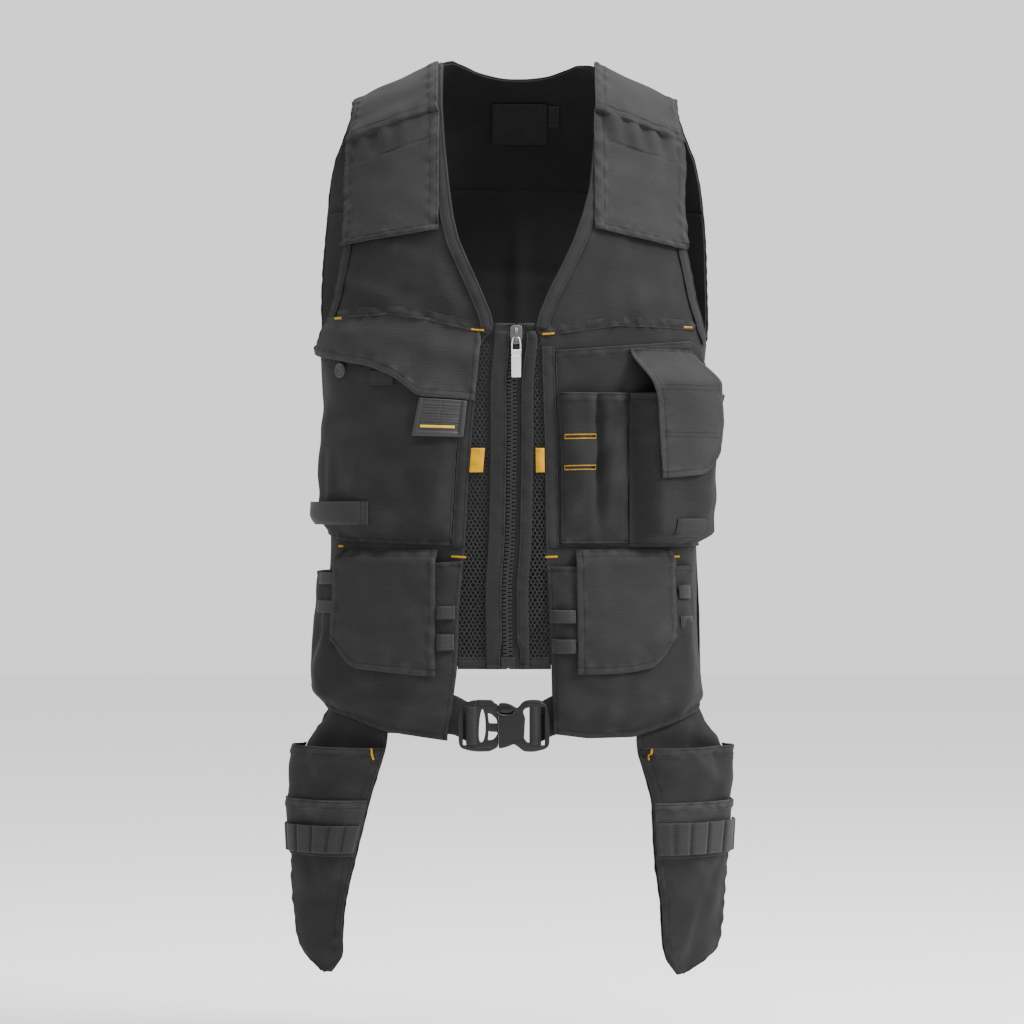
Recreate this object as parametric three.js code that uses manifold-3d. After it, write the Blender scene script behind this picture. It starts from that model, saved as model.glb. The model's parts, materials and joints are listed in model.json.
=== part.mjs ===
import * as THREE from 'three';
import { mergeVertices } from 'three/addons/utils/BufferGeometryUtils.js';
import Module from 'manifold-3d';

const wasm = await Module();
wasm.setup();

// A utility work vest in its worn form, in millimetres. The wearer faces -Y and +Z is up.
// The origin is the middle of the shoulder line. "right" and "left" are the wearer's own
// sides, so right is -X. Each cloth piece is a thin sheet laid over one torso form.

// The torso form that the vest is worn on.
const BODY_LENGTH = 620;
const HALF_BREADTH = 190;
const FRONT_DEPTH = 125;
const BACK_DEPTH = 118;
const SQUARENESS = 2.3;
const SHOULDER_ROUND = 60;
const SHOULDER_REACH = 108;
const SHOULDER_SLOPE = 0.46;
const SHOULDER_FADE = 250;
const NECK_HALF = 64;

// Walls and clearances.
const CLOTH = 1.6;
const TRIM = 1.4;
const WEBBING = 1.8;
const LAYER_GAP = 0.9;
const SEAM_GAP = 0.6;
const BINDING_WIDTH = 12.5;

// The zip, the buckle and the small hard pieces.
const TEETH_WIDTH = 10.4;
const TEETH_DEPTH = 3.2;
const TEETH_PITCH = 13;
const TAPE_WIDTH = 15.5;
const SLIDER_WIDTH = 12;
const SLIDER_LENGTH = 19;
const SLIDER_DEPTH = 8;
const BRIDGE_LENGTH = 13;
const BRIDGE_HEIGHT = 4.6;
const BRIDGE_WIDTH = 3;
const BRIDGE_BAR = 1.6;
const PULL_WIDTH = 10;
const PULL_LENGTH = 39;
const PULL_DEPTH = 1.8;
const PULL_CLEARANCE = 0.4;
const ZIP_BOX_WIDTH = 15.5;
const ZIP_BOX_LENGTH = 11;
const BELT_WIDTH = 40;
const BUCKLE_LENGTH = 91;
const BUCKLE_HEIGHT = 52;
const BUCKLE_DEPTH = 11;
const RUBBER_WIDTH = 47;
const RUBBER_HEIGHT = 36;
const RUBBER_DEPTH = 2.6;
const BUTTON_RADIUS = 8;
const BUTTON_DEPTH = 4;

const FRONT = 1;
const BACK = -1;
const LEFT = 1;
const RIGHT = -1;
const ARC_STEPS = 72;
const SETTLING_PASSES = 24;

// Places on the form, as shares of its length and of its half breadth.
const down = (share) => share * BODY_LENGTH;
const across = (share) => share * HALF_BREADTH;

/** Rows of shares under the column names given in one string. */
function table(columns, rows) {
  const names = columns.split(' ');
  return rows.map((row) => Object.fromEntries(names.map((name, i) => [name, row[i]])));
}

// The form's sections: each share is of the breadth or depth named by its column.
const SECTIONS = table('down breadth back_breadth front back', [
  [0.00, 0.95, 0.95, 0.560, 0.593],
  [0.10, 0.955, 1.035, 0.68, 0.82],
  [0.24, 0.97, 1.065, 0.86, 0.97],
  [0.32, 1.00, 1.075, 0.94, 1.00],
  [0.43, 1.045, 1.045, 0.99, 1.00],
  [0.52, 1.02, 1.02, 1.00, 0.97],
  [0.65, 0.985, 0.985, 0.98, 0.91],
  [0.80, 0.98, 0.98, 0.95, 0.88],
  [1.00, 1.00, 1.00, 0.95, 0.92],
  [1.17, 1.045, 1.045, 0.98, 0.95],
  [1.54, 1.06, 1.06, 0.92, 0.90],
]);

const mix = (a, b, share) => a + (b - a) * share;
const clamp = (value, low = 0, high = 1) => Math.min(high, Math.max(low, value));
const smooth = (low, high, value) => {
  const share = clamp((value - low) / (high - low));
  return share * share * (3 - 2 * share);
};
const bell = (value, centre, width) => Math.exp(-(((value - centre) / width) ** 2));
const signedPower = (value, power) => Math.sign(value) * Math.abs(value) ** power;

/** Straight-line reading of one column of a table at a value of another column. */
function track(rows, from, to, at) {
  let i = 0;
  while (i < rows.length - 2 && rows[i + 1][from] < at) i += 1;
  const a = rows[i];
  const b = rows[i + 1];
  return mix(a[to], b[to], clamp((at - a[from]) / (b[from] - a[from])));
}

/** Smooth reading of a column: a cubic through the rows. */
function curve(rows, from, to, at) {
  const last = rows.length - 1;
  if (at <= rows[0][from]) return rows[0][to];
  if (at >= rows[last][from]) return rows[last][to];
  let i = 0;
  while (rows[i + 1][from] < at) i += 1;
  const slope = (k) => {
    const p = rows[Math.max(0, k - 1)];
    const q = rows[Math.min(last, k + 1)];
    return (q[to] - p[to]) / (q[from] - p[from]);
  };
  const step = rows[i + 1][from] - rows[i][from];
  const f = (at - rows[i][from]) / step;
  const g = f * f;
  const h = g * f;
  return (2 * h - 3 * g + 1) * rows[i][to] + (h - 2 * g + f) * step * slope(i)
    + (3 * g - 2 * h) * rows[i + 1][to] + (h - g) * step * slope(i + 1);
}

/** Half breadth and depth of the form at a height, on its front or back half. */
function section(z, side) {
  const level = -z / BODY_LENGTH;
  const front = side === FRONT;
  return {
    breadth: HALF_BREADTH * curve(SECTIONS, 'down', front ? 'breadth' : 'back_breadth', level),
    depth: front
      ? FRONT_DEPTH * curve(SECTIONS, 'down', 'front', level)
      : BACK_DEPTH * curve(SECTIONS, 'down', 'back', level),
  };
}

const onSection = (angle, { breadth, depth }) => [
  breadth * signedPower(Math.sin(angle), 2 / SQUARENESS),
  depth * signedPower(Math.cos(angle), 2 / SQUARENESS),
];

/** The angle round a section at a cloth length from its middle. */
function angleAt(length, sizes) {
  let walked = 0;
  let last = onSection(0, sizes);
  for (let k = 1; k <= 2 * ARC_STEPS; k += 1) {
    const next = onSection((Math.PI / 2) * (k / ARC_STEPS), sizes);
    const step = Math.hypot(next[0] - last[0], next[1] - last[1]);
    if (walked + step >= length) {
      return (Math.PI / 2) * ((k - 1 + (length - walked) / step) / ARC_STEPS);
    }
    walked += step;
    last = next;
  }
  return Math.PI;
}

/** Cloth length from the middle of a section to the side seam. */
function sideLength(z, side) {
  const sizes = section(z, side);
  let walked = 0;
  let last = onSection(0, sizes);
  for (let k = 1; k <= ARC_STEPS; k += 1) {
    const next = onSection((Math.PI / 2) * (k / ARC_STEPS), sizes);
    walked += Math.hypot(next[0] - last[0], next[1] - last[1]);
    last = next;
  }
  return walked;
}

const ridge = (x) => -SHOULDER_SLOPE * Math.max(0, Math.abs(x) - NECK_HALF);
const ridgeShare = (drop) => clamp(1 - drop / SHOULDER_FADE);

/** A point of the form, its outward direction, and where it is: s across, drop down. */
function body(s, drop, side = FRONT) {
  let x = s;
  let y = 0;
  let z = 0;
  let sizes = null;
  for (let pass = 0; pass < 3; pass += 1) {
    z = -drop + ridge(x) * ridgeShare(drop);
    sizes = section(z, side);
    const [across, deep] = onSection(angleAt(Math.abs(s), sizes), sizes);
    x = (s < 0 ? -1 : 1) * across;
    y = deep;
  }
  const below = Math.max(0, ridge(x) - z);
  const round = below < SHOULDER_ROUND ? 1 - below / SHOULDER_ROUND : 0;
  const arch = Math.sqrt(1 - round * round);
  const tilt = Math.abs(x) > NECK_HALF ? Math.sign(x) * SHOULDER_SLOPE * round : 0;
  const n = new THREE.Vector3(
    signedPower(x / sizes.breadth, SQUARENESS - 1) / sizes.breadth + tilt / SHOULDER_ROUND,
    (-side * signedPower(y / sizes.depth, SQUARENESS - 1) * arch) / sizes.depth,
    round / SHOULDER_ROUND,
  ).normalize();
  return { p: new THREE.Vector3(x, -side * y * arch, z), n, s, drop };
}

/** The drop below the ridge at a cloth length t from it. */
function dropAt(t) {
  const length = Math.abs(t);
  if (length > SHOULDER_REACH) return SHOULDER_ROUND + length - SHOULDER_REACH;
  return SHOULDER_ROUND * (1 - Math.cos((Math.PI / 2) * (length / SHOULDER_REACH)));
}

/** Over the shoulder: t is the cloth length from the ridge, positive to the front. */
function shoulder(s, t) {
  return { ...body(s, dropAt(t), t >= 0 ? FRONT : BACK), drop: t };
}

/** A pocket's swelling: none where it is sewn, most at full(u, v). */
const swell = (sharpness, u) => 1 - Math.abs(2 * clamp(u) - 1) ** sharpness;

const shares = (count) => Array.from({ length: count + 1 }, (_, i) => i / count);
const breaks = (value) => (Array.isArray(value) ? value : shares(value));

const group = new THREE.Group();

/** One closed solid from corner points and its faces. */
function solid(name, material, points, faces) {
  const positions = [];
  const corners = [];
  const edgeA = new THREE.Vector3();
  const edgeB = new THREE.Vector3();
  let volume = 0;
  for (const [a, b, c] of faces) {
    volume += points[a].dot(edgeA.copy(points[b]).cross(edgeB.copy(points[c])));
  }
  for (const point of points) positions.push(point.x, point.y, point.z);
  for (const [a, b, c] of faces) corners.push(...(volume > 0 ? [a, b, c] : [a, c, b]));
  const geometry = new THREE.BufferGeometry();
  geometry.setAttribute('position', new THREE.Float32BufferAttribute(positions, 3));
  geometry.setIndex(corners);
  geometry.computeVertexNormals();
  const mesh = new THREE.Mesh(geometry, material);
  mesh.name = name;
  group.add(mesh);
  return mesh;
}

/** A sheet of cloth over a ground: at(u, v) gives a point and a direction, lift moves it out. */
function sheet(name, material, { at, columns, rows, lift = () => 0, wall = TRIM }) {
  const us = breaks(columns);
  const vs = breaks(rows);
  const wide = us.length;
  const middle = vs.map((v) => us.map((u) => {
    const spot = at(u, v);
    const height = lift(spot.u ?? u, spot.v ?? v, spot.s, spot.drop);
    return { p: spot.p.clone().addScaledVector(spot.n, height), n: spot.n };
  }));
  const points = [];
  for (const face of [1, -1]) {
    middle.forEach((row, j) => row.forEach((spot, i) => {
      const before = middle[Math.max(0, j - 1)][i].p;
      const after = middle[Math.min(vs.length - 1, j + 1)][i].p;
      const near = row[Math.max(0, i - 1)].p;
      const far = row[Math.min(wide - 1, i + 1)].p;
      const n = after.clone().sub(before).cross(far.clone().sub(near)).normalize();
      if (n.dot(spot.n) < 0) n.negate();
      const half = (typeof wall === 'function' ? wall(us[i], vs[j]) : wall) / 2;
      points.push(spot.p.clone().addScaledVector(n, face * half));
    }));
  }
  const layer = wide * vs.length;
  const faces = [];
  const quad = (a, b, c, d) => faces.push([a, b, c], [a, c, d]);
  const last = vs.length - 1;
  for (let j = 0; j < last; j += 1) {
    for (let i = 0; i < wide - 1; i += 1) {
      const k = j * wide + i;
      quad(k, k + 1, k + wide + 1, k + wide);
      quad(layer + k, layer + k + wide, layer + k + wide + 1, layer + k + 1);
    }
    const left = j * wide;
    const right = left + wide - 1;
    quad(left, left + wide, layer + left + wide, layer + left);
    quad(right, layer + right, layer + right + wide, right + wide);
  }
  for (let i = 0; i < wide - 1; i += 1) {
    const low = last * wide + i;
    quad(i, layer + i, layer + i + 1, i + 1);
    quad(low, low + 1, layer + low + 1, layer + low);
  }
  return solid(name, material, points, faces);
}

/** A cloth area between four edges: out is a share of the breadth, down of the length. */
function area({ inner, outer, top, bottom, hand, ground = body, side = FRONT }) {
  const outAt = (edge, drop) => (typeof edge === 'function'
    ? edge(drop)
    : across(track(edge, 'down', 'out', drop / BODY_LENGTH)));
  const dropOf = (edge, s) => (typeof edge === 'function'
    ? edge(s)
    : down(track(edge, 'out', 'down', s / HALF_BREADTH)));
  const at = (u, v) => {
    let s = mix(outAt(inner, dropOf(top, 0)), outAt(outer, dropOf(top, 0)), u);
    let drop = 0;
    for (let pass = 0; pass < SETTLING_PASSES; pass += 1) {
      drop = mix(dropOf(top, s), dropOf(bottom, s), v);
      s = mix(outAt(inner, drop), outAt(outer, drop), u);
    }
    return { ...ground(hand * s, drop, side), u, v };
  };
  const share = (s, drop) => {
    const out = hand * s;
    const from = dropOf(top, out);
    return {
      u: (out - outAt(inner, drop)) / (outAt(outer, drop) - outAt(inner, drop)),
      v: (drop - from) / (dropOf(bottom, out) - from),
    };
  };
  return { at, share };
}

/** Height of the middle of a sewn-on layer over the front panel: 1 is the lowest. */
const layer = (count) => CLOTH / 2 + LAYER_GAP + TRIM / 2 + (count - 1) * (TRIM + LAYER_GAP);

const paint = (name, color, roughness, metalness = 0) => {
  const material = new THREE.MeshStandardMaterial({ color, roughness, metalness });
  material.name = name;
  return material;
};
const canvas = paint('canvas', 0x2c2c2e, 0.9);
const reinforced = paint('reinforced_cloth', 0x38383b, 0.85);
const lining = paint('inner_cloth', 0x1d1d1f, 0.92);
const net = paint('mesh_cloth', 0x2a2a2c, 0.95);
const binding = paint('binding', 0x303033, 0.88);
const webbing = paint('webbing', 0x28282a, 0.85);
const yellow = paint('yellow_tape', 0xf0a81c, 0.8);
const plastic = paint('black_plastic', 0x161617, 0.45);
const rubber = paint('grey_rubber', 0x4a4a4c, 0.6);
const metal = paint('grey_metal', 0x9a9a9c, 0.35, 0.9);

// The zip's middle line, and how far down the zip and the seams run.
const ZIP_LINE = table('down out', [
  [0.44, 0.008],
  [0.48, 0.003],
  [0.54, -0.016],
  [0.62, -0.016],
  [0.80, -0.027],
  [0.87, -0.042],
  [1.00, -0.036],
]);
const ZIP_TOP = down(0.4452);
const SLIDER_TOP = down(0.4484);
const NET_TOP = down(0.4774);
const CHEST_POCKET_END = down(0.8048);
const zipLine = (drop) => HALF_BREADTH * curve(ZIP_LINE, 'down', 'out', drop / BODY_LENGTH);

// Neck and front edges of each front panel, from the shoulder to the lower pocket's corner.
const RIGHT_FRONT_EDGE = table('down out', [
  [0.00, 0.385],
  [0.08, 0.385],
  [0.15, 0.370],
  [0.22, 0.347],
  [0.27, 0.325],
  [0.31, 0.293],
  [0.35, 0.236],
  [0.39, 0.178],
  [0.43, 0.124],
  [0.455, 0.110],
  [0.475, 0.178],
  [0.60, 0.219],
  [0.68, 0.240],
  [0.80, 0.262],
  [0.90, 0.292],
  [1.00, 0.303],
  [1.11, 0.352],
]);
const LEFT_FRONT_EDGE = table('down out', [
  [0.00, 0.435],
  [0.08, 0.430],
  [0.15, 0.415],
  [0.22, 0.392],
  [0.27, 0.352],
  [0.31, 0.306],
  [0.35, 0.246],
  [0.39, 0.178],
  [0.43, 0.124],
  [0.455, 0.105],
  [0.475, 0.137],
  [0.57, 0.146],
  [0.65, 0.156],
  [0.80, 0.161],
  [0.89, 0.173],
  [0.97, 0.188],
  [1.11, 0.199],
]);
// The armhole and the side: where the front panel and the back end.
const ARMHOLE_FRONT = table('down out', [
  [0.00, 0.900],
  [0.07, 0.925],
  [0.14, 0.970],
  [0.30, 0.985],
  [0.40, 1.050],
  [0.44, 1.120],
  [0.47, 1.230],
]);
const ARMHOLE_BACK = table('down out', [
  [0.00, 0.900],
  [0.05, 0.985],
  [0.09, 1.060],
  [0.14, 1.110],
  [0.30, 1.180],
  [0.40, 1.220],
  [0.44, 1.250],
  [0.47, 1.290],
]);
const UNDERARM = down(0.47);
const SIDE_GAP = SEAM_GAP / 2;

const frontEdge = (hand) => (drop) => {
  const rows = hand === RIGHT ? RIGHT_FRONT_EDGE : LEFT_FRONT_EDGE;
  return HALF_BREADTH * track(rows, 'down', 'out', drop / BODY_LENGTH);
};
const outerEdge = (side) => (drop) => {
  if (drop >= UNDERARM) return sideLength(-drop, side) - SIDE_GAP;
  const rows = side === FRONT ? ARMHOLE_FRONT : ARMHOLE_BACK;
  const most = sideLength(-drop, side) - SIDE_GAP;
  return Math.min(most, HALF_BREADTH * track(rows, 'down', 'out', drop / BODY_LENGTH));
};

// Lower ends of the front panels.
const RIGHT_PANEL_END = table('out down', [
  [0.30, 1.098],
  [0.60, 1.084],
  [0.92, 1.072],
  [1.15, 1.062],
  [1.34, 1.045],
]);
const LEFT_PANEL_END = table('out down', [
  [0.18, 1.097],
  [0.60, 1.093],
  [0.92, 1.078],
  [1.15, 1.060],
  [1.34, 1.045],
]);
const panelEnd = (hand) => (hand === RIGHT ? RIGHT_PANEL_END : LEFT_PANEL_END);
const PANEL_DROPS = [0, 0.006, 0.024, 0.053, 0.095, 0.16, 0.24, 0.31, 0.36, 0.405, 0.434, 0.47,
  0.56, 0.68, 0.80, 0.90, 1.00];
const PANEL_COLUMNS = [0, 0.12, 0.24, 0.36, 0.48, 0.58, 0.67, 0.75, 0.83, 0.915, 1];
const RIDGE_GAP = 0.7;
const RIDGE_START = dropAt(RIDGE_GAP);

function frontPanel(name, hand) {
  const place = area({
    hand,
    inner: frontEdge(hand),
    outer: outerEdge(FRONT),
    top: () => RIDGE_START,
    bottom: panelEnd(hand),
  });
  const rows = PANEL_DROPS.map((share) => clamp(share));
  sheet(name, canvas, { at: place.at, columns: PANEL_COLUMNS, rows, wall: CLOTH });
}

frontPanel('right_front_panel', RIGHT);
frontPanel('left_front_panel', LEFT);


// The back: a yoke over the shoulders, and a panel with a pleat below it.
const BACK_NECK_DEPTH = 49;
const BACK_NECK_CENTRE = 5;
const YOKE_END = down(0.2);
const PLEAT_WIDTH = 9;
const PLEAT_DEPTH = 4;
const BACK_HEM = table('out down', [
  [0.00, 1.005],
  [0.60, 1.015],
  [1.00, 1.035],
  [1.34, 1.045],
]);

/** Cloth length from the ridge for a drop below it. */
function reachAt(drop) {
  if (drop > SHOULDER_ROUND) return SHOULDER_REACH + drop - SHOULDER_ROUND;
  return SHOULDER_REACH * (Math.acos(1 - drop / SHOULDER_ROUND) / (Math.PI / 2));
}

/** Cloth length down the back from the ridge to the neck's edge. */
function backNeck(s) {
  const half = (frontEdge(LEFT)(0) + frontEdge(RIGHT)(0)) / 2;
  const share = clamp(Math.abs(s - BACK_NECK_CENTRE) / half);
  return BACK_NECK_DEPTH * (1 - share ** 2.5);
}

const backOuter = outerEdge(BACK);
const backYoke = area({
  hand: 1,
  side: BACK,
  inner: (drop) => -backOuter(drop),
  outer: backOuter,
  top: (s) => dropAt(Math.max(RIDGE_GAP, backNeck(s))),
  bottom: () => YOKE_END - SIDE_GAP,
});
const backPanel = area({
  hand: 1,
  side: BACK,
  inner: (drop) => -backOuter(drop),
  outer: backOuter,
  top: () => YOKE_END + SIDE_GAP,
  bottom: (s) => BODY_LENGTH * track(BACK_HEM, 'out', 'down', Math.abs(s) / HALF_BREADTH),
});
const BACK_SHARES = [0, 0.05, 0.11, 0.18, 0.26, 0.33, 0.40, 0.46, 0.485];
const backColumns = [...BACK_SHARES, 0.5, ...BACK_SHARES.map((share) => 1 - share).reverse()];
const YOKE_ROWS = [0, 0.06, 0.20, 0.38, 0.58, 0.80, 1];
const pleat = (s, drop) => -PLEAT_DEPTH * bell(s - 2 * BACK_NECK_CENTRE / 3, 0, PLEAT_WIDTH)
  * smooth(YOKE_END, YOKE_END + 60, drop);

sheet('back_yoke', reinforced, { at: backYoke.at, columns: backColumns, rows: YOKE_ROWS, wall: CLOTH });
sheet('back_panel', canvas, {
  at: backPanel.at,
  columns: backColumns,
  rows: 11,
  lift: (u, v, s, drop) => pleat(s, drop),
  wall: CLOTH,
});

/** A strip of even width beside a path of [s, t] points over the shoulders. */
function edging(name, material, { path, away, width, lift, inset = 0.3 }) {
  const last = path.length - 1;
  const at = (u, v) => {
    const k = Math.round(v * last);
    const [beforeS, beforeT] = path[Math.max(0, k - 1)];
    const [afterS, afterT] = path[Math.min(last, k + 1)];
    const length = Math.hypot(afterS - beforeS, afterT - beforeT);
    const sideways = (away * (afterT - beforeT)) / length;
    const along = (-away * (afterS - beforeS)) / length;
    const offset = inset + u * width;
    return shoulder(path[k][0] + sideways * offset, path[k][1] + along * offset);
  };
  sheet(name, material, { at, columns: 1, rows: last, lift: () => lift });
}

const EDGE_DROPS = [0.4516, 0.4226, 0.3887, 0.3548, 0.3161, 0.2742, 0.2258, 0.1774, 0.1355, 0.0968,
  0.0677, 0.0435, 0.0242, 0.0113, 0.0032].map(down);
const BACK_NECK_SHARES = [1, 0.96, 0.88, 0.76, 0.6, 0.4, 0.2, 0];
const neckSide = (hand) => EDGE_DROPS.map((drop) => [hand * frontEdge(hand)(drop), reachAt(drop)]);
const backHalf = (hand) => BACK_NECK_SHARES.map((share) => {
  const s = mix(BACK_NECK_CENTRE, hand * frontEdge(hand)(0), share);
  return [s, -backNeck(s)];
});
edging('neck_binding', binding, {
  path: [...neckSide(RIGHT), ...backHalf(RIGHT), ...backHalf(LEFT).slice(0, -1).reverse(),
    ...neckSide(LEFT).reverse()],
  away: 1,
  width: BINDING_WIDTH,
  lift: layer(1) + 0.3,
});

const ARM_DROPS = [0.4597, 0.4323, 0.4000, 0.3629, 0.3145, 0.2581, 0.2016, 0.1532, 0.1097, 0.0742,
  0.0452, 0.0242, 0.0113, 0.0032].map(down);
for (const hand of [RIGHT, LEFT]) {
  const front = ARM_DROPS.map((drop) => [hand * outerEdge(FRONT)(drop), reachAt(drop)]);
  const back = ARM_DROPS.map((drop) => [hand * outerEdge(BACK)(drop), -reachAt(drop)]);
  edging(hand === RIGHT ? 'right_armhole_binding' : 'left_armhole_binding', binding, {
    path: [...front, [hand * outerEdge(FRONT)(0), 0], ...back.reverse()],
    away: hand,
    width: BINDING_WIDTH,
    lift: layer(1),
  });
}

// Shoulder flaps: they lie over both bindings, with a gathered ridge near the top.
const FLAP_BEHIND = -28;
const GATHER_AT = 102;
const GATHER_HEIGHT = 3;
const GATHER_WIDTH = 9;
const SHOULDER_FLAPS = {
  right_shoulder_flap: {
    hand: RIGHT, inner: across(0.4), innerEnd: down(0.3677), outerEnd: down(0.3694),
  },
  left_shoulder_flap: {
    hand: LEFT, inner: across(0.4158), innerEnd: down(0.3645), outerEnd: down(0.3774),
  },
};
const FLAP_ROWS = [0, 0.06, 0.13, 0.21, 0.30, 0.40, 0.47, 0.515, 0.56, 0.70, 0.85, 1];
for (const [name, { hand, inner, innerEnd, outerEnd }] of Object.entries(SHOULDER_FLAPS)) {
  const outer = outerEdge(FRONT);
  const place = area({
    hand,
    ground: shoulder,
    inner: () => inner,
    outer: (t) => outer(dropAt(t)) - 0.5,
    top: () => FLAP_BEHIND,
    bottom: (s) => mix(innerEnd, outerEnd, clamp((s - inner) / (outer(0) - inner))),
  });
  sheet(name, reinforced, {
    at: place.at,
    columns: [0, 0.16, 0.36, 0.56, 0.76, 0.9, 1],
    rows: FLAP_ROWS,
    lift: (u, v, s, t) => layer(2) + 0.5 + GATHER_HEIGHT * bell(t, GATHER_AT, GATHER_WIDTH),
  });
}

// The zip: toothed chain, tapes, plackets, slider, pull and bottom box.
const ZIP_END = BODY_LENGTH;
const SLIDER_END = SLIDER_TOP + SLIDER_LENGTH;
const BOX_TOP = ZIP_END - 14;
const CHAIN_TOP = SLIDER_END + SEAM_GAP;
const CHAIN_END = BOX_TOP - SEAM_GAP;
const RIGHT_PLACKET_OFFSET = 0.8;
const LEFT_PLACKET_OFFSET = 5;
const chainTeeth = Math.round((CHAIN_END - CHAIN_TOP) / TEETH_PITCH);
const onZip = (width, top, bottom) => (u, v) => {
  const drop = mix(top, bottom, v);
  return body(zipLine(drop) + (u - 0.5) * (typeof width === 'function' ? width(v) : width), drop);
};
sheet('zip_chain', plastic, {
  at: onZip((v) => TEETH_WIDTH - (Math.round(v * 2 * chainTeeth) % 2), CHAIN_TOP, CHAIN_END),
  columns: 1,
  rows: 2 * chainTeeth,
  wall: TEETH_DEPTH,
});

/** Half the room that the chain, slider or box takes at a drop. */
function zipCore(drop) {
  const slider = (SLIDER_WIDTH - TEETH_WIDTH) / 2 * (1 - smooth(SLIDER_END + 2, SLIDER_END + 20, drop));
  const box = (ZIP_BOX_WIDTH - TEETH_WIDTH) / 2 * smooth(BOX_TOP - 14, BOX_TOP - 4, drop);
  return TEETH_WIDTH / 2 + SEAM_GAP + 0.3 + slider + box;
}
const tapeOuter = (hand) => (drop) => {
  const full = hand * zipLine(drop) + TEETH_WIDTH / 2 + SEAM_GAP + TAPE_WIDTH;
  return Math.min(full, frontEdge(hand)(drop) - 2 * SEAM_GAP);
};
const ZIP_ROWS = [0, 0.06, 0.12, 0.22, 0.36, 0.5, 0.64, 0.78, 0.88, 0.93, 0.965, 1];
for (const hand of [RIGHT, LEFT]) {
  const name = hand === RIGHT ? 'right' : 'left';
  const offset = hand === RIGHT ? RIGHT_PLACKET_OFFSET : LEFT_PLACKET_OFFSET;
  const core = (drop) => hand * zipLine(drop) + zipCore(drop);
  const tape = area({
    hand, inner: core, outer: tapeOuter(hand), top: () => ZIP_TOP, bottom: () => ZIP_END,
  });
  const placket = area({
    hand,
    inner: (drop) => core(drop) + offset,
    outer: tapeOuter(hand),
    top: () => ZIP_TOP + 8,
    bottom: () => ZIP_END,
  });
  const meshArea = area({
    hand,
    inner: (drop) => tapeOuter(hand)(drop) + SEAM_GAP,
    outer: (drop) => frontEdge(hand)(drop) - 2 * SEAM_GAP,
    top: () => NET_TOP,
    bottom: () => ZIP_END,
  });
  sheet(`${name}_zip_tape`, webbing, { at: tape.at, columns: 1, rows: ZIP_ROWS });
  sheet(`${name}_zip_placket`, canvas, {
    at: placket.at, columns: 1, rows: ZIP_ROWS, lift: () => layer(1),
  });
  sheet(`${name}_mesh_panel`, net, { at: meshArea.at, columns: 1, rows: 12 });
}

/** A box, or any other geometry, set on the form at s and drop with its depth outward. */
function hard(name, material, geometry, { s, drop, out = 0, turn = 0 }) {
  const spot = body(s, drop);
  const mesh = new THREE.Mesh(geometry, material);
  mesh.name = name;
  mesh.position.copy(spot.p).addScaledVector(spot.n, out);
  mesh.rotation.order = 'ZXY';
  mesh.rotation.z = Math.atan2(spot.n.x, -spot.n.y);
  mesh.rotation.y = turn;
  group.add(mesh);
  return mesh;
}

/** An outline in X and Z pushed through a depth, centred on its own plane. */
function plate(outline, depth, holes = [], bevel = 0) {
  const shape = new THREE.Shape(outline.map(([x, z]) => new THREE.Vector2(x, z)));
  for (const hole of holes) {
    shape.holes.push(new THREE.Path(hole.map(([x, z]) => new THREE.Vector2(x, z))));
  }
  const geometry = new THREE.ExtrudeGeometry(shape, {
    depth: depth - 2 * bevel,
    bevelEnabled: bevel > 0,
    bevelThickness: bevel,
    bevelSize: bevel,
    bevelOffset: -bevel,
    bevelSegments: 1,
  });
  geometry.translate(0, 0, -(depth - 2 * bevel) / 2);
  geometry.rotateX(Math.PI / 2);
  return geometry;
}

/** Several geometries joined into one closed solid. */
function join(...geometries) {
  const solids = geometries.map((geometry) => {
    const bare = geometry.clone();
    bare.deleteAttribute('normal');
    bare.deleteAttribute('uv');
    const merged = mergeVertices(bare, 1e-4);
    return new wasm.Manifold(new wasm.Mesh({
      numProp: 3,
      vertProperties: merged.getAttribute('position').array,
      triVerts: new Uint32Array(merged.index.array),
    }));
  });
  const mesh = wasm.Manifold.union(solids).getMesh();
  const geometry = new THREE.BufferGeometry();
  geometry.setAttribute('position', new THREE.Float32BufferAttribute(mesh.vertProperties, 3));
  geometry.setIndex([...mesh.triVerts]);
  geometry.computeVertexNormals();
  return geometry;
}

const sliderAt = SLIDER_TOP + SLIDER_LENGTH / 2;
const SLIDER_HALF = SLIDER_WIDTH / 2;
const SLIDER_OUTLINE = [
  [-SLIDER_HALF, SLIDER_LENGTH * 0.5], [-SLIDER_HALF, -SLIDER_LENGTH * 0.1],
  [-SLIDER_HALF * 0.8, -SLIDER_LENGTH * 0.5], [SLIDER_HALF * 0.8, -SLIDER_LENGTH * 0.5],
  [SLIDER_HALF, -SLIDER_LENGTH * 0.1], [SLIDER_HALF, SLIDER_LENGTH * 0.5],
];
const bridgeFoot = SLIDER_DEPTH / 2 - 0.3;
const bridgeTop = SLIDER_DEPTH / 2 + BRIDGE_HEIGHT;
const bridgeEnd = BRIDGE_LENGTH / 2;
const BRIDGE_OUTLINE = [
  [bridgeFoot, -bridgeEnd], [bridgeTop - BRIDGE_BAR, -bridgeEnd], [bridgeTop, -bridgeEnd + BRIDGE_BAR],
  [bridgeTop, bridgeEnd - BRIDGE_BAR], [bridgeTop - BRIDGE_BAR, bridgeEnd], [bridgeFoot, bridgeEnd],
  [bridgeFoot, bridgeEnd - BRIDGE_BAR], [bridgeTop - BRIDGE_BAR, bridgeEnd - BRIDGE_BAR],
  [bridgeTop - BRIDGE_BAR, -bridgeEnd + BRIDGE_BAR], [bridgeFoot, -bridgeEnd + BRIDGE_BAR],
];
const bridge = plate(BRIDGE_OUTLINE, BRIDGE_WIDTH);
bridge.rotateZ(-Math.PI / 2);
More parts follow.
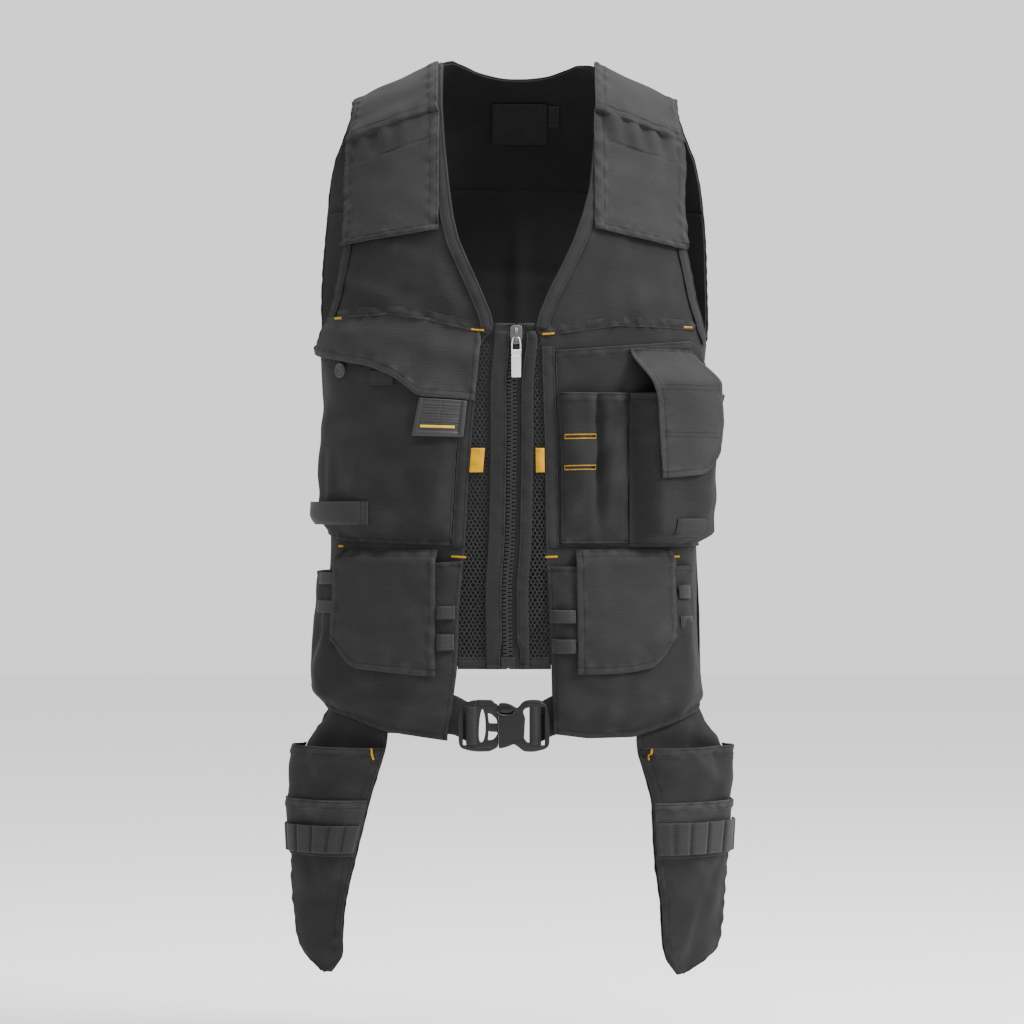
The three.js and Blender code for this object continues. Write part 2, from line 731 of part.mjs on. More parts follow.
hard('zip_slider', metal, join(plate(SLIDER_OUTLINE, SLIDER_DEPTH, [], 1), bridge), {
  s: zipLine(sliderAt), drop: sliderAt,
});

// The pull hangs in front of the teeth from its eye, whose bar runs under the slider's bridge.
const pullRoom = Math.hypot(PULL_DEPTH, PULL_DEPTH) / 2 + PULL_CLEARANCE / 2;
const pullBelow = bridgeEnd - BRIDGE_BAR - pullRoom;
const pullOut = (SLIDER_DEPTH / 2 + bridgeTop - BRIDGE_BAR) / 2;
const PULL_HALF = PULL_WIDTH / 2;
const eyeEnd = -(pullBelow + bridgeEnd + PULL_DEPTH);
const PULL_OUTLINE = [
  [-PULL_HALF, PULL_DEPTH / 2], [-PULL_HALF, -PULL_LENGTH + 1], [-PULL_HALF + 1, -PULL_LENGTH],
  [PULL_HALF - 1, -PULL_LENGTH], [PULL_HALF, -PULL_LENGTH + 1], [PULL_HALF, PULL_DEPTH / 2],
];
const EYE_HALF = BRIDGE_WIDTH / 2 + 1.5;
const PULL_EYE = [
  [-EYE_HALF, -PULL_DEPTH / 2], [EYE_HALF, -PULL_DEPTH / 2], [EYE_HALF, eyeEnd], [-EYE_HALF, eyeEnd],
];
const pull = plate(PULL_OUTLINE, PULL_DEPTH, [PULL_EYE]);
pull.translate(0, 0, -pullBelow);
hard('zip_pull', metal, pull, { s: zipLine(sliderAt), drop: sliderAt, out: pullOut });
const boxAt = ZIP_END - 1 - ZIP_BOX_LENGTH / 2;
hard('zip_box', plastic, new THREE.BoxGeometry(ZIP_BOX_WIDTH, TEETH_DEPTH + 1.4, ZIP_BOX_LENGTH), {
  s: zipLine(boxAt), drop: boxAt,
});

// Folded tape tabs at the front edges.
const TAB_DROP = down(0.6452);
const TAB_LENGTH = 24;
const RIGHT_TAB_WIDTH = 13.5;
const LEFT_TAB_WIDTH = 8.6;
const TAB_BOW = 1.2;
for (const [name, hand, width] of [['right_yellow_tab', RIGHT, RIGHT_TAB_WIDTH],
  ['left_yellow_tab', LEFT, LEFT_TAB_WIDTH]]) {
  const place = area({
    hand,
    inner: (drop) => frontEdge(hand)(drop) - SEAM_GAP - width,
    outer: (drop) => frontEdge(hand)(drop) - SEAM_GAP,
    top: () => TAB_DROP,
    bottom: () => TAB_DROP + TAB_LENGTH,
  });
  sheet(name, yellow, {
    at: place.at, columns: 2, rows: 2, lift: (u) => layer(1) + TAB_BOW * swell(2, u),
  });
}

// Facing strips along the front edges of the chest.
const FACING_WIDTH = 12.6;
const FACING_TOP = down(0.482);
const facingInner = (hand) => (drop) => frontEdge(hand)(drop) + 0.3;
const facingOuter = (hand) => (drop) => facingInner(hand)(drop) + FACING_WIDTH;
for (const hand of [RIGHT, LEFT]) {
  const place = area({
    hand,
    inner: facingInner(hand),
    outer: facingOuter(hand),
    top: () => FACING_TOP,
    bottom: () => CHEST_POCKET_END,
  });
  const name = hand === RIGHT ? 'right_pocket_facing' : 'left_pocket_facing';
  sheet(name, binding, { at: place.at, columns: 1, rows: 8, lift: () => layer(1) });
}
const besideFacing = (hand) => (drop) => facingOuter(hand)(drop) + SEAM_GAP;
const nearSide = (room) => (drop) => sideLength(-drop, FRONT) - room;


// The right chest pocket swells down and out, under its slanting flap.
const RIGHT_CHEST_TOP = table('out down', [
  [0.20, 0.500],
  [1.30, 0.478],
]);
const RIGHT_CHEST_BOTTOM = table('out down', [
  [0.30, 0.802],
  [0.95, 0.795],
  [1.10, 0.790],
  [1.30, 0.782],
]);
const CHEST_SWELL = 9.5;
const CHEST_SIDE_SWELL = 16;
const rightChest = area({
  hand: RIGHT,
  inner: besideFacing(RIGHT),
  outer: nearSide(3),
  top: RIGHT_CHEST_TOP,
  bottom: RIGHT_CHEST_BOTTOM,
});
const rightChestLift = (u, v) => layer(1) + mix(CHEST_SWELL, CHEST_SIDE_SWELL, clamp(u) ** 2)
  * swell(8, u) * (0.18 + 0.82 * smooth(0, 0.6, v)) * (1 - smooth(0.88, 1, v));
const SIDE_COLUMNS = [0, 0.06, 0.16, 0.30, 0.44, 0.57, 0.68, 0.78, 0.87, 0.95, 1];
sheet('right_chest_pocket', canvas, {
  at: rightChest.at,
  columns: SIDE_COLUMNS,
  rows: [0, 0.12, 0.28, 0.45, 0.62, 0.78, 0.90, 0.96, 1],
  lift: rightChestLift,
});
/** Lift of a piece that lies over a pocket: it clears the pocket by a layer. */
const over = (pocket, pocketLift, extra = 0) => (u, v, s, drop) => {
  const place = pocket.share(s, drop);
  const inside = place.u > -0.05 && place.u < 1.05 && place.v < 1.05;
  const height = inside ? pocketLift(clamp(place.u), clamp(place.v)) : layer(1);
  return height + TRIM + LAYER_GAP + extra;
};

const RIGHT_CHEST_FLAP_TOP = table('out down', [
  [0.14, 0.470],
  [0.40, 0.450],
  [0.66, 0.434],
  [1.06, 0.431],
  [1.34, 0.447],
]);
const RIGHT_CHEST_FLAP_END = table('out down', [
  [0.20, 0.569],
  [0.50, 0.562],
  [0.63, 0.530],
  [0.77, 0.512],
  [1.00, 0.500],
  [1.29, 0.488],
]);
const FLAP_STANDS_OUT = 1.6;
const FLAP_OVER_BINDING = 1.8;
const CHEST_FLAP_LEAN = 0.1;
const rightChestFlap = area({
  hand: RIGHT,
  inner: (drop) => Math.max(
    frontEdge(RIGHT)(drop) + 0.4,
    across(0.1789) - CHEST_FLAP_LEAN * (drop - down(0.4677)),
  ),
  outer: (drop) => Math.min(outerEdge(FRONT)(drop) - 3, nearSide(6)(drop)),
  top: RIGHT_CHEST_FLAP_TOP,
  bottom: RIGHT_CHEST_FLAP_END,
});
sheet('right_chest_flap', reinforced, {
  at: rightChestFlap.at,
  columns: SIDE_COLUMNS,
  rows: [0, 0.3, 0.6, 0.85, 1],
  lift: (u, v, s, drop) => over(rightChest, rightChestLift, FLAP_STANDS_OUT * v)(u, v, s, drop)
    + FLAP_OVER_BINDING * smooth(0.6, 0.92, u) * (1 - v),
});
const RUBBER_INNER = across(0.2447);
const RUBBER_TOP = down(0.5677);
const RUBBER_LEANS = [0.1, 0.16];
const RUBBER_TILT = 0.032;
const rubberPlace = area({
  hand: RIGHT,
  inner: (drop) => RUBBER_INNER + RUBBER_LEANS[0] * (drop - RUBBER_TOP),
  outer: (drop) => RUBBER_INNER + RUBBER_WIDTH + RUBBER_LEANS[1] * (drop - RUBBER_TOP),
  top: (s) => down(track(RIGHT_CHEST_FLAP_END, 'out', 'down', s / HALF_BREADTH)) + 1,
  bottom: (s) => RUBBER_TOP + 1 + RUBBER_HEIGHT - RUBBER_TILT * (s - RUBBER_INNER - RUBBER_WIDTH / 3),
});
sheet('rubber_tab', rubber, {
  at: rubberPlace.at,
  columns: 4,
  rows: 3,
  wall: RUBBER_DEPTH,
  lift: over(rightChest, rightChestLift, FLAP_STANDS_OUT + 0.6),
});

const BUTTON_OUT = across(0.9632);
const BUTTON_DROP = down(0.5177);
const buttonShare = rightChest.share(-BUTTON_OUT, BUTTON_DROP);
const disc = new THREE.CylinderGeometry(BUTTON_RADIUS, BUTTON_RADIUS, BUTTON_DEPTH, 14);
hard('snap_button', metal, disc, {
  s: -BUTTON_OUT,
  drop: BUTTON_DROP,
  out: rightChestLift(buttonShare.u, buttonShare.v) + TRIM / 2 + LAYER_GAP + BUTTON_DEPTH / 2,
});

/** A webbing loop that arches off what is below it. */
function loop(name, { hand, from, to, top, bottom, below, rise, columns = 6, slant = 0 }) {
  const place = area({
    hand,
    inner: () => from,
    outer: () => to,
    top: (s) => top + slant * (s - from) / (to - from),
    bottom: (s) => bottom + slant * (s - from) / (to - from),
  });
  sheet(name, webbing, {
    at: place.at,
    columns,
    rows: 2,
    wall: WEBBING,
    lift: (u, v, s, drop) => below(u, v, s, drop) + rise * swell(4, u),
  });
}
const LOOP_RISE = 8;
const RIGHT_LOOP_TOP = down(0.7306);
const RIGHT_LOOP_HEIGHT = 23;
loop('right_webbing_loop', {
  hand: RIGHT,
  from: across(0.7579),
  to: across(1.2421),
  top: RIGHT_LOOP_TOP,
  bottom: RIGHT_LOOP_TOP + RIGHT_LOOP_HEIGHT,
  below: over(rightChest, rightChestLift, 0.2),
  rise: LOOP_RISE,
  columns: 8,
});

// The left chest: a backing pocket, a pen pocket and a boxy phone pocket with its flap.
const BACKING_TOP = table('out down', [
  [0.20, 0.489],
  [0.98, 0.470],
  [1.08, 0.480],
  [1.20, 0.505],
  [1.34, 0.540],
]);
const backing = area({
  hand: LEFT,
  inner: besideFacing(LEFT),
  outer: nearSide(14),
  top: BACKING_TOP,
  bottom: () => CHEST_POCKET_END - 2,
});
const backingLift = (u, v) => layer(1) + 1.5 * swell(4, u) * (1 - v ** 4);
sheet('left_backing_pocket', canvas, {
  at: backing.at,
  columns: SIDE_COLUMNS,
  rows: 8,
  lift: backingLift,
});
const PEN_TOP = down(0.556);
const PEN_OUTER = across(0.5895);
const PEN_SWELL = 8;
const pen = area({
  hand: LEFT,
  inner: (drop) => besideFacing(LEFT)(drop) + 2,
  outer: () => PEN_OUTER,
  top: () => PEN_TOP,
  bottom: () => CHEST_POCKET_END - 4,
});
const stitchDown = 0.55;
const penLift = (u, v, s, drop) => over(backing, backingLift)(u, v, s, drop)
  + PEN_SWELL * (1 - bell(u, stitchDown, 0.07)) * swell(6, u) * (1 - smooth(0.55, 1, v));
sheet('left_pen_pocket', canvas, {
  at: pen.at,
  columns: [0, 0.08, 0.26, 0.46, 0.55, 0.64, 0.82, 0.94, 1],
  rows: 6,
  lift: penLift,
});
const PHONE_INNER = across(0.6);
const PHONE_OUTER = across(1.1789);
const PHONE_SWELL = 27;
const phone = area({
  hand: LEFT,
  inner: () => PHONE_INNER,
  outer: () => PHONE_OUTER,
  top: () => PEN_TOP,
  bottom: () => CHEST_POCKET_END - 1,
});
const phoneSwell = (u, v) => PHONE_SWELL * smooth(0, 0.2, u) * (1 - smooth(0.84, 1, u))
  * (1 - smooth(0.9, 1, v)) * (1 - 0.25 * v);
const phoneLift = (u, v) => {
  const spot = phone.at(u, v);
  return over(backing, backingLift, -0.4)(u, v, spot.s, spot.drop) + phoneSwell(u, v);
};
sheet('left_phone_pocket', canvas, {
  at: phone.at,
  columns: [0, 0.1, 0.2, 0.34, 0.5, 0.66, 0.78, 0.85, 0.93, 1],
  rows: [0, 0.2, 0.45, 0.7, 0.86, 0.94, 1],
  lift: phoneLift,
});
const PHONE_FLAP_INNER = table('down out', [
  [0.48, 0.590],
  [0.565, 0.680],
  [0.70, 0.712],
]);
const PHONE_FLAP_OUTER = table('down out', [
  [0.48, 0.870],
  [0.51, 0.930],
  [0.57, 1.010],
  [0.63, 1.080],
  [0.69, 0.960],
]);
const PHONE_FLAP_START = down(0.485);
const phoneFlap = area({
  hand: LEFT,
  inner: PHONE_FLAP_INNER,
  outer: PHONE_FLAP_OUTER,
  top: () => PHONE_FLAP_START,
  bottom: table('out down', [
    [0.70, 0.694],
    [0.97, 0.686],
    [1.10, 0.640],
  ]),
});
const phoneFlapLift = (u, v, s, drop) => {
  const place = phone.share(s, Math.max(drop, PEN_TOP));
  const near = over(backing, backingLift, -0.25)(u, v, s, drop);
  const pocket = phoneLift(clamp(place.u, 0.2, 0.82), clamp(place.v)) + TRIM + 2 * LAYER_GAP;
  return mix(near, pocket, smooth(PHONE_FLAP_START, PEN_TOP - 8, drop));
};
sheet('left_phone_flap', reinforced, {
  at: phoneFlap.at,
  columns: 7,
  rows: [0, 0.12, 0.25, 0.38, 0.55, 0.7, 0.8, 0.9, 1],
  lift: phoneFlapLift,
});
const HIP_LABEL_INNER = across(0.8);
const HIP_LABEL_WIDTH = 36;
const HIP_LABEL_TOP = down(0.7581);
const HIP_LABEL_HEIGHT = 18;
loop('left_blank_label', {
  hand: LEFT,
  from: HIP_LABEL_INNER,
  to: HIP_LABEL_INNER + HIP_LABEL_WIDTH,
  top: HIP_LABEL_TOP,
  bottom: HIP_LABEL_TOP + HIP_LABEL_HEIGHT,
  below: over(phone, phoneLift),
  rise: 0,
  columns: 3,
});

// The lower pockets and their flaps.
const below = (edge, more) => (s) => down(track(edge, 'out', 'down', s / HALF_BREADTH)) + more;
const RIGHT_LOWER_TOP = table('out down', [
  [0.25, 0.826],
  [1.30, 0.846],
]);
const rightLower = area({
  hand: RIGHT,
  inner: facingInner(RIGHT),
  outer: nearSide(3),
  top: RIGHT_LOWER_TOP,
  bottom: below(RIGHT_PANEL_END, 3),
});
const LOWER_SWELL = 9;
const LOWER_SIDE_SWELL = 22;
const rightLowerLift = (u, v) => layer(1) + mix(LOWER_SWELL, LOWER_SIDE_SWELL, clamp(u) ** 2)
  * swell(8, u) * (0.75 + 0.25 * smooth(0, 0.5, v)) * (1 - smooth(0.86, 1, v));
const LOWER_ROWS = [0, 0.12, 0.28, 0.45, 0.62, 0.78, 0.88, 0.94, 1];
sheet('right_lower_pocket', canvas, {
  at: rightLower.at, columns: SIDE_COLUMNS, rows: LOWER_ROWS, lift: rightLowerLift,
});
const LEFT_LOWER_OUTER = across(1.0947);
const leftLower = area({
  hand: LEFT,
  inner: facingInner(LEFT),
  outer: () => LEFT_LOWER_OUTER,
  top: () => down(0.835),
  bottom: below(LEFT_PANEL_END, 3),
});
const leftLowerLift = (u, v) => layer(1) + mix(LOWER_SWELL, LOWER_SWELL + 2, clamp(u))
  * swell(8, u) * (0.5 + 0.5 * smooth(0, 0.5, v)) * (1 - smooth(0.86, 1, v));
sheet('left_lower_pocket', canvas, {
  at: leftLower.at, columns: SIDE_COLUMNS, rows: LOWER_ROWS, lift: leftLowerLift,
});
const LOWER_FLAP_TOP = CHEST_POCKET_END + 2;
const RIGHT_LOWER_FLAP_END = table('out down', [
  [0.40, 1.012],
  [0.86, 1.000],
  [0.995, 0.950],
]);
const LEFT_LOWER_FLAP_END = table('out down', [
  [0.30, 1.008],
  [0.55, 1.007],
  [0.73, 0.998],
  [0.86, 0.942],
]);
const lowerFlaps = {
  right_lower_flap: {
    hand: RIGHT,
    inner: across(0.4053),
    outer: across(0.9895),
    end: RIGHT_LOWER_FLAP_END,
    pocket: rightLower,
    lift: rightLowerLift,
  },
  left_lower_flap: {
    hand: LEFT,
    inner: across(0.3158),
    outer: across(0.8526),
    end: LEFT_LOWER_FLAP_END,
    pocket: leftLower,
    lift: leftLowerLift,
  },
};
const FLAP_COLUMNS = [0, 0.14, 0.3, 0.45, 0.6, 0.74, 0.86, 1];
for (const [name, { hand, inner, outer, end, pocket, lift }] of Object.entries(lowerFlaps)) {
  const place = area({
    hand, inner: () => inner, outer: () => outer, top: () => LOWER_FLAP_TOP, bottom: end,
  });
  sheet(name, reinforced, {
    at: place.at,
    columns: FLAP_COLUMNS,
    rows: [0, 0.1, 0.22, 0.38, 0.55, 0.72, 0.88, 1],
    lift: (u, v, s, drop) => mix(
      layer(1),
      over(pocket, lift)(u, v, s, drop),
      smooth(LOWER_FLAP_TOP, LOWER_FLAP_TOP + 12, drop),
    ),
  });
}
const TOOL_LOOPS = table('name from to top height', [
  ['right_tool_loop_upper', 0.3105, 0.3974, 0.8984, 13],
  ['right_tool_loop_lower', 0.3158, 0.3974, 0.9435, 16],
  ['left_tool_loop_upper', 0.1842, 0.3079, 0.9048, 13],
  ['left_tool_loop_lower', 0.1947, 0.3079, 0.9516, 14],
]);
const TOOL_LOOP_RISE = 5.5;
for (const { name, from, to, top, height } of TOOL_LOOPS) {
  const onRight = name.startsWith('right');
  loop(name, {
    hand: onRight ? RIGHT : LEFT,
    from: across(from),
    to: across(to),
    top: down(top),
    bottom: down(top) + height,
    below: onRight ? over(rightLower, rightLowerLift, 0.2) : over(leftLower, leftLowerLift, 0.2),
    rise: TOOL_LOOP_RISE,
  });
}

// Holsters: each hangs behind a front panel's end and turns round the hip on a flat plane.
const HOLSTER_TOP = down(1.0355);
const HOLSTER_LENGTH = 287;
const HOLSTER_HANGS = 44;
const HOLSTER_TURN_LENGTH = 74;
const HOLSTER_TIP = HOLSTER_TOP + HOLSTER_LENGTH;
const HOLSTER_TURN = HOLSTER_TOP + HOLSTER_HANGS;
const HOLSTER_WIDTH = 100;
const HOLSTER_FLARE = 14;
const HOLSTER_SPLIT = across(0.9368);
const HOLSTER_BACK_FROM_MIDDLE = -0.528 * FRONT_DEPTH;
const HOLSTER_BEHIND = -(CLOTH / 2 + LAYER_GAP + TRIM / 2);
const HOLSTERS = {
  right: { hand: RIGHT, out: across(0.921), yaw: 37 },
  left: { hand: LEFT, out: across(0.921), yaw: 46 },
};
const HOLSTER_EDGES = {
  right: table('down front rear', [
    [0.00, -0.44, 0.44],
    [0.15, -0.46, 0.56],
    [0.19, -0.46, 0.80],
    [0.37, -0.38, 0.69],
    [0.58, -0.20, 0.65],
    [0.75, -0.06, 0.63],
    [0.88, -0.02, 0.56],
    [0.94, -0.01, 0.47],
    [1.00, 0.14, 0.24],
  ]),
  left: table('down front rear', [
    [0.00, -0.50, 0.44],
    [0.15, -0.53, 0.54],
    [0.19, -0.54, 0.68],
    [0.37, -0.56, 0.60],
    [0.58, -0.52, 0.58],
    [0.75, -0.43, 0.53],
    [0.88, -0.40, 0.47],
    [0.94, -0.34, 0.34],
    [1.00, -0.18, -0.08],
  ]),
};
const HOLSTER_COLUMNS = [0, 0.1, 0.25, 0.4, 0.55, 0.7, 0.82, 0.92, 1];
const HOLSTER_MOUTH = 0.20;
const SLEEVE_TOP = { right: 0.385, left: 0.390 };
const SLEEVE_END = 0.585;
const BAND_TOP = { right: 0.475, left: 0.460 };
const BAND_END = 0.572;
const POUCH_SWELL = 26;
const POUCH_TIP_SWELL = 5;
for (const [name, { hand, out: middle, yaw }] of Object.entries(HOLSTERS)) {
  const angle = THREE.MathUtils.degToRad(yaw);
  const outward = new THREE.Vector3(hand * Math.cos(angle), Math.sin(angle), 0);
  const facing = new THREE.Vector3(hand * Math.sin(angle), -Math.cos(angle), 0);
  const ground = (s, drop) => {
    const out = hand * s;
    const inside = body(hand * (HOLSTER_SPLIT + out), drop);
    const flat = new THREE.Vector3(hand * middle, HOLSTER_BACK_FROM_MIDDLE, -drop)
      .addScaledVector(outward, out);
    const share = smooth(HOLSTER_TURN, HOLSTER_TURN + HOLSTER_TURN_LENGTH, drop);
    const flare = HOLSTER_FLARE * smooth(0.2 * HOLSTER_WIDTH, 0.6 * HOLSTER_WIDTH, out)
      * smooth(HOLSTER_TURN - 26, HOLSTER_TURN + 14, drop);
    inside.p.addScaledVector(inside.n, HOLSTER_BEHIND + flare).lerp(flat, share);
    inside.n.lerp(facing, share).normalize();
    return { p: inside.p, n: inside.n, s, drop };
  };
  const edges = HOLSTER_EDGES[name];
  const share = (drop) => (drop - HOLSTER_TOP) / (HOLSTER_TIP - HOLSTER_TOP);
  const dropAtShare = (part) => mix(HOLSTER_TOP, HOLSTER_TIP, part);
  const front = (drop) => HOLSTER_WIDTH * curve(edges, 'down', 'front', share(drop));
  const rear = (drop) => HOLSTER_WIDTH * curve(edges, 'down', 'rear', share(drop));
  const stretch = (top, bottom) => area({
    hand, ground, inner: front, outer: rear, top: () => dropAtShare(top), bottom: () => dropAtShare(bottom),
  });
  const swelling = (u, drop) => {
    const part = share(drop);
    const most = mix(POUCH_SWELL, POUCH_TIP_SWELL, smooth(HOLSTER_MOUTH, 1, part));
    return TRIM + LAYER_GAP + 0.1 + most * swell(3, u) * (1 - smooth(0.9, 1, part));
  };
  sheet(`${name}_holster_back`, canvas, {
    at: stretch(0, 1).at,
    columns: HOLSTER_COLUMNS,
    rows: [0, 0.07, 0.14, 0.2, 0.27, 0.36, 0.5, 0.7, 0.88, 0.95, 1],
  });
  sheet(`${name}_holster_pouch`, canvas, {
    at: stretch(HOLSTER_MOUTH, 0.995).at,
    columns: HOLSTER_COLUMNS,
    rows: [0, 0.1, 0.22, 0.36, 0.5, 0.64, 0.78, 0.88, 0.94, 1],
    lift: (u, v, s, drop) => swelling(u, drop),
  });
  sheet(`${name}_holster_sleeve`, reinforced, {
    at: stretch(SLEEVE_TOP[name], SLEEVE_END).at,
    columns: HOLSTER_COLUMNS,
    rows: 4,
    lift: (u, v, s, drop) => swelling(u, drop) + TRIM + LAYER_GAP + 2.5 * swell(3, u) * (1 - v),
  });
  sheet(`${name}_holster_webbing`, webbing, {
    at: stretch(BAND_TOP[name], BAND_END).at,
    columns: HOLSTER_COLUMNS,
    rows: 2,
    wall: WEBBING,
    lift: (u, v, s, drop) => swelling(u, drop) + 2 * (TRIM + LAYER_GAP) + 0.4 + 2 * swell(3, u),
  });
}

// The belt webbing inside the front panels, and the closed buckle.
const BUCKLE_MIDDLE = across(-0.058);
const BUCKLE_DROP = down(1.0903);
const BELT_TOP = BUCKLE_DROP - BELT_WIDTH / 2;
const BELT_RISE = 11;
const BELT_INSIDE = -(CLOTH / 2 + 2 * LAYER_GAP + TRIM + WEBBING / 2 + 0.3);
const BELT_AT_BUCKLE = -BUCKLE_DEPTH / 2 - 0.5 - WEBBING / 2;
const BUCKLE_OUT = 3;
for (const hand of [RIGHT, LEFT]) {
  const start = BUCKLE_LENGTH / 2 - 20 + hand * BUCKLE_MIDDLE;
  const place = area({
    hand,
    inner: () => start,
    outer: (drop) => sideLength(-drop, FRONT) - 6,
    top: (s) => BELT_TOP - BELT_RISE * smooth(start, start + 30, s),
    bottom: (s) => BELT_TOP + BELT_WIDTH - BELT_RISE * smooth(start, start + 30, s),
  });
  sheet(hand === RIGHT ? 'right_belt_webbing' : 'left_belt_webbing', webbing, {
    at: place.at,
    columns: [0, 0.07, 0.14, 0.22, 0.32, 0.42, 0.52, 0.62, 0.72, 0.82, 0.91, 1],
    rows: 1,
    wall: WEBBING,
    lift: (u, v, s) => mix(
      BUCKLE_OUT + BELT_AT_BUCKLE,
      BELT_INSIDE,
      smooth(start, start + 26, hand * s),
    ),
  });
}
const rounded = (left, right, low, high, cut) => [
  [left + cut, low], [right - cut, low], [right, low + cut], [right, high - cut],
  [right - cut, high], [left + cut, high], [left, high - cut], [left, low + cut],
];
const slot = (left, right, halfHeight) => rounded(left, right, -halfHeight, halfHeight, 1.5).reverse();
const halfLength = BUCKLE_LENGTH / 2;
const halfHeight = BUCKLE_HEIGHT / 2;
const PRONG_END = -5.5;
const prongOutline = [
  [-halfLength, -halfHeight + 4], [-halfLength + 4, -halfHeight], [PRONG_END - 6, -halfHeight + 4],
  [PRONG_END, -halfHeight + 8], [PRONG_END, halfHeight - 8], [PRONG_END - 6, halfHeight - 4],
  [-halfLength + 4, halfHeight], [-halfLength, halfHeight - 4],
];
const socketOutline = [
  [PRONG_END + 0.4, -halfHeight + 8], [PRONG_END + 3, -halfHeight + 7], [12, -halfHeight + 9],
  [19, -halfHeight + 2], [24, -halfHeight], [halfLength - 4, -halfHeight], [halfLength, -halfHeight + 4],
  [halfLength, halfHeight - 4], [halfLength - 4, halfHeight], [24, halfHeight], [19, halfHeight - 2],
  [12, halfHeight - 9], [PRONG_END + 3, halfHeight - 7], [PRONG_END + 0.4, halfHeight - 8],
];
const buckleSeat = { s: BUCKLE_MIDDLE, drop: BUCKLE_DROP, out: BUCKLE_OUT };
hard('buckle_prong', plastic, plate(prongOutline, BUCKLE_DEPTH, [
  slot(-halfLength + 5, -halfLength + 9.5, 19),
  slot(-halfLength + 20, -halfLength + 26.5, 17),
  rounded(-halfLength + 29.5, PRONG_END - 2.5, 3, 13, 1.5).reverse(),
  rounded(-halfLength + 29.5, PRONG_END - 2.5, -13, -3, 1.5).reverse(),
], 0), buckleSeat);
hard('buckle_socket', plastic, plate(socketOutline, BUCKLE_DEPTH, [
  slot(18.5, 25, 17),
  slot(halfLength - 9.5, halfLength - 5, 19),
], 0), buckleSeat);

// The bare neck label inside the back yoke.
const LABEL_WIDTH = 58;
const LABEL_HEIGHT = 42;
const LABEL_TOP = 34;
const labelPlace = area({
  hand: 1,
  side: BACK,
  inner: () => BACK_NECK_CENTRE - LABEL_WIDTH / 2,
  outer: () => BACK_NECK_CENTRE + LABEL_WIDTH / 2,
  top: () => LABEL_TOP,
  bottom: () => LABEL_TOP + LABEL_HEIGHT,
});
sheet('neck_label', lining, {
  at: labelPlace.at, columns: 3, rows: 3, wall: 1, lift: () => -(CLOTH / 2 + 2 * LAYER_GAP + 0.5),
});

export default group;
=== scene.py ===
"""A utility work vest in its worn form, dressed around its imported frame.

Lengths are millimetres on the torso form and become metres in each mesh. The wearer faces -Y,
+Z is up, and right and left are the wearer's own sides, so right is -X.
"""

import json
import logging
import math
from dataclasses import dataclass, field
from enum import IntEnum
from typing import Callable, Mapping, Sequence

import bmesh
import bpy
import numpy as np
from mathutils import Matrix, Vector
from mathutils.bvhtree import BVHTree

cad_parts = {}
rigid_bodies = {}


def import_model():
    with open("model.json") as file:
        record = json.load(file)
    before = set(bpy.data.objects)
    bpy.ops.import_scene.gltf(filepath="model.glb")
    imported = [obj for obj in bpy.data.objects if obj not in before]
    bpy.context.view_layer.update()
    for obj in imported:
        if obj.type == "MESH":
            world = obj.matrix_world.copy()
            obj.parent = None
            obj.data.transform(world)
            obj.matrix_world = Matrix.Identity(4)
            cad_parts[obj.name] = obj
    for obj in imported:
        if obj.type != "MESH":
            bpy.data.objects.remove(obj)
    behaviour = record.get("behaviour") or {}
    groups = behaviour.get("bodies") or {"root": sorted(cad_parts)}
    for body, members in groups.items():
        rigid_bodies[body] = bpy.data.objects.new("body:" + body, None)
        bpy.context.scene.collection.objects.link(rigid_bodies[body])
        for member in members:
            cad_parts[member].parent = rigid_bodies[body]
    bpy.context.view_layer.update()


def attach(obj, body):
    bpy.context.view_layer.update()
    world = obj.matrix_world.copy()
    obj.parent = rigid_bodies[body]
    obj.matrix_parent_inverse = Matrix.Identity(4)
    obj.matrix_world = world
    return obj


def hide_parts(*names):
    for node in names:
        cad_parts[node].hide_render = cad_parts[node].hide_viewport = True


Array = np.ndarray
Edge = Callable[[Array], Array]
Ground = Callable[[Array, Array], tuple[Array, Array]]
Lift = Callable[[Array, Array, Array, Array], Array]
LOG = logging.getLogger("vest")
MM = 0.001
FOLD_DEPTH = 2.2
TUCK_DEPTH = 0.3
DUST_COLOUR = (0.45, 0.44, 0.42, 1.0)


class Side(IntEnum):
    """Front or back half of the torso form."""

    FRONT = 1
    BACK = -1


class Hand(IntEnum):
    """The wearer's own side."""

    LEFT = 1
    RIGHT = -1

    @property
    def word(self) -> str:
        """The side's name, as pieces use it."""
        return self.name.lower()


def mix(a: Array | float, b: Array | float, share: Array | float) -> Array:
    """A value between a and b."""
    return a + (b - a) * share


def smooth(low: float, high: float, value: Array) -> Array:
    """A soft step from 0 at low to 1 at high."""
    share = np.clip((value - low) / (high - low), 0.0, 1.0)
    return share * share * (3.0 - 2.0 * share)


def bell(value: Array, centre: float, width: float) -> Array:
    """A bump of height 1 about a centre."""
    return np.exp(-(((value - centre) / width) ** 2))


def signed_power(value: Array, power: float) -> Array:
    """A power that keeps its sign."""
    return np.sign(value) * np.abs(value) ** power


def swell(sharpness: float, u: Array) -> Array:
    """A pocket's swelling: none at both edges and full between them."""
    return 1.0 - np.abs(2.0 * np.clip(u, 0.0, 1.0) - 1.0) ** sharpness


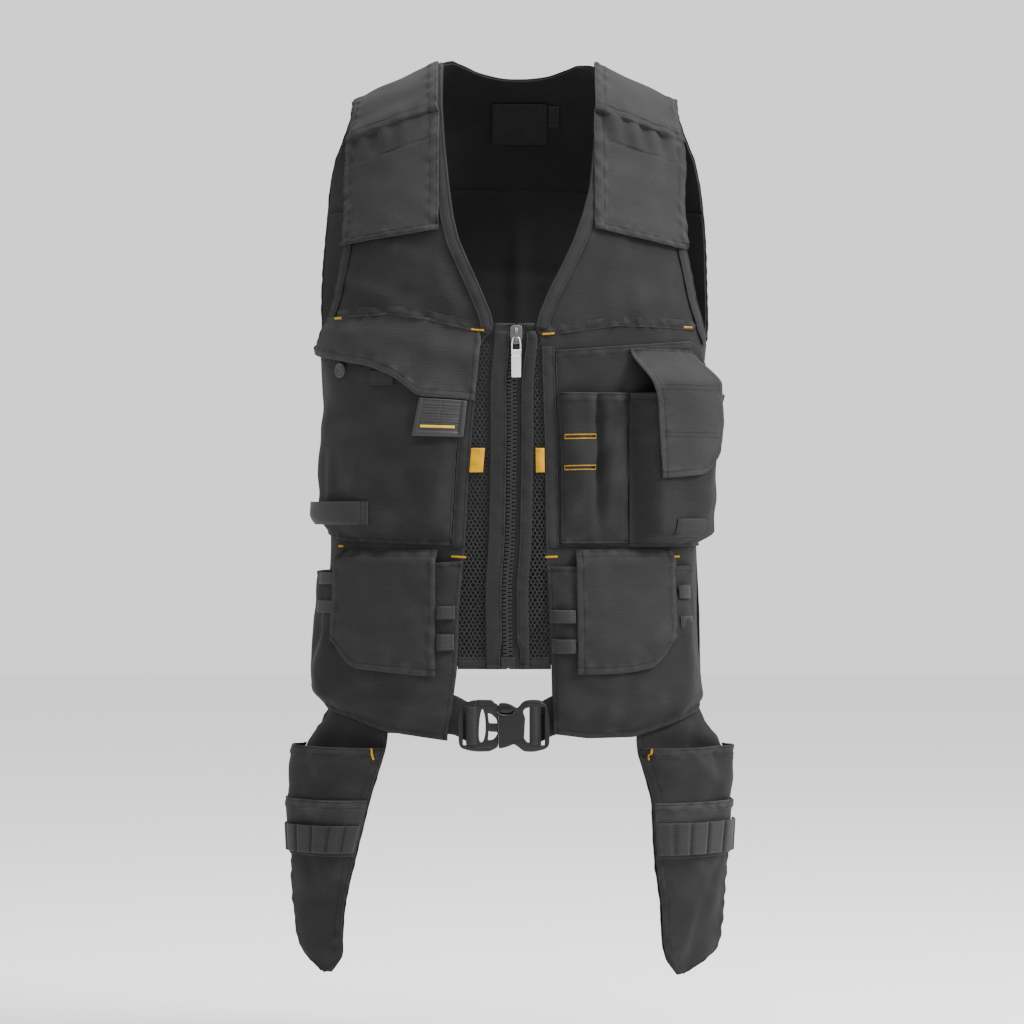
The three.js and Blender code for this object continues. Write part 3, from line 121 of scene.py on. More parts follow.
def cubic(table: Array, column: int, value: Array) -> Array:
    """Smooth reading of one column of a table against its first column."""
    known, wanted = table[:, 0], table[:, column]
    slopes = np.empty_like(wanted)
    slopes[1:-1] = (wanted[2:] - wanted[:-2]) / (known[2:] - known[:-2])
    slopes[0] = (wanted[1] - wanted[0]) / (known[1] - known[0])
    slopes[-1] = (wanted[-1] - wanted[-2]) / (known[-1] - known[-2])
    at = np.clip(value, known[0], known[-1])
    i = np.clip(np.searchsorted(known, at, side="right") - 1, 0, len(known) - 2)
    step = known[i + 1] - known[i]
    f = (at - known[i]) / step
    g, h = f * f, f * f * f
    return ((2 * h - 3 * g + 1) * wanted[i] + (h - 2 * g + f) * step * slopes[i]
            + (3 * g - 2 * h) * wanted[i + 1] + (h - g) * step * slopes[i + 1])


def ripple(a: Array, b: Array, wave: float, seed: int, waves: int = 7) -> Array:
    """Smooth seeded unevenness of about unit height over two cloth lengths.

    Args:
        a: First cloth length in mm.
        b: Second cloth length in mm.
        wave: Typical distance between crests in mm.
        seed: Seed of the directions and phases.
        waves: How many plane waves are added.

    Returns:
        The unevenness, about from -1 to 1.
    """
    rng = np.random.default_rng(seed)
    total = np.zeros(np.broadcast(a, b).shape)
    for _ in range(waves):
        turn = rng.uniform(0.0, 2.0 * math.pi)
        size = wave * rng.uniform(0.7, 1.6)
        total = total + np.sin(
            2.0 * math.pi * (a * math.cos(turn) + b * math.sin(turn)) / size + rng.uniform(0.0, 6.3))
    return 1.35 * total / math.sqrt(waves)


@dataclass(frozen=True)
class Crease:
    """One soft fold of the cloth, from one place to another."""

    s0: float
    drop0: float
    s1: float
    drop1: float
    width: float
    height: float

    def rise(self, s: Array, drop: Array) -> Array:
        """Height of the fold at each place in mm."""
        ds, dd = self.s1 - self.s0, self.drop1 - self.drop0
        length = math.hypot(ds, dd)
        along = ((s - self.s0) * ds + (drop - self.drop0) * dd) / length**2
        near = np.clip(along, 0.0, 1.0)
        away = np.hypot(s - self.s0 - near * ds, drop - self.drop0 - near * dd)
        fade = np.sin(math.pi * np.clip(mix(0.12, 0.88, along), 0.0, 1.0))
        return self.height * fade * np.exp(-((away / self.width) ** 2))


def folded(creases: Sequence[Crease], s: Array, drop: Array) -> Array:
    """Height of all folds together at each place in mm."""
    total = np.zeros(np.broadcast(s, drop).shape)
    for crease in creases:
        total = total + FOLD_DEPTH * crease.rise(s, drop)
    return total


def tucked(cover: "Patch", height: Array, s: Array, drop: Array) -> Array:
    """Folds of a piece, kept low where another piece covers it."""
    u, v = cover.share(s, drop)
    across = smooth(-0.12, -0.02, u) * (1 - smooth(1.02, 1.12, u))
    hidden = across * smooth(-0.1, 0, v) * (1 - smooth(1.02, 1.14, v))
    return mix(height, np.minimum(height, -TUCK_DEPTH), hidden)


FRONT_FOLDS = (
    Crease(-168, 236, -104, 262, 12, 1.7), Crease(-150, 262, -96, 240, 9, -1.2),
    Crease(-80, 222, -58, 268, 10, 1.2),
    Crease(160, 244, 96, 268, 12, 1.6), Crease(88, 216, 62, 268, 10, -1.3),
    Crease(120, 232, 128, 280, 9, 1.1),
    Crease(-206, 500, -150, 512, 9, 1.4), Crease(196, 506, 120, 498, 9, 1.2))
BACK_FOLDS = (
    Crease(-150, 250, -60, 310, 18, 1.8), Crease(150, 236, 70, 320, 18, 1.7),
    Crease(-120, 420, -40, 470, 16, 1.4),
    Crease(130, 410, 50, 480, 16, -1.4), Crease(-180, 330, -120, 380, 14, -1.5),
    Crease(176, 340, 110, 370, 14, 1.3),
    Crease(-60, 520, 70, 545, 16, 1.3), Crease(-90, 205, 80, 212, 9, 0.9))


@dataclass
class TorsoForm:
    """The torso that holds the vest up, with the same sizes as the frame's source."""

    length: float = 620.0
    half_breadth: float = 190.0
    front_depth: float = 125.0
    back_depth: float = 118.0
    squareness: float = 2.3
    shoulder_round: float = 60.0
    shoulder_reach: float = 108.0
    shoulder_slope: float = 0.46
    shoulder_fade: float = 250.0
    neck_half: float = 64.0
    arc_steps: int = 288
    reach: float = 480.0
    sections: Array = field(default_factory=lambda: np.array([
        [0.00, 0.95, 0.95, 0.560, 0.593],
        [0.10, 0.955, 1.035, 0.68, 0.82],
        [0.24, 0.97, 1.065, 0.86, 0.97],
        [0.32, 1.00, 1.075, 0.94, 1.00],
        [0.43, 1.045, 1.045, 0.99, 1.00],
        [0.52, 1.02, 1.02, 1.00, 0.97],
        [0.65, 0.985, 0.985, 0.98, 0.91],
        [0.80, 0.98, 0.98, 0.95, 0.88],
        [1.00, 1.00, 1.00, 0.95, 0.92],
        [1.17, 1.045, 1.045, 0.98, 0.95],
        [1.54, 1.06, 1.06, 0.92, 0.90],
    ]))

    def __post_init__(self) -> None:
        """Measures the cloth lengths round every section once."""
        self.levels = np.arange(-1000.0, 40.0, 2.0)
        self.lengths = np.arange(0.0, self.reach, 1.0)
        self.sides: dict[Side, Array] = {}
        self.angles = {side: self.measured(side) for side in Side}

    def across(self, share: Array | float) -> Array:
        """A place across, from its share of the half breadth."""
        return self.half_breadth * share

    def down(self, share: Array | float) -> Array:
        """A drop, from its share of the length."""
        return self.length * share

    def section(self, z: Array, side: Side) -> tuple[Array, Array]:
        """Half breadth and depth of the form at a height."""
        level = -z / self.length
        front = side == Side.FRONT
        breadth = self.half_breadth * cubic(self.sections, 1 if front else 2, level)
        most = self.front_depth if front else self.back_depth
        return breadth, most * cubic(self.sections, 3 if front else 4, level)

    def on_section(self, angle: Array, breadth: Array, depth: Array) -> tuple[Array, Array]:
        """The point of a section at an angle from its middle."""
        power = 2.0 / self.squareness
        return (breadth * signed_power(np.sin(angle), power),
                depth * signed_power(np.cos(angle), power))

    def measured(self, side: Side) -> Array:
        """Angles at each height and each cloth length from the middle."""
        angle = np.linspace(0.0, math.pi, 2 * self.arc_steps + 1)
        breadth, depth = self.section(self.levels, side)
        x, y = self.on_section(angle[None, :], breadth[:, None], depth[:, None])
        steps = np.hypot(np.diff(x, axis=1), np.diff(y, axis=1))
        walked = np.concatenate([np.zeros((len(x), 1)), np.cumsum(steps, axis=1)], axis=1)
        self.sides[side] = walked[:, self.arc_steps]
        return np.stack([np.interp(self.lengths, row, angle) for row in walked])

    def angle_at(self, length: Array, z: Array, side: Side) -> Array:
        """The angle round the section at a height, at a cloth length from its middle."""
        table = self.angles[side]
        row = np.clip((z - self.levels[0]) / 2.0, 0.0, len(self.levels) - 1.001)
        col = np.clip(length, 0.0, self.reach - 1.001)
        i, j = row.astype(int), col.astype(int)
        f, g = row - i, col - j
        return ((1 - f) * ((1 - g) * table[i, j] + g * table[i, j + 1])
                + f * ((1 - g) * table[i + 1, j] + g * table[i + 1, j + 1]))

    def side_length(self, drop: Array, side: Side) -> Array:
        """Cloth length from the middle of a section to the side seam."""
        return np.interp(-drop, self.levels, self.sides[side])

    def ridge(self, x: Array) -> Array:
        """Height of the shoulder ridge at a place across."""
        return -self.shoulder_slope * np.maximum(0.0, np.abs(x) - self.neck_half)

    def ridge_share(self, drop: Array) -> Array:
        """How much of the ridge's slope a drop still follows."""
        return np.clip(1.0 - drop / self.shoulder_fade, 0.0, 1.0)

    def place(self, s: Array, drop: Array, side: Side = Side.FRONT) -> tuple[Array, Array]:
        """Points of the form and their outward directions.

        Args:
            s: Cloth lengths across from the middle.
            drop: Drops below the shoulder ridge.
            side: The half of the form.

        Returns:
            Points and unit directions, each with a last axis of three.
        """
        s, drop = np.broadcast_arrays(np.asarray(s, float), np.asarray(drop, float))
        x = s.copy()
        for _ in range(3):
            z = -drop + self.ridge(x) * self.ridge_share(drop)
            breadth, depth = self.section(z, side)
            across, y = self.on_section(self.angle_at(np.abs(s), z, side), breadth, depth)
            x = np.where(s < 0, -across, across)
        below = np.maximum(0.0, self.ridge(x) - z)
        rounding = np.clip(1.0 - below / self.shoulder_round, 0.0, 1.0)
        arch = np.sqrt(1.0 - rounding**2)
        tilt = np.where(np.abs(x) > self.neck_half, np.sign(x) * self.shoulder_slope * rounding, 0.0)
        n = np.stack([
            signed_power(x / breadth, self.squareness - 1) / breadth + tilt / self.shoulder_round,
            -side * signed_power(y / depth, self.squareness - 1) * arch / depth,
            rounding / self.shoulder_round,
        ], axis=-1)
        n /= np.linalg.norm(n, axis=-1, keepdims=True)
        points = np.stack([x, -side * y * arch, z], axis=-1)
        return points + n * self.worn_relief(s, drop, side)[..., None], n

    def worn_relief(self, s: Array, drop: Array, side: Side) -> Array:
        """Soft unevenness of the worn vest, which every layer follows."""
        folds = FRONT_FOLDS if side == Side.FRONT else BACK_FOLDS
        rise = 1.2 * ripple(s, 0.7 * drop, 120.0, 3 + side) + folded(folds, s, drop)
        quiet = smooth(20.0, 60.0, np.abs(s)) if side == Side.FRONT else 1.0
        return rise * quiet * smooth(30.0, 110.0, drop) * (1.0 - smooth(600.0, 660.0, drop))

    def drop_at(self, t: Array) -> Array:
        """The drop below the ridge at a cloth length from it."""
        length = np.abs(t)
        turn = np.clip(length / self.shoulder_reach, 0.0, 1.0)
        near = self.shoulder_round * (1.0 - np.cos(math.pi / 2.0 * turn))
        return np.where(length > self.shoulder_reach,
                        self.shoulder_round + length - self.shoulder_reach, near)

    def reach_at(self, drop: Array) -> Array:
        """Cloth length from the ridge for a drop below it."""
        near = self.shoulder_reach * np.arccos(
            np.clip(1.0 - drop / self.shoulder_round, -1.0, 1.0)) / (math.pi / 2.0)
        return np.where(drop > self.shoulder_round,
                        self.shoulder_reach + drop - self.shoulder_round, near)

    def shoulder(self, s: Array, t: Array) -> tuple[Array, Array]:
        """Points over the shoulder: t is the cloth length from the ridge, positive in front."""
        s, t = np.broadcast_arrays(np.asarray(s, float), np.asarray(t, float))
        front = self.place(s, self.drop_at(t), Side.FRONT)
        back = self.place(s, self.drop_at(t), Side.BACK)
        ahead = (t >= 0)[..., None]
        return np.where(ahead, front[0], back[0]), np.where(ahead, front[1], back[1])

    def onto(self, side: Side) -> Ground:
        """The ground of one half of the form."""
        return lambda s, drop: self.place(s, drop, side)


FORM = TorsoForm()


def out_edge(rows: Sequence[tuple[float, float]]) -> Edge:
    """An edge given as shares (down, out)."""
    table = np.array(rows)
    return lambda drop: FORM.across(np.interp(drop / FORM.length, table[:, 0], table[:, 1]))


def down_edge(rows: Sequence[tuple[float, float]], more: float = 0.0) -> Edge:
    """An edge given as shares (out, down), with a few mm more."""
    table = np.array(rows)
    return lambda s: FORM.down(np.interp(s / FORM.half_breadth, table[:, 0], table[:, 1])) + more


def level(value: float) -> Edge:
    """An edge that stays at one value."""
    return lambda other: np.full(np.shape(other), float(value))


@dataclass
class Patch:
    """A cloth area between four edges on one hand of a ground."""

    hand: int
    inner: Edge
    outer: Edge
    top: Edge
    bottom: Edge
    ground: Ground = FORM.onto(Side.FRONT)

    def at(self, u: Array, v: Array) -> tuple[Array, Array, Array, Array]:
        """Points, directions, places across and drops at shares of the area."""
        start = np.zeros(np.shape(u))
        s = mix(self.inner(self.top(start)), self.outer(self.top(start)), u)
        drop = start
        for _ in range(24):
            drop = mix(self.top(s), self.bottom(s), v)
            s = mix(self.inner(drop), self.outer(drop), u)
        points, normals = self.ground(self.hand * s, drop)
        return points, normals, self.hand * s, drop

    def share(self, s: Array, drop: Array) -> tuple[Array, Array]:
        """Shares of the area at a place."""
        out = self.hand * s
        start, inner = self.top(out), self.inner(drop)
        return ((out - inner) / (self.outer(drop) - inner),
                (drop - start) / (self.bottom(out) - start))


@dataclass(frozen=True)
class Layers:
    """Walls and clearances of the sewn layers in mm."""

    cloth: float = 1.6
    trim: float = 1.4
    webbing: float = 1.8
    gap: float = 0.9
    seam: float = 0.6
    binding: float = 12.5

    def height(self, count: int) -> float:
        """Height of the middle of a sewn-on layer: 1 is the lowest."""
        return self.cloth / 2 + self.gap + self.trim / 2 + (count - 1) * (self.trim + self.gap)


LAYERS = Layers()


def over(pocket: Patch, lift: Lift, extra: float = 0.0) -> Lift:
    """Lift of a piece that lies over a pocket: it clears the pocket by a layer."""
    def above(u: Array, v: Array, s: Array, drop: Array) -> Array:
        pu, pv = pocket.share(s, drop)
        inside = (pu > -0.05) & (pu < 1.05) & (pv < 1.05)
        cu, cv = np.clip(pu, 0.0, 1.0), np.clip(pv, 0.0, 1.0)
        height = np.where(inside, lift(cu, cv, s, drop), LAYERS.height(1))
        return height + LAYERS.trim + LAYERS.gap + extra
    return above


@dataclass(frozen=True)
class Hem:
    """A folded edge: its width, how far it stands up and its rows of stitches from the edge."""

    width: float = 8.0
    rise: float = 0.45
    rows: tuple[float, ...] = (6.6,)
    pucker: float = 0.30


TAPED = Hem(0.0, 0.0, (2.0,), 0.2)


@dataclass
class Seam:
    """A line that stitches follow, with the outward direction at each of its points."""

    points: Array
    normals: Array


@dataclass
class Sewn:
    """A finished cloth piece and its lines of stitches."""

    obj: bpy.types.Object
    seams: dict[str, list[Seam]]
    outer: Array
    normals: Array
    flat: tuple[float, float]
    area: float


def mesh_object(name: str, points: Array, faces: Sequence[Sequence[int]],
                materials: Sequence[bpy.types.Material], flat_shaded: bool = False) -> bpy.types.Object:
    """A linked mesh object at the origin.

    Args:
        name: Name of the object.
        points: Corner points in mm.
        faces: Corner numbers of each face.
        materials: Its materials in slot order.
        flat_shaded: Whether its faces stay flat.

    Returns:
        The object.
    """
    mesh = bpy.data.meshes.new(name)
    mesh.from_pydata((np.asarray(points, float) * MM).tolist(), [], [list(f) for f in faces])
    mesh.polygons.foreach_set("use_smooth", np.full(len(mesh.polygons), not flat_shaded))
    for material in materials:
        mesh.materials.append(material)
    mesh.update()
    obj = bpy.data.objects.new(name, mesh)
    bpy.context.scene.collection.objects.link(obj)
    return obj


@dataclass
class ClothCutter:
    """Cuts a closed sheet with hems, folds and rounded edges from a patch of the form."""

    pitch: float = 4.0
    lip: float = 0.9

    def stations(self, size: float, low: Hem | None, high: Hem | None,
                 extra: Sequence[float]) -> list[tuple[str, float]]:
        """Lines across a sheet: each is measured from its low edge, its high edge or between."""
        half = 0.47 * size

        def beside(hem: Hem | None) -> list[float]:
            lines = [0.0, 0.4, 1.1]
            if hem is not None:
                for row in hem.rows:
                    lines += [row - 1.0, row, row + 1.0]
                if hem.width > 0:
                    lines += [hem.width - 0.6, hem.width + 0.6]
            kept: list[float] = []
            for line in sorted(lines):
                fixed = hem is not None and line in hem.rows
                if line > half:
                    continue
                if kept and line - kept[-1] < 0.35:
                    if fixed:
                        kept[-1] = line
                    continue
                kept.append(line)
            return kept
        first, last = beside(low), beside(high)
        room = size - first[-1] - last[-1]
        count = max(1, round(room / self.pitch))
        between = sorted({i / count for i in range(1, count)} | {
            (line - first[-1]) / room for line in extra if 0.02 < (line - first[-1]) / room < 0.98})
        return ([("low", d) for d in first] + [("mid", f) for f in between]
                + [("high", d) for d in reversed(last)])

    @staticmethod
    def spread(stations: Sequence[tuple[str, float]], sizes: Array) -> Array:
        """Shares of each station for each size of the sheet, stations last."""
        low = max(d for kind, d in stations if kind == "low")
        high = max(d for kind, d in stations if kind == "high")
        columns = []
        for kind, value in stations:
            if kind == "low":
                columns.append(value / sizes)
            elif kind == "high":
                columns.append(1.0 - value / sizes)
            else:
                columns.append(mix(low / sizes, 1.0 - high / sizes, value))
        return np.stack(columns, axis=-1)

    def cut(self, name: str, patch: Patch, lift: Lift, materials: Sequence[bpy.types.Material],
            wall: float = LAYERS.trim, hems: Mapping[str, Hem] | None = None,
            folds: Lift | None = None, extra_rows: Sequence[float] = (),
            extra_columns: Sequence[float] = (), pitch: float | None = None,
            wavy: float = 0.25) -> Sewn:
        """Cuts one sheet.

        Args:
            name: Name of the piece.
            patch: The area that it covers.
            lift: Height of its middle over the ground.
            materials: Outer material, and inner material if it differs.
            wall: Its thickness.
            hems: Its hems by edge: inner, outer, top or bottom.
            folds: More height from folds.
            extra_rows: More lines at these lengths from the top.
            extra_columns: More lines at these lengths from the inner edge.
            pitch: Distance between plain lines, where it isn't the cutter's.
            wavy: Height of the cloth's fine unevenness.

        Returns:
            The piece with its seams.
        """
        hems = dict(hems or {})
        kept_pitch, self.pitch = self.pitch, pitch or self.pitch
        probe = np.linspace(0.0, 1.0, 41)
        ends = patch.at(np.array([[0.0], [1.0]]) + 0 * probe, np.stack([probe, probe]))
        widths = np.maximum(2.0, np.abs(ends[2][1] - ends[2][0]))
        tall = patch.at(np.stack([probe, probe]), np.array([[0.0], [1.0]]) + 0 * probe)
        heights = np.maximum(2.0, np.abs(tall[3][1] - tall[3][0]))
        across = self.stations(float(widths.mean()), hems.get("inner"), hems.get("outer"), extra_columns)
        down = self.stations(float(heights.mean()), hems.get("top"), hems.get("bottom"), extra_rows)
        self.pitch = kept_pitch
        nominal = self.spread(down, np.array([heights.mean()]))[0]
        u = self.spread(across, np.interp(nominal, probe, widths))
        width = np.interp(nominal, probe, widths)[:, None] + 0 * u
        height = np.interp(u, probe, heights)
        v = np.empty_like(u)
        for j in range(u.shape[1]):
            v[:, j] = [self.spread(down, np.array([height[i, j]]))[0][i] for i in range(len(down))]
        points, normals, s, drop = patch.at(u, v)
        tall_lift = lift(u, v, s, drop)
        if folds is not None:
            tall_lift = tall_lift + folds(u, v, s, drop)
        middle = points + normals * tall_lift[..., None]
        out = np.cross(np.gradient(middle, axis=0), np.gradient(middle, axis=1))
        out /= np.maximum(1e-9, np.linalg.norm(out, axis=-1, keepdims=True))
        out *= np.where((out * normals).sum(axis=-1, keepdims=True) < 0, -1.0, 1.0)
        away = {"inner": u * width, "outer": (1 - u) * width, "top": v * height, "bottom": (1 - v) * height}
        relief = np.zeros_like(u)
        raised = np.zeros_like(u)
        for edge, hem in hems.items():
            if hem.width > 0:
                raised = np.maximum(raised,
                                    hem.rise * (1 - smooth(hem.width - 0.6, hem.width + 0.6, away[edge])))
            for row in hem.rows:
                relief = relief - 0.7 * bell(away[edge], row, 1.1)
                relief = relief + 1.2 * hem.pucker * ripple(s, drop, 15.0,
                                                            len(name)) * bell(away[edge], row, 5.0)
        nearest = np.minimum.reduce(list(away.values()))
        share = np.clip(nearest / self.lip, 0.0, 1.0)
        lip = np.sqrt(np.clip(1.0 - (1.0 - share) ** 2, 0.10, 1.0))
        rim_fade = smooth(0.0, 1.2, nearest)
        relief = relief + raised * rim_fade + wavy * ripple(s, drop, 34.0,
                                                            5 + len(name)) * smooth(0.0, 14.0, nearest)
        outer = middle + out * (wall / 2 * lip + relief)[..., None]
        inner = middle - out * (wall / 2 * lip - np.minimum(relief, 0.0))[..., None]
        obj = self.closed(name, outer, inner, s, drop, materials)
        self.mark(obj, nearest, relief)
        seams: dict[str, list[Seam]] = {}
        for edge, hem in hems.items():
            seams[edge] = []
            for row in hem.rows:
                stations = across if edge in ("inner", "outer") else down
                mark = ("low" if edge in ("inner", "top") else "high", row)
                if mark not in stations:
                    continue
                k = stations.index(mark)
                line = outer[:, k] if edge in ("inner", "outer") else outer[k]
                toward = out[:, k] if edge in ("inner", "outer") else out[k]
                seams[edge].append(Seam(line[2:-2], toward[2:-2]))
        across_lengths = np.linalg.norm(np.diff(middle, axis=1), axis=-1).sum(axis=1)
        down_lengths = np.linalg.norm(np.diff(middle, axis=0), axis=-1).sum(axis=0)
        flat = (float(across_lengths.max()), float(down_lengths.max()))
        diagonals = np.cross(middle[1:, 1:] - middle[:-1, :-1], middle[1:, :-1] - middle[:-1, 1:])
        area = float(np.linalg.norm(diagonals, axis=-1).sum() / 2)
        return Sewn(obj, seams, outer, out, flat, area)

    @staticmethod
    def closed(name: str, outer: Array, inner: Array, s: Array, drop: Array,
               materials: Sequence[bpy.types.Material]) -> bpy.types.Object:
        """A closed mesh from an outer and an inner grid, with the flat cloth as its UV map."""
        rows, columns = outer.shape[:2]
        index = np.arange(rows * columns).reshape(rows, columns)
        below = index + rows * columns
        front = np.stack([index[:-1, :-1], index[:-1, 1:], index[1:, 1:], index[1:, :-1]],
                         axis=-1).reshape(-1, 4)
        rear = np.stack([below[:-1, :-1], below[1:, :-1], below[1:, 1:], below[:-1, 1:]],
                        axis=-1).reshape(-1, 4)
        rim = [np.stack([index[:-1, 0], index[1:, 0], below[1:, 0], below[:-1, 0]], axis=-1),
               np.stack([index[:-1, -1], below[:-1, -1], below[1:, -1], index[1:, -1]], axis=-1),
               np.stack([index[0, :-1], below[0, :-1], below[0, 1:], index[0, 1:]], axis=-1),
               np.stack([index[-1, :-1], index[-1, 1:], below[-1, 1:], below[-1, :-1]], axis=-1)]
        faces = np.concatenate([front, rear, *rim])
        points = np.concatenate([outer.reshape(-1, 3), inner.reshape(-1, 3)])
        a, b, c = (points[faces[:, k]] for k in range(3))
        if (a * np.cross(b, c)).sum() + (a * np.cross(c, points[faces[:, 3]])).sum() < 0:
            faces = faces[:, ::-1]
        obj = mesh_object(name, points, faces.tolist(), materials)
        flat = np.stack([s, drop], axis=-1).reshape(-1, 2)
        flat = np.concatenate([flat, flat]) * MM
        corners = np.empty(len(obj.data.loops), np.int32)
        obj.data.loops.foreach_get("vertex_index", corners)
        obj.data.uv_layers.new(name="cloth").data.foreach_set("uv", flat[corners].ravel())
        if len(materials) > 1:
            numbers = np.zeros(len(faces), np.int32)
            numbers[len(front):len(front) + len(rear)] = 1
            obj.data.polygons.foreach_set("material_index", numbers)
        return obj

    @staticmethod
    def mark(obj: bpy.types.Object, nearest: Array, relief: Array) -> None:
        """Stores how much each point is lightened: most at the edges and on raised cloth, as wear at the
        edges and a painted highlight where the cloth stands up.
        """
        # lighter at the cut edges and on raised relief: partly wear, partly a painted highlight where the
        # cloth stands up
        worn = np.clip(0.9 * (1 - smooth(0.0, 2.2, nearest)) + 0.8 * relief, 0.0, 1.0).ravel()
        layer = obj.data.attributes.new("worn", "FLOAT", "POINT")
        layer.data.foreach_set("value", np.concatenate([worn, worn]).astype(np.float32))


@dataclass
class Wiring:
    """Adds nodes to a node tree and joins them."""

    tree: bpy.types.NodeTree

    def add(self, kind: str, inputs: Mapping[str | int, object] | None = None,
            **settings: object) -> bpy.types.Node:
        """Adds one node.

        Args:
            kind: The node's type.
            inputs: Values or sockets for its inputs, by name or number.
            **settings: Its properties.

        Returns:
            The node.
        """
        node = self.tree.nodes.new(kind)
        for key, value in settings.items():
            setattr(node, key, value)
        for key, value in (inputs or {}).items():
            if isinstance(value, bpy.types.NodeSocket):
                self.tree.links.new(value, node.inputs[key])
            else:
                node.inputs[key].default_value = value
        return node

    def maths(self, operation: str, a: object, b: object = 0.0, c: object = 0.0) -> bpy.types.NodeSocket:
        """One sum of up to three values."""
        return self.add("ShaderNodeMath", {0: a, 1: b, 2: c}, operation=operation).outputs[0]


def shader_group(name: str, inputs: Sequence[tuple[str, str, float]],
                 outputs: Sequence[tuple[str, str]]) -> tuple[Wiring, bpy.types.Node, bpy.types.Node]:
    """A new shader group with named sockets.

    Args:
        name: Name of the group.
        inputs: Name, socket kind and default of each input.
        outputs: Name and socket kind of each output.

    Returns:
        Its wiring, its input node and its output node.
    """
    tree = bpy.data.node_groups.new(name, "ShaderNodeTree")
    for label, kind, default in inputs:
        socket = tree.interface.new_socket(name=label, in_out="INPUT", socket_type="NodeSocket" + kind)
        if kind == "Float":
            socket.default_value = default
    for label, kind in outputs:
        tree.interface.new_socket(name=label, in_out="OUTPUT", socket_type="NodeSocket" + kind)
    wiring = Wiring(tree)
    return wiring, wiring.add("NodeGroupInput"), wiring.add("NodeGroupOutput")


def weave_group() -> bpy.types.NodeTree:
    """Ribs and warp of a woven cloth over its flat map: a height, and a shade that is painted shade of the
    ribs (darker valleys, lighter crests) plus the yarn's own slubs.
    """
    w, given, result = shader_group(
        "woven_cloth",
        [("Ribs", "Float", 800.0), ("Warp", "Float", 900.0), ("Slubs", "Float", 0.5)],
        [("Height", "Float"), ("Shade", "Float")])
    flat = w.add("ShaderNodeUVMap", uv_map="cloth").outputs["UV"]
    parts = w.add("ShaderNodeSeparateXYZ", {0: flat})
    sway = w.add("ShaderNodeTexNoise", {"Vector": flat, "Scale": 60.0, "Detail": 2.0}).outputs[0]
    rows = w.maths("MULTIPLY", parts.outputs["Y"], given.outputs["Ribs"])
    rows = w.maths("ADD", rows, w.maths("MULTIPLY", sway, 1.2))
    turn = w.maths("MULTIPLY", rows, 2 * math.pi)
    rib = w.maths("MULTIPLY_ADD", w.maths("SINE", turn), 0.5, 0.5)
    parity = w.maths("MULTIPLY", w.maths("FLOOR", rows), math.pi)
    along = w.maths("MULTIPLY", parts.outputs["X"], given.outputs["Warp"])
    warp = w.maths("SINE", w.maths("MULTIPLY_ADD", along, 2 * math.pi, parity))
    height = w.maths("ADD", rib, w.maths("MULTIPLY", w.maths("MULTIPLY", warp, rib), 0.35))
    stretched = w.add("ShaderNodeMapping", {"Vector": flat, "Scale": (55.0, 900.0, 1.0)}).outputs[0]
    slub = w.add("ShaderNodeTexNoise", {"Vector": stretched, "Scale": 1.0, "Detail": 3.0}).outputs[0]
    slub = w.maths("SUBTRACT", slub, 0.5)
    height = w.maths("ADD", height, w.maths("MULTIPLY", slub, given.outputs["Slubs"]))
    # painted shade: the rib term darkens the valleys between ribs and lightens their crests; the slub term
    # is the yarn's own uneven colour
    shade = w.maths("ADD", w.maths("MULTIPLY", w.maths("SUBTRACT", rib, 0.5), 0.10),
                    w.maths("MULTIPLY", slub, given.outputs["Slubs"]))
    w.tree.links.new(height, result.inputs["Height"])
    w.tree.links.new(shade, result.inputs["Shade"])
    return w.tree


def ageing_group() -> bpy.types.NodeTree:
    """Uneven tone, lightened edges and raised cloth (wear and a painted highlight) and a little dust: masks
    that change over the surface.
    """
    w, given, result = shader_group(
        "ageing", [("Patches", "Float", 9.0), ("Rub", "Float", 0.6)],
        [("Tone", "Float"), ("Rubbed", "Float"), ("Dust", "Float")])
    place = w.add("ShaderNodeTexCoord").outputs["Object"]
    broad = w.add("ShaderNodeTexNoise", {"Vector": place, "Scale": given.outputs["Patches"], "Detail": 4.0})
    fine = w.add("ShaderNodeTexNoise", {"Vector": place, "Scale": 420.0, "Detail": 3.0})
    tone = w.maths("ADD", w.maths("SUBTRACT", broad.outputs[0], 0.5),
                   w.maths("MULTIPLY", w.maths("SUBTRACT", fine.outputs[0], 0.5), 0.7))
    # the stored mask: wear at the edges and a painted highlight on raised cloth
    worn = w.add("ShaderNodeAttribute", attribute_name="worn").outputs["Fac"]
    broken = w.maths("MULTIPLY_ADD", fine.outputs[0], 1.6, -0.3)
    rubbed_and_highlit = w.maths("MULTIPLY", w.maths("MULTIPLY", worn, broken), given.outputs["Rub"])
    lint = w.add("ShaderNodeTexNoise", {"Vector": place, "Scale": 1500.0, "Detail": 1.0}).outputs[0]
    dust = w.add("ShaderNodeMapRange", {"Value": lint, "From Min": 0.70, "From Max": 0.78}).outputs[0]
    w.tree.links.new(tone, result.inputs["Tone"])
    w.tree.links.new(w.add("ShaderNodeClamp", {0: rubbed_and_highlit}).outputs[0], result.inputs["Rubbed"])
    w.tree.links.new(dust, result.inputs["Dust"])
    return w.tree


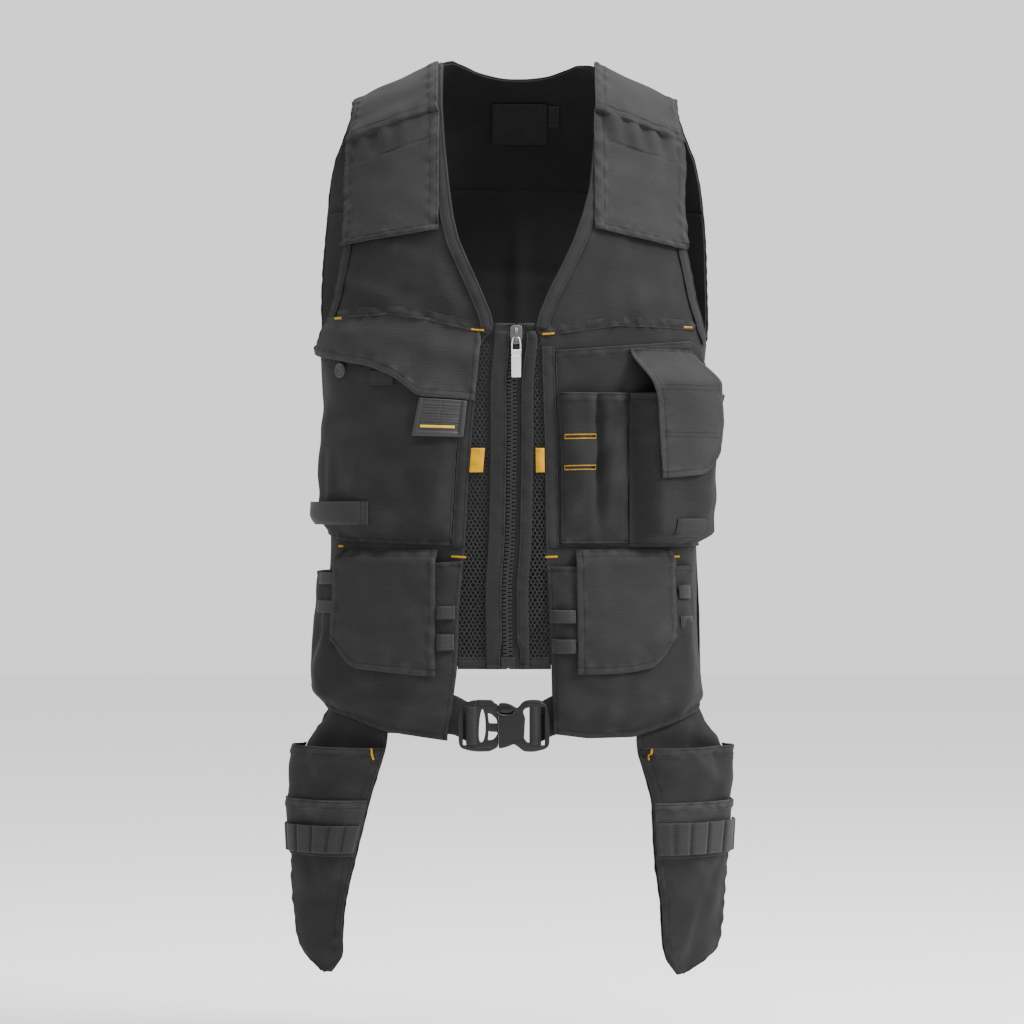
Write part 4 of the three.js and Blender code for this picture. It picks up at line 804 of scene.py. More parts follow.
@dataclass(frozen=True)
class WovenFinish:
    """A woven cloth: its colour, ribs and how it catches the light."""

    name: str
    colour: tuple[float, float, float]
    ribs: float = 800.0
    warp: float = 900.0
    slubs: float = 0.5
    depth: float = 0.00014
    roughness: float = 0.9
    sheen: float = 0.03
    rub: float = 0.6
    patches: float = 9.0
    gloss: float = 0.12
    sheen_spread: float = 0.45
    dustiness: float = 0.02

    def material(self, weave: bpy.types.NodeTree, ageing: bpy.types.NodeTree) -> bpy.types.Material:
        """Builds the material from the shared groups."""
        made = bpy.data.materials.new(self.name)
        made.use_nodes = True
        w = Wiring(made.node_tree)
        surface = made.node_tree.nodes["Principled BSDF"]
        cloth = w.add("ShaderNodeGroup", node_tree=weave)
        cloth.inputs["Ribs"].default_value = self.ribs
        cloth.inputs["Warp"].default_value = self.warp
        cloth.inputs["Slubs"].default_value = self.slubs
        aged_and_highlit = w.add("ShaderNodeGroup", node_tree=ageing)
        aged_and_highlit.inputs["Patches"].default_value = self.patches
        aged_and_highlit.inputs["Rub"].default_value = self.rub
        plain = (*self.colour, 1.0)
        light = (*(min(1.0, 2.3 * c + 0.003) for c in self.colour), 1.0)
        shade = w.maths("ADD", cloth.outputs["Shade"], w.maths("MULTIPLY", aged_and_highlit.outputs["Tone"], 0.55))
        varied = w.add("ShaderNodeHueSaturation", {
            "Color": plain, "Value": w.maths("MAXIMUM", w.maths("ADD", shade, 1.0), 0.2)})
        # mixes towards a paler colour at edges and raised cloth: wear and a painted highlight
        rubbed_and_highlit = w.add("ShaderNodeMix", {0: w.maths("MULTIPLY", aged_and_highlit.outputs["Rubbed"], 0.75),
                                         6: varied.outputs[0], 7: light}, data_type="RGBA")
        dusty = w.add("ShaderNodeMix", {0: w.maths("MULTIPLY", aged_and_highlit.outputs["Dust"], self.dustiness),
                                        6: rubbed_and_highlit.outputs[2], 7: DUST_COLOUR}, data_type="RGBA")
        w.tree.links.new(dusty.outputs[2], surface.inputs["Base Color"])
        rough = w.maths("MULTIPLY_ADD", aged_and_highlit.outputs["Tone"], 0.12, self.roughness)
        w.tree.links.new(rough, surface.inputs["Roughness"])
        surface.inputs["Sheen Weight"].default_value = self.sheen
        surface.inputs["Sheen Roughness"].default_value = self.sheen_spread
        surface.inputs["Specular IOR Level"].default_value = self.gloss
        bump = w.add("ShaderNodeBump", {"Height": cloth.outputs["Height"], "Strength": 0.7,
                                        "Distance": self.depth})
        w.tree.links.new(bump.outputs[0], surface.inputs["Normal"])
        return made


@dataclass(frozen=True)
class MouldedFinish:
    """A moulded or cast finish with a fine grain, and edges lightened as wear and a painted highlight."""

    name: str
    colour: tuple[float, float, float]
    roughness: float = 0.42
    metallic: float = 0.0
    grain: float = 1400.0
    depth: float = 0.00003
    rub: float = 0.4
    patches: float = 40.0
    gloss: float = 0.26

    def material(self, weave: bpy.types.NodeTree, ageing: bpy.types.NodeTree) -> bpy.types.Material:
        """Builds the material from the shared groups."""
        made = bpy.data.materials.new(self.name)
        made.use_nodes = True
        w = Wiring(made.node_tree)
        surface = made.node_tree.nodes["Principled BSDF"]
        aged_and_highlit = w.add("ShaderNodeGroup", node_tree=ageing)
        aged_and_highlit.inputs["Patches"].default_value = self.patches
        aged_and_highlit.inputs["Rub"].default_value = self.rub
        plain = (*self.colour, 1.0)
        light = (*(min(1.0, 1.9 * c + 0.02) for c in self.colour), 1.0)
        varied = w.add("ShaderNodeHueSaturation", {
            "Color": plain, "Value": w.maths("MULTIPLY_ADD", aged_and_highlit.outputs["Tone"], 0.35, 1.0)})
        # mixes towards a paler colour at edges: wear and a painted highlight
        rubbed_and_highlit = w.add("ShaderNodeMix", {0: aged_and_highlit.outputs["Rubbed"], 6: varied.outputs[0], 7: light},
                       data_type="RGBA")
        w.tree.links.new(rubbed_and_highlit.outputs[2], surface.inputs["Base Color"])
        rough = w.maths("MULTIPLY_ADD", aged_and_highlit.outputs["Tone"], 0.25, self.roughness)
        w.tree.links.new(rough, surface.inputs["Roughness"])
        surface.inputs["Metallic"].default_value = self.metallic
        surface.inputs["Specular IOR Level"].default_value = self.gloss
        place = w.add("ShaderNodeTexCoord").outputs["Object"]
        grain = w.add("ShaderNodeTexNoise", {"Vector": place, "Scale": self.grain, "Detail": 2.0})
        bump = w.add("ShaderNodeBump", {"Height": grain.outputs[0], "Strength": 0.5, "Distance": self.depth})
        w.tree.links.new(bump.outputs[0], surface.inputs["Normal"])
        return made


CANVAS = WovenFinish("canvas_cloth", (0.013, 0.013, 0.0135))
REINFORCED = WovenFinish("reinforced_cloth_weave", (0.019, 0.019, 0.0195), ribs=700.0, warp=720.0,
                         slubs=0.35)
POCKET_FLAP = WovenFinish("pocket_flap_weave", (0.0155, 0.0155, 0.016), ribs=700.0, warp=720.0, slubs=0.35)
LINING = WovenFinish("inner_cloth_weave", (0.012, 0.012, 0.0125), ribs=1100.0, warp=1100.0, rub=0.2)
NET = WovenFinish("net_thread", (0.017, 0.017, 0.0175), ribs=2500.0, warp=2500.0, depth=0.00006)
BINDING = WovenFinish("binding_tape", (0.0155, 0.0155, 0.016), ribs=620.0, warp=1300.0, slubs=0.25, rub=0.35)
WEBBING = WovenFinish("webbing_weave", (0.016, 0.016, 0.0165), ribs=560.0, warp=420.0, slubs=0.2,
                      depth=0.0003, roughness=0.7, sheen=0.08)
TAPE = WovenFinish("zip_tape_weave", (0.014, 0.014, 0.0145), ribs=900.0, warp=560.0, depth=0.0002)
YELLOW = WovenFinish("yellow_tape_weave", (0.40, 0.20, 0.001), ribs=900.0, warp=900.0, slubs=0.1,
                     roughness=0.7, rub=0.1)
YELLOW_THREAD = WovenFinish("yellow_thread", (0.38, 0.20, 0.002), ribs=3000.0, warp=3000.0, roughness=0.6,
                            rub=0.0)
DARK_THREAD = WovenFinish("dark_thread", (0.004, 0.004, 0.0042), ribs=3000.0, warp=3000.0, roughness=0.6,
                          rub=0.0)
PLASTIC = MouldedFinish("black_nylon", (0.004, 0.004, 0.0042), 0.36)
TEETH = MouldedFinish("zip_teeth_plastic", (0.007, 0.007, 0.0073), 0.36)
RUBBER = MouldedFinish("grey_rubber_grain", (0.017, 0.017, 0.0175), 0.5, grain=900.0, depth=0.00006)
METAL = MouldedFinish("pale_metal", (0.62, 0.62, 0.63), 0.32, 0.75, grain=600.0, depth=0.00001, rub=0.2)
BUTTON = MouldedFinish("dark_button", (0.030, 0.030, 0.031), 0.4, 0.3)
YELLOW_BAR = MouldedFinish("yellow_bar", (0.42, 0.25, 0.002), 0.5)


@dataclass
class Wardrobe:
    """Every finish, made into a material once."""

    made: dict[str, bpy.types.Material] = field(default_factory=dict)

    def __post_init__(self) -> None:
        """Builds the shared groups."""
        self.weave = weave_group()
        self.ageing = ageing_group()

    def take(self, finish: WovenFinish | MouldedFinish) -> bpy.types.Material:
        """The material of a finish."""
        if finish.name not in self.made:
            self.made[finish.name] = finish.material(self.weave, self.ageing)
        return self.made[finish.name]


def node_inputs(modifier: bpy.types.Modifier, values: Mapping[str, object]) -> None:
    """Sets a Geometry Nodes modifier's named inputs by their identifiers."""
    for item in modifier.node_group.interface.items_tree:
        if item.item_type == "SOCKET" and item.in_out == "INPUT" and item.name in values:
            modifier[item.identifier] = values[item.name]


def settled(obj: bpy.types.Object, name: str) -> bpy.types.Object:
    """The evaluated object as a plain mesh object of another name; the first one is removed."""
    graph = bpy.context.evaluated_depsgraph_get()
    mesh = bpy.data.meshes.new_from_object(obj.evaluated_get(graph), depsgraph=graph)
    plain = bpy.data.objects.new(name, mesh)
    bpy.context.scene.collection.objects.link(plain)
    bpy.data.objects.remove(obj)
    return plain


def repeat_tree(name: str, along_lines: bool) -> bpy.types.NodeTree:
    """A Geometry Nodes tree that sets copies of one shape on points or along lines.

    Args:
        name: Name of the tree.
        along_lines: Whether the base is lines that are walked at a pitch.

    Returns:
        The tree, with inputs Pitch, Shape, Scale and Finish.
    """
    tree = bpy.data.node_groups.new(name, "GeometryNodeTree")
    tree.is_modifier = True
    for label, kind, way in (("Geometry", "Geometry", "INPUT"), ("Pitch", "Float", "INPUT"),
                             ("Shape", "Object", "INPUT"), ("Scale", "Vector", "INPUT"),
                             ("Finish", "Material", "INPUT"), ("Geometry", "Geometry", "OUTPUT")):
        tree.interface.new_socket(name=label, in_out=way, socket_type="NodeSocket" + kind)
    w = Wiring(tree)
    given, result = w.add("NodeGroupInput"), w.add("NodeGroupOutput")
    out = w.add("GeometryNodeInputNamedAttribute", {"Name": "out"}, data_type="FLOAT_VECTOR").outputs[0]
    base = given.outputs["Geometry"]
    if along_lines:
        lines = w.add("GeometryNodeMeshToCurve", {0: base}).outputs[0]
        walked = w.add("GeometryNodeResampleCurve", {0: lines, 3: given.outputs["Pitch"]}, mode="LENGTH")
        base = walked.outputs[0]
        ahead = w.add("GeometryNodeInputTangent").outputs[0]
    else:
        ahead = w.add("GeometryNodeInputNamedAttribute", {"Name": "ahead"},
                      data_type="FLOAT_VECTOR").outputs[0]
    turned = w.add("FunctionNodeAxesToRotation", {"Primary Axis": out, "Secondary Axis": ahead},
                   primary_axis="Z", secondary_axis="X").outputs[0]
    shape = w.add("GeometryNodeObjectInfo", {"Object": given.outputs["Shape"], "As Instance": True})
    copies = w.add("GeometryNodeInstanceOnPoints", {
        "Points": base, "Instance": shape.outputs["Geometry"], "Rotation": turned,
        "Scale": given.outputs["Scale"]}).outputs[0]
    real = w.add("GeometryNodeRealizeInstances", {0: copies}).outputs[0]
    dressed = w.add("GeometryNodeSetMaterial", {"Geometry": real, "Material": given.outputs["Finish"]})
    tree.links.new(dressed.outputs[0], result.inputs[0])
    return tree


@dataclass
class Repeater:
    """Repeats one small shape on points or along lines with Geometry Nodes."""

    def __post_init__(self) -> None:
        """Builds both trees and the thread's shape."""
        self.lines = repeat_tree("laid_along_lines", True)
        self.points = repeat_tree("set_on_points", False)
        self.thread = self.stitch_shape()

    @staticmethod
    def stitch_shape() -> bpy.types.Object:
        """One arched stitch of unit length and width whose ends dip into the cloth."""
        rings = ((-0.5, -0.55, 0.30), (-0.26, 0.10, 0.50), (0.26, 0.10, 0.50), (0.5, -0.55, 0.30))
        points, faces, sides = [], [], 5
        for x, z, radius in rings:
            for k in range(sides):
                turn = 2 * math.pi * k / sides
                points.append((1000 * x, 1000 * radius * math.cos(turn),
                               1000 * (z + radius * math.sin(turn))))
        for ring in range(len(rings) - 1):
            for k in range(sides):
                a, b = ring * sides + k, ring * sides + (k + 1) % sides
                faces.append((a, a + sides, b + sides, b))
        faces.append(tuple(range(sides)))
        faces.append(tuple(reversed(range((len(rings) - 1) * sides, len(rings) * sides))))
        shape = mesh_object("thread_shape", np.array(points), faces, [])
        outward(shape)
        return shape

    def repeat(self, name: str, base: bpy.types.Object, tree: bpy.types.NodeTree, shape: bpy.types.Object,
               scale: tuple[float, float, float], pitch: float,
               material: bpy.types.Material) -> bpy.types.Object:
        """Runs a tree on a base and keeps the result as a plain mesh."""
        modifier = base.modifiers.new("repeat", "NODES")
        modifier.node_group = tree
        node_inputs(modifier, {"Pitch": pitch * MM, "Shape": shape, "Scale": scale, "Finish": material})
        return settled(base, name)

    def sew(self, name: str, seams: Sequence[Seam], material: bpy.types.Material, pitch: float = 3.1,
            length: float = 2.5, width: float = 0.55) -> bpy.types.Object:
        """Stitches along lines.

        Args:
            name: Name of the piece.
            seams: The lines.
            material: The thread.
            pitch: Distance between stitches in mm.
            length: Length of a stitch along its line, or its own width where it lies across.
            width: Width of a stitch.

        Returns:
            The stitches as one object.
        """
        points = np.concatenate([seam.points for seam in seams]) * MM
        normals = np.concatenate([seam.normals for seam in seams])
        edges, start = [], 0
        for seam in seams:
            edges += [(start + k, start + k + 1) for k in range(len(seam.points) - 1)]
            start += len(seam.points)
        mesh = bpy.data.meshes.new(name)
        mesh.from_pydata(points.tolist(), edges, [])
        mesh.attributes.new("out", "FLOAT_VECTOR", "POINT").data.foreach_set(
            "vector", normals.astype(np.float32).ravel())
        base = bpy.data.objects.new(name + "_base", mesh)
        bpy.context.scene.collection.objects.link(base)
        return self.repeat(name, base, self.lines, self.thread,
                           (length * MM, width * MM, width * MM), pitch, material)

    def scatter(self, name: str, points: Array, normals: Array, ahead: Array, shape: bpy.types.Object,
                scale: tuple[float, float, float], material: bpy.types.Material) -> bpy.types.Object:
        """Copies of a shape on points, each turned to its own directions."""
        mesh = bpy.data.meshes.new(name)
        mesh.from_pydata((points * MM).tolist(), [], [])
        for label, values in (("out", normals), ("ahead", ahead)):
            mesh.attributes.new(label, "FLOAT_VECTOR", "POINT").data.foreach_set(
                "vector", values.astype(np.float32).ravel())
        base = bpy.data.objects.new(name + "_base", mesh)
        bpy.context.scene.collection.objects.link(base)
        return self.repeat(name, base, self.points, shape, scale, 1.0, material)


def outward(obj: bpy.types.Object) -> None:
    """Turns a closed mesh's faces outwards."""
    work = bmesh.new()
    work.from_mesh(obj.data)
    bmesh.ops.remove_doubles(work, verts=work.verts, dist=1e-6)
    bmesh.ops.recalc_face_normals(work, faces=work.faces)
    work.to_mesh(obj.data)
    work.free()
    obj.data.update()


def softened(edge: Edge, reach: float = 2.0) -> Edge:
    """An edge with its corners rounded a little."""
    return lambda drop: sum(edge(drop + k * reach) for k in (-2, -1, 0, 1, 2)) / 5.0


FRONT_EDGES = {
    Hand.RIGHT: softened(out_edge((
        (0.00, 0.385), (0.08, 0.385), (0.15, 0.370), (0.22, 0.347), (0.27, 0.325), (0.31, 0.293),
        (0.35, 0.236), (0.39, 0.178), (0.43, 0.124), (0.455, 0.110), (0.475, 0.178), (0.60, 0.219),
        (0.68, 0.240), (0.80, 0.262), (0.90, 0.292), (1.00, 0.303), (1.11, 0.352)))),
    Hand.LEFT: softened(out_edge((
        (0.00, 0.435), (0.08, 0.430), (0.15, 0.415), (0.22, 0.392), (0.27, 0.352), (0.31, 0.306),
        (0.35, 0.246), (0.39, 0.178), (0.43, 0.124), (0.455, 0.105), (0.475, 0.137), (0.57, 0.146),
        (0.65, 0.156), (0.80, 0.161), (0.89, 0.173), (0.97, 0.188), (1.11, 0.199)))),
}
ARMHOLES = {
    Side.FRONT: softened(out_edge((
        (0.00, 0.900), (0.07, 0.925), (0.14, 0.970), (0.30, 0.985), (0.40, 1.050), (0.44, 1.120),
        (0.47, 1.230)))),
    Side.BACK: softened(out_edge((
        (0.00, 0.900), (0.05, 0.985), (0.09, 1.060), (0.14, 1.110), (0.30, 1.180), (0.40, 1.220),
        (0.44, 1.250), (0.47, 1.290)))),
}
PANEL_ENDS = {
    Hand.RIGHT: ((0.30, 1.098), (0.60, 1.084), (0.92, 1.072), (1.15, 1.062), (1.34, 1.045)),
    Hand.LEFT: ((0.18, 1.097), (0.60, 1.093), (0.92, 1.078), (1.15, 1.060), (1.34, 1.045)),
}
CHEST_SEAMS = {
    Hand.RIGHT: ((0.12, 0.462), (0.23, 0.457), (0.45, 0.440), (0.66, 0.430), (0.96, 0.4335), (1.30, 0.436)),
    Hand.LEFT: ((0.10, 0.463), (0.20, 0.464), (0.54, 0.449), (0.95, 0.451), (1.30, 0.455)),
}
UNDERARM = FORM.down(0.47)
CHEST_POCKET_END = FORM.down(0.8048)
YOKE_END = FORM.down(0.2)
BACK_NECK_CENTRE = 5.0
RIDGE_GAP = 0.1


def outer_edge(side: Side) -> Edge:
    """The armhole and, below it, the side seam."""
    def edge(drop: Array) -> Array:
        most = FORM.side_length(drop, side) + 0.5
        return mix(np.minimum(most, ARMHOLES[side](drop)), most,
                   smooth(UNDERARM - 6.0, UNDERARM + 10.0, drop))
    return edge


def back_neck(s: Array) -> Array:
    """Cloth length down the back from the ridge to the neck's edge."""
    start = np.zeros(1)
    half = float((FRONT_EDGES[Hand.LEFT](start) + FRONT_EDGES[Hand.RIGHT](start))[0]) / 2.0
    return 49.0 * (1.0 - np.clip(np.abs(s - BACK_NECK_CENTRE) / half, 0.0, 1.0) ** 2.5)


def facing_inner(hand: Hand) -> Edge:
    """Where the facing strip starts beside the front edge."""
    return lambda drop: FRONT_EDGES[hand](drop) + 0.3


def beside_facing(hand: Hand, more: float = 0.0) -> Edge:
    """Where a pocket starts beside the facing strip."""
    return lambda drop: FRONT_EDGES[hand](drop) + 0.3 + 12.6 + LAYERS.seam + more


def near_side(room: float) -> Edge:
    """An edge a little before the side seam."""
    return lambda drop: FORM.side_length(drop, Side.FRONT) - room


@dataclass
class StripPath:
    """A strip of even width beside a path over the shoulders; it cuts as a patch does."""

    path: Array
    away: int
    width: float
    inset: float = 0.3

    def at(self, u: Array, v: Array) -> tuple[Array, Array, Array, Array]:
        """Points, directions, and the flat strip's own width and length."""
        steps = np.hypot(*np.diff(self.path, axis=0).T)
        walked = np.concatenate([[0.0], np.cumsum(steps)])
        wanted = v * walked[-1]
        s = np.interp(wanted, walked, self.path[:, 0])
        t = np.interp(wanted, walked, self.path[:, 1])
        ds = np.interp(wanted + 3, walked, self.path[:, 0]) - np.interp(wanted - 3, walked, self.path[:, 0])
        dt = np.interp(wanted + 3, walked, self.path[:, 1]) - np.interp(wanted - 3, walked, self.path[:, 1])
        size = np.hypot(ds, dt)
        offset = self.inset + u * self.width
        points, normals = FORM.shoulder(s + self.away * dt / size * offset,
                                        t - self.away * ds / size * offset)
        return points, normals, offset, wanted


@dataclass
class Tailor:
    wardrobe: Wardrobe
    cutter: ClothCutter = field(default_factory=ClothCutter)
    repeater: Repeater = field(default_factory=Repeater)
    body: str = "vest"

    def own(self, obj: bpy.types.Object, slot: str, *nodes: str) -> bpy.types.Object:
        """Lets a piece ride on the vest, and hides the nodes that it stands for."""
        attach(obj, self.body)
        if nodes:
            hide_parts(*nodes)
        LOG.info("%s: %d faces", obj.name, len(obj.data.polygons))
        return obj

    def sheet(self, name: str, patch: Patch | StripPath, lift: Lift | float, finish: WovenFinish,
              slot: str, lining: WovenFinish | None = None, held: str = "hung",
              rests_on: Sequence[str] = (), node: bool = True, **cutting: object) -> Sewn:
        """Args:
            name: The node that it stands for, or its own name.
            patch: The area that it covers.
            lift: Height of its middle over the ground.
            finish: Its outer finish.
            slot: The record's material slot; not used.
            lining: Its inner finish, where that differs.
            held: How the sheet is held; not used.
            rests_on: What it lies on; not used.
            node: Whether it stands for a node of its name.
            **cutting: More for the cutter.

        Returns:
            The piece with its seams.
        """
        materials = [self.wardrobe.take(finish)] + ([self.wardrobe.take(lining)] if lining else [])
        rise = lift if callable(lift) else (lambda u, v, s, drop: np.full(np.shape(u), float(lift)))
        sewn = self.cutter.cut(name + "_cloth", patch, rise, materials, **cutting)
        self.own(sewn.obj, slot, *([name] if node else []))
        return sewn

    def stitch(self, name: str, sewn: Sequence[Sewn], finish: WovenFinish = DARK_THREAD,
               edges: Sequence[str] = (), pitch: float = 3.1, extra: Sequence[Seam] = ()) -> None:
        """Sews every hem row of some pieces as one object of stitches."""
        seams = [seam for piece in sewn for edge, rows in piece.seams.items()
                 if not edges or edge in edges for seam in rows] + list(extra)
        threads = self.repeater.sew(name, seams, self.wardrobe.take(finish), pitch)
        self.own(threads, "canvas")

    def line(self, patch: Patch, lift: Lift, places: Sequence[tuple[float, float]], above: float,
             step: float = 2.0) -> Seam:
        """A line of stitches through places (s, drop) on a piece."""
        points = np.array(places, float)
        size = np.concatenate([[0.0], np.cumsum(np.hypot(*np.diff(points, axis=0).T))])
        walk = np.linspace(0.0, size[-1], max(2, int(size[-1] / step)))
        s, drop = np.interp(walk, size, points[:, 0]), np.interp(walk, size, points[:, 1])
        u, v = patch.share(s, drop)
        ground, normals = patch.ground(s, drop)
        height = lift(u, v, s, drop) + above
        return Seam(ground + normals * height[:, None], normals)


@dataclass
class Shell:
    """The front panels, the back yoke and panel, and the bindings round their edges."""

    tailor: Tailor
    hem: Hem = Hem(9.0, 0.4, (7.4,))

    def build(self) -> list[Sewn]:
        """Cuts and sews the shell."""
        pieces = [self.front(hand) for hand in Hand] + [self.chest_seam(hand) for hand in Hand] + self.back()
        pieces += [self.neck()] + [self.armhole(hand) for hand in Hand]
        self.tailor.stitch("shell_stitches", pieces)
        return pieces

    def front(self, hand: Hand) -> Sewn:
        """One front panel."""
        patch = Patch(hand, FRONT_EDGES[hand], outer_edge(Side.FRONT), level(FORM.drop_at(RIDGE_GAP)),
                      down_edge(PANEL_ENDS[hand]))
        return self.tailor.sheet(f"{hand.word}_front_panel", patch, 0.0, CANVAS, "canvas", lining=LINING,
                                 wall=LAYERS.cloth, hems={"bottom": self.hem})

    def chest_seam(self, hand: Hand) -> Sewn:
        """The lapped and twice-stitched seam across one front panel."""
        seam = down_edge(CHEST_SEAMS[hand])
        edge = outer_edge(Side.FRONT)
        patch = Patch(hand, lambda drop: FRONT_EDGES[hand](drop) + 1.0, lambda drop: edge(drop) - 1.0,
                      lambda s: seam(s) - 9.4, seam)
        high = 2.6 if hand == Hand.RIGHT else 0.75
        return self.tailor.sheet(f"{hand.word}_chest_seam", patch, lambda u, v, s, drop: 0.85 + high * v,
                                 CANVAS,
                                 "canvas", node=False, wall=0.7, pitch=3.0, wavy=0.1,
                                 hems={"bottom": Hem(9.0, 0.0, (1.8, 7.4), 0.45)})

    def back(self) -> list[Sewn]:
        """The yoke over the shoulders and the back panel with its pleat."""
        edge = outer_edge(Side.BACK)
        ground = FORM.onto(Side.BACK)
        gap = LAYERS.seam / 2
        yoke = Patch(1, lambda drop: -edge(drop), edge,
                     lambda s: FORM.drop_at(np.maximum(RIDGE_GAP, back_neck(s))), level(YOKE_END + 6.0),
                     ground)
        hem = np.array(((0.00, 1.005), (0.60, 1.015), (1.00, 1.035), (1.34, 1.045)))
        panel = Patch(1, lambda drop: -edge(drop), edge, level(YOKE_END + gap),
                      lambda s: FORM.down(np.interp(np.abs(s) / FORM.half_breadth, hem[:, 0], hem[:, 1])),
                      ground)

        def lapped(u: Array, v: Array, s: Array, drop: Array) -> Array:
            return 1.7 * smooth(YOKE_END - 6.0, YOKE_END - 0.5, drop)

        def pleat(u: Array, v: Array, s: Array, drop: Array) -> Array:
            return -4.0 * bell(s, 2 * BACK_NECK_CENTRE / 3, 9.0) * smooth(YOKE_END, YOKE_END + 60, drop)
        return [
            self.tailor.sheet("back_yoke", yoke, lapped, REINFORCED, "reinforced_cloth", lining=LINING,
                              wall=LAYERS.cloth, hems={"bottom": Hem(7.0, 0.5, (2.0, 5.8))}, pitch=4.5),
            self.tailor.sheet("back_panel", panel, pleat, CANVAS, "canvas", lining=LINING,
                              wall=LAYERS.cloth, hems={"bottom": Hem(18.0, 0.45, (2.0, 16.5))}, pitch=4.5),
        ]

    def neck(self) -> Sewn:
        """The binding round the neck and the V."""
        drops = np.concatenate([np.linspace(280.0, 20.0, 60), [14.0, 9.0, 5.0, 2.0]])
        sides = {hand: np.stack([hand * FRONT_EDGES[hand](drops), FORM.reach_at(drops)], axis=-1)
                 for hand in Hand}
        start = {hand: float(FRONT_EDGES[hand](np.zeros(1))[0]) for hand in Hand}
        shares = np.cos(np.linspace(0.0, math.pi, 60))
        across = np.where(shares > 0, mix(BACK_NECK_CENTRE, start[Hand.LEFT], shares),
                          mix(BACK_NECK_CENTRE, -start[Hand.RIGHT], -shares))[::-1]
        behind = np.stack([across, -back_neck(across)], axis=-1)
        path = np.concatenate([sides[Hand.RIGHT], behind, sides[Hand.LEFT][::-1]])
        strip = StripPath(path, 1, LAYERS.binding)
        return self.tailor.sheet("neck_binding", strip, LAYERS.height(1) + 0.3, BINDING, "binding",
                                 held="stretched", hems={"inner": TAPED, "outer": TAPED})

    def armhole(self, hand: Hand) -> Sewn:
        """The binding round one armhole."""
        drops = np.concatenate([np.linspace(285.0, 24.0, 60), [15.0, 9.0, 5.0, 2.0]])
        front = np.stack([hand * outer_edge(Side.FRONT)(drops), FORM.reach_at(drops)], axis=-1)
        back = np.stack([hand * outer_edge(Side.BACK)(drops), -FORM.reach_at(drops)], axis=-1)[::-1]
        top = np.array([[hand * float(outer_edge(Side.FRONT)(np.zeros(1))[0]), 0.0]])
        strip = StripPath(np.concatenate([front, top, back]), int(hand), LAYERS.binding)
        return self.tailor.sheet(f"{hand.word}_armhole_binding", strip, LAYERS.height(1), BINDING, "binding",
                                 held="stretched", hems={"inner": TAPED, "outer": TAPED})


@dataclass
class ShoulderFlaps:
    """The reinforced flaps over both shoulders, each with a gathered ridge."""

    tailor: Tailor
    behind: float = -28.0
    gather_at: float = 102.0

    def build(self) -> None:
        """Cuts both flaps."""
        sizes = {Hand.RIGHT: (0.4, 0.3677, 0.3694), Hand.LEFT: (0.4158, 0.3645, 0.3774)}
        edge = outer_edge(Side.FRONT)
        pieces, seams = [], []
        for hand, (inner, inner_end, outer_end) in sizes.items():
            start, reach = FORM.across(inner), float(edge(np.zeros(1))[0])
            ends = FORM.down(inner_end), FORM.down(outer_end)
            patch = Patch(
                hand, level(start), lambda t: edge(FORM.drop_at(t)) - 0.5, level(self.behind),
                lambda s, start=start, reach=reach, ends=ends: mix(
                    ends[0], ends[1], np.clip((s - start) / (reach - start), 0.0, 1.0)), FORM.shoulder)
            hem = Hem(8.0, 0.6, (1.8, 6.6))
            strip = Hem(11.0, 0.6, (1.8, 9.6), 0.45)
            pieces.append(self.tailor.sheet(
                f"{hand.word}_shoulder_flap", patch, self.lift, REINFORCED, "reinforced_cloth",
                hems={"bottom": hem, "outer": strip, "inner": strip}, pitch=2.8,
                extra_rows=[self.gather_at - self.behind + k
                            for k in (-9, -7, -5, -2, -0.9, -0.1, 0.7, 1.5, 3, 26, 27.4, 28.8)]))
            for at in (self.gather_at - 7.0, self.gather_at + 27.4):
                seams.append(self.tailor.line(patch, self.lift, [
                    (hand * (start + 12), at), (hand * (reach - 11), at)], 0.95))
        self.tailor.stitch("shoulder_flap_stitches", pieces, extra=seams)

    def lift(self, u: Array, v: Array, s: Array, t: Array) -> Array:
        """Height of a flap: it lies over the bindings and gathers into a ridge."""
        edge = self.gather_at
        below = smooth(edge - 0.7, edge + 0.5, t)
        upper = (3.2 + 0.6 * ripple(s, 0 * t, 20.0, 8)) * smooth(edge - 30.0, edge - 4.0, t) * (1 - below)
        puckered = 1.6 * ripple(s, 0.12 * t, 16.0, 9) * below * (1 - smooth(edge + 10.0, edge + 30.0, t))
        seams = bell(t, edge - 7.0, 1.2) + bell(t, edge + 27.4, 1.2)
        return LAYERS.height(2) + 0.5 + upper + puckered - 0.5 * seams + 0.4 * ripple(s, t, 60.0, 10)


@dataclass
class Shape:
    """A closed form in its own plane: each point is (across, out, up) in mm."""

    points: Array
    faces: list[tuple[int, ...]]

    def moved(self, across: float = 0.0, out: float = 0.0, up: float = 0.0, turn: float = 0.0) -> "Shape":
        """The form turned in its plane by an angle in degrees, then moved."""
        a = math.radians(turn)
        x, y, z = self.points.T
        turned = np.stack([x * math.cos(a) - z * math.sin(a), y, x * math.sin(a) + z * math.cos(a)], axis=-1)
        return Shape(turned + np.array([across, out, up]), self.faces)


def filleted(outline: Sequence[tuple[float, float]], radius: float, steps: int = 4) -> Array:
    """A closed outline with its corners rounded."""
    corners = np.array(outline, float)
    rounded = []
    for before, corner, after in zip(np.roll(corners, 1, axis=0), corners, np.roll(corners, -1, axis=0)):
        to_a, to_b = before - corner, after - corner
        size_a, size_b = np.hypot(*to_a), np.hypot(*to_b)
        start = corner + to_a / size_a * min(radius, 0.48 * size_a)
        end = corner + to_b / size_b * min(radius, 0.48 * size_b)
        for t in np.linspace(0.0, 1.0, steps + 1):
            rounded.append((1 - t) ** 2 * start + 2 * t * (1 - t) * corner + t * t * end)
    return np.array(rounded)


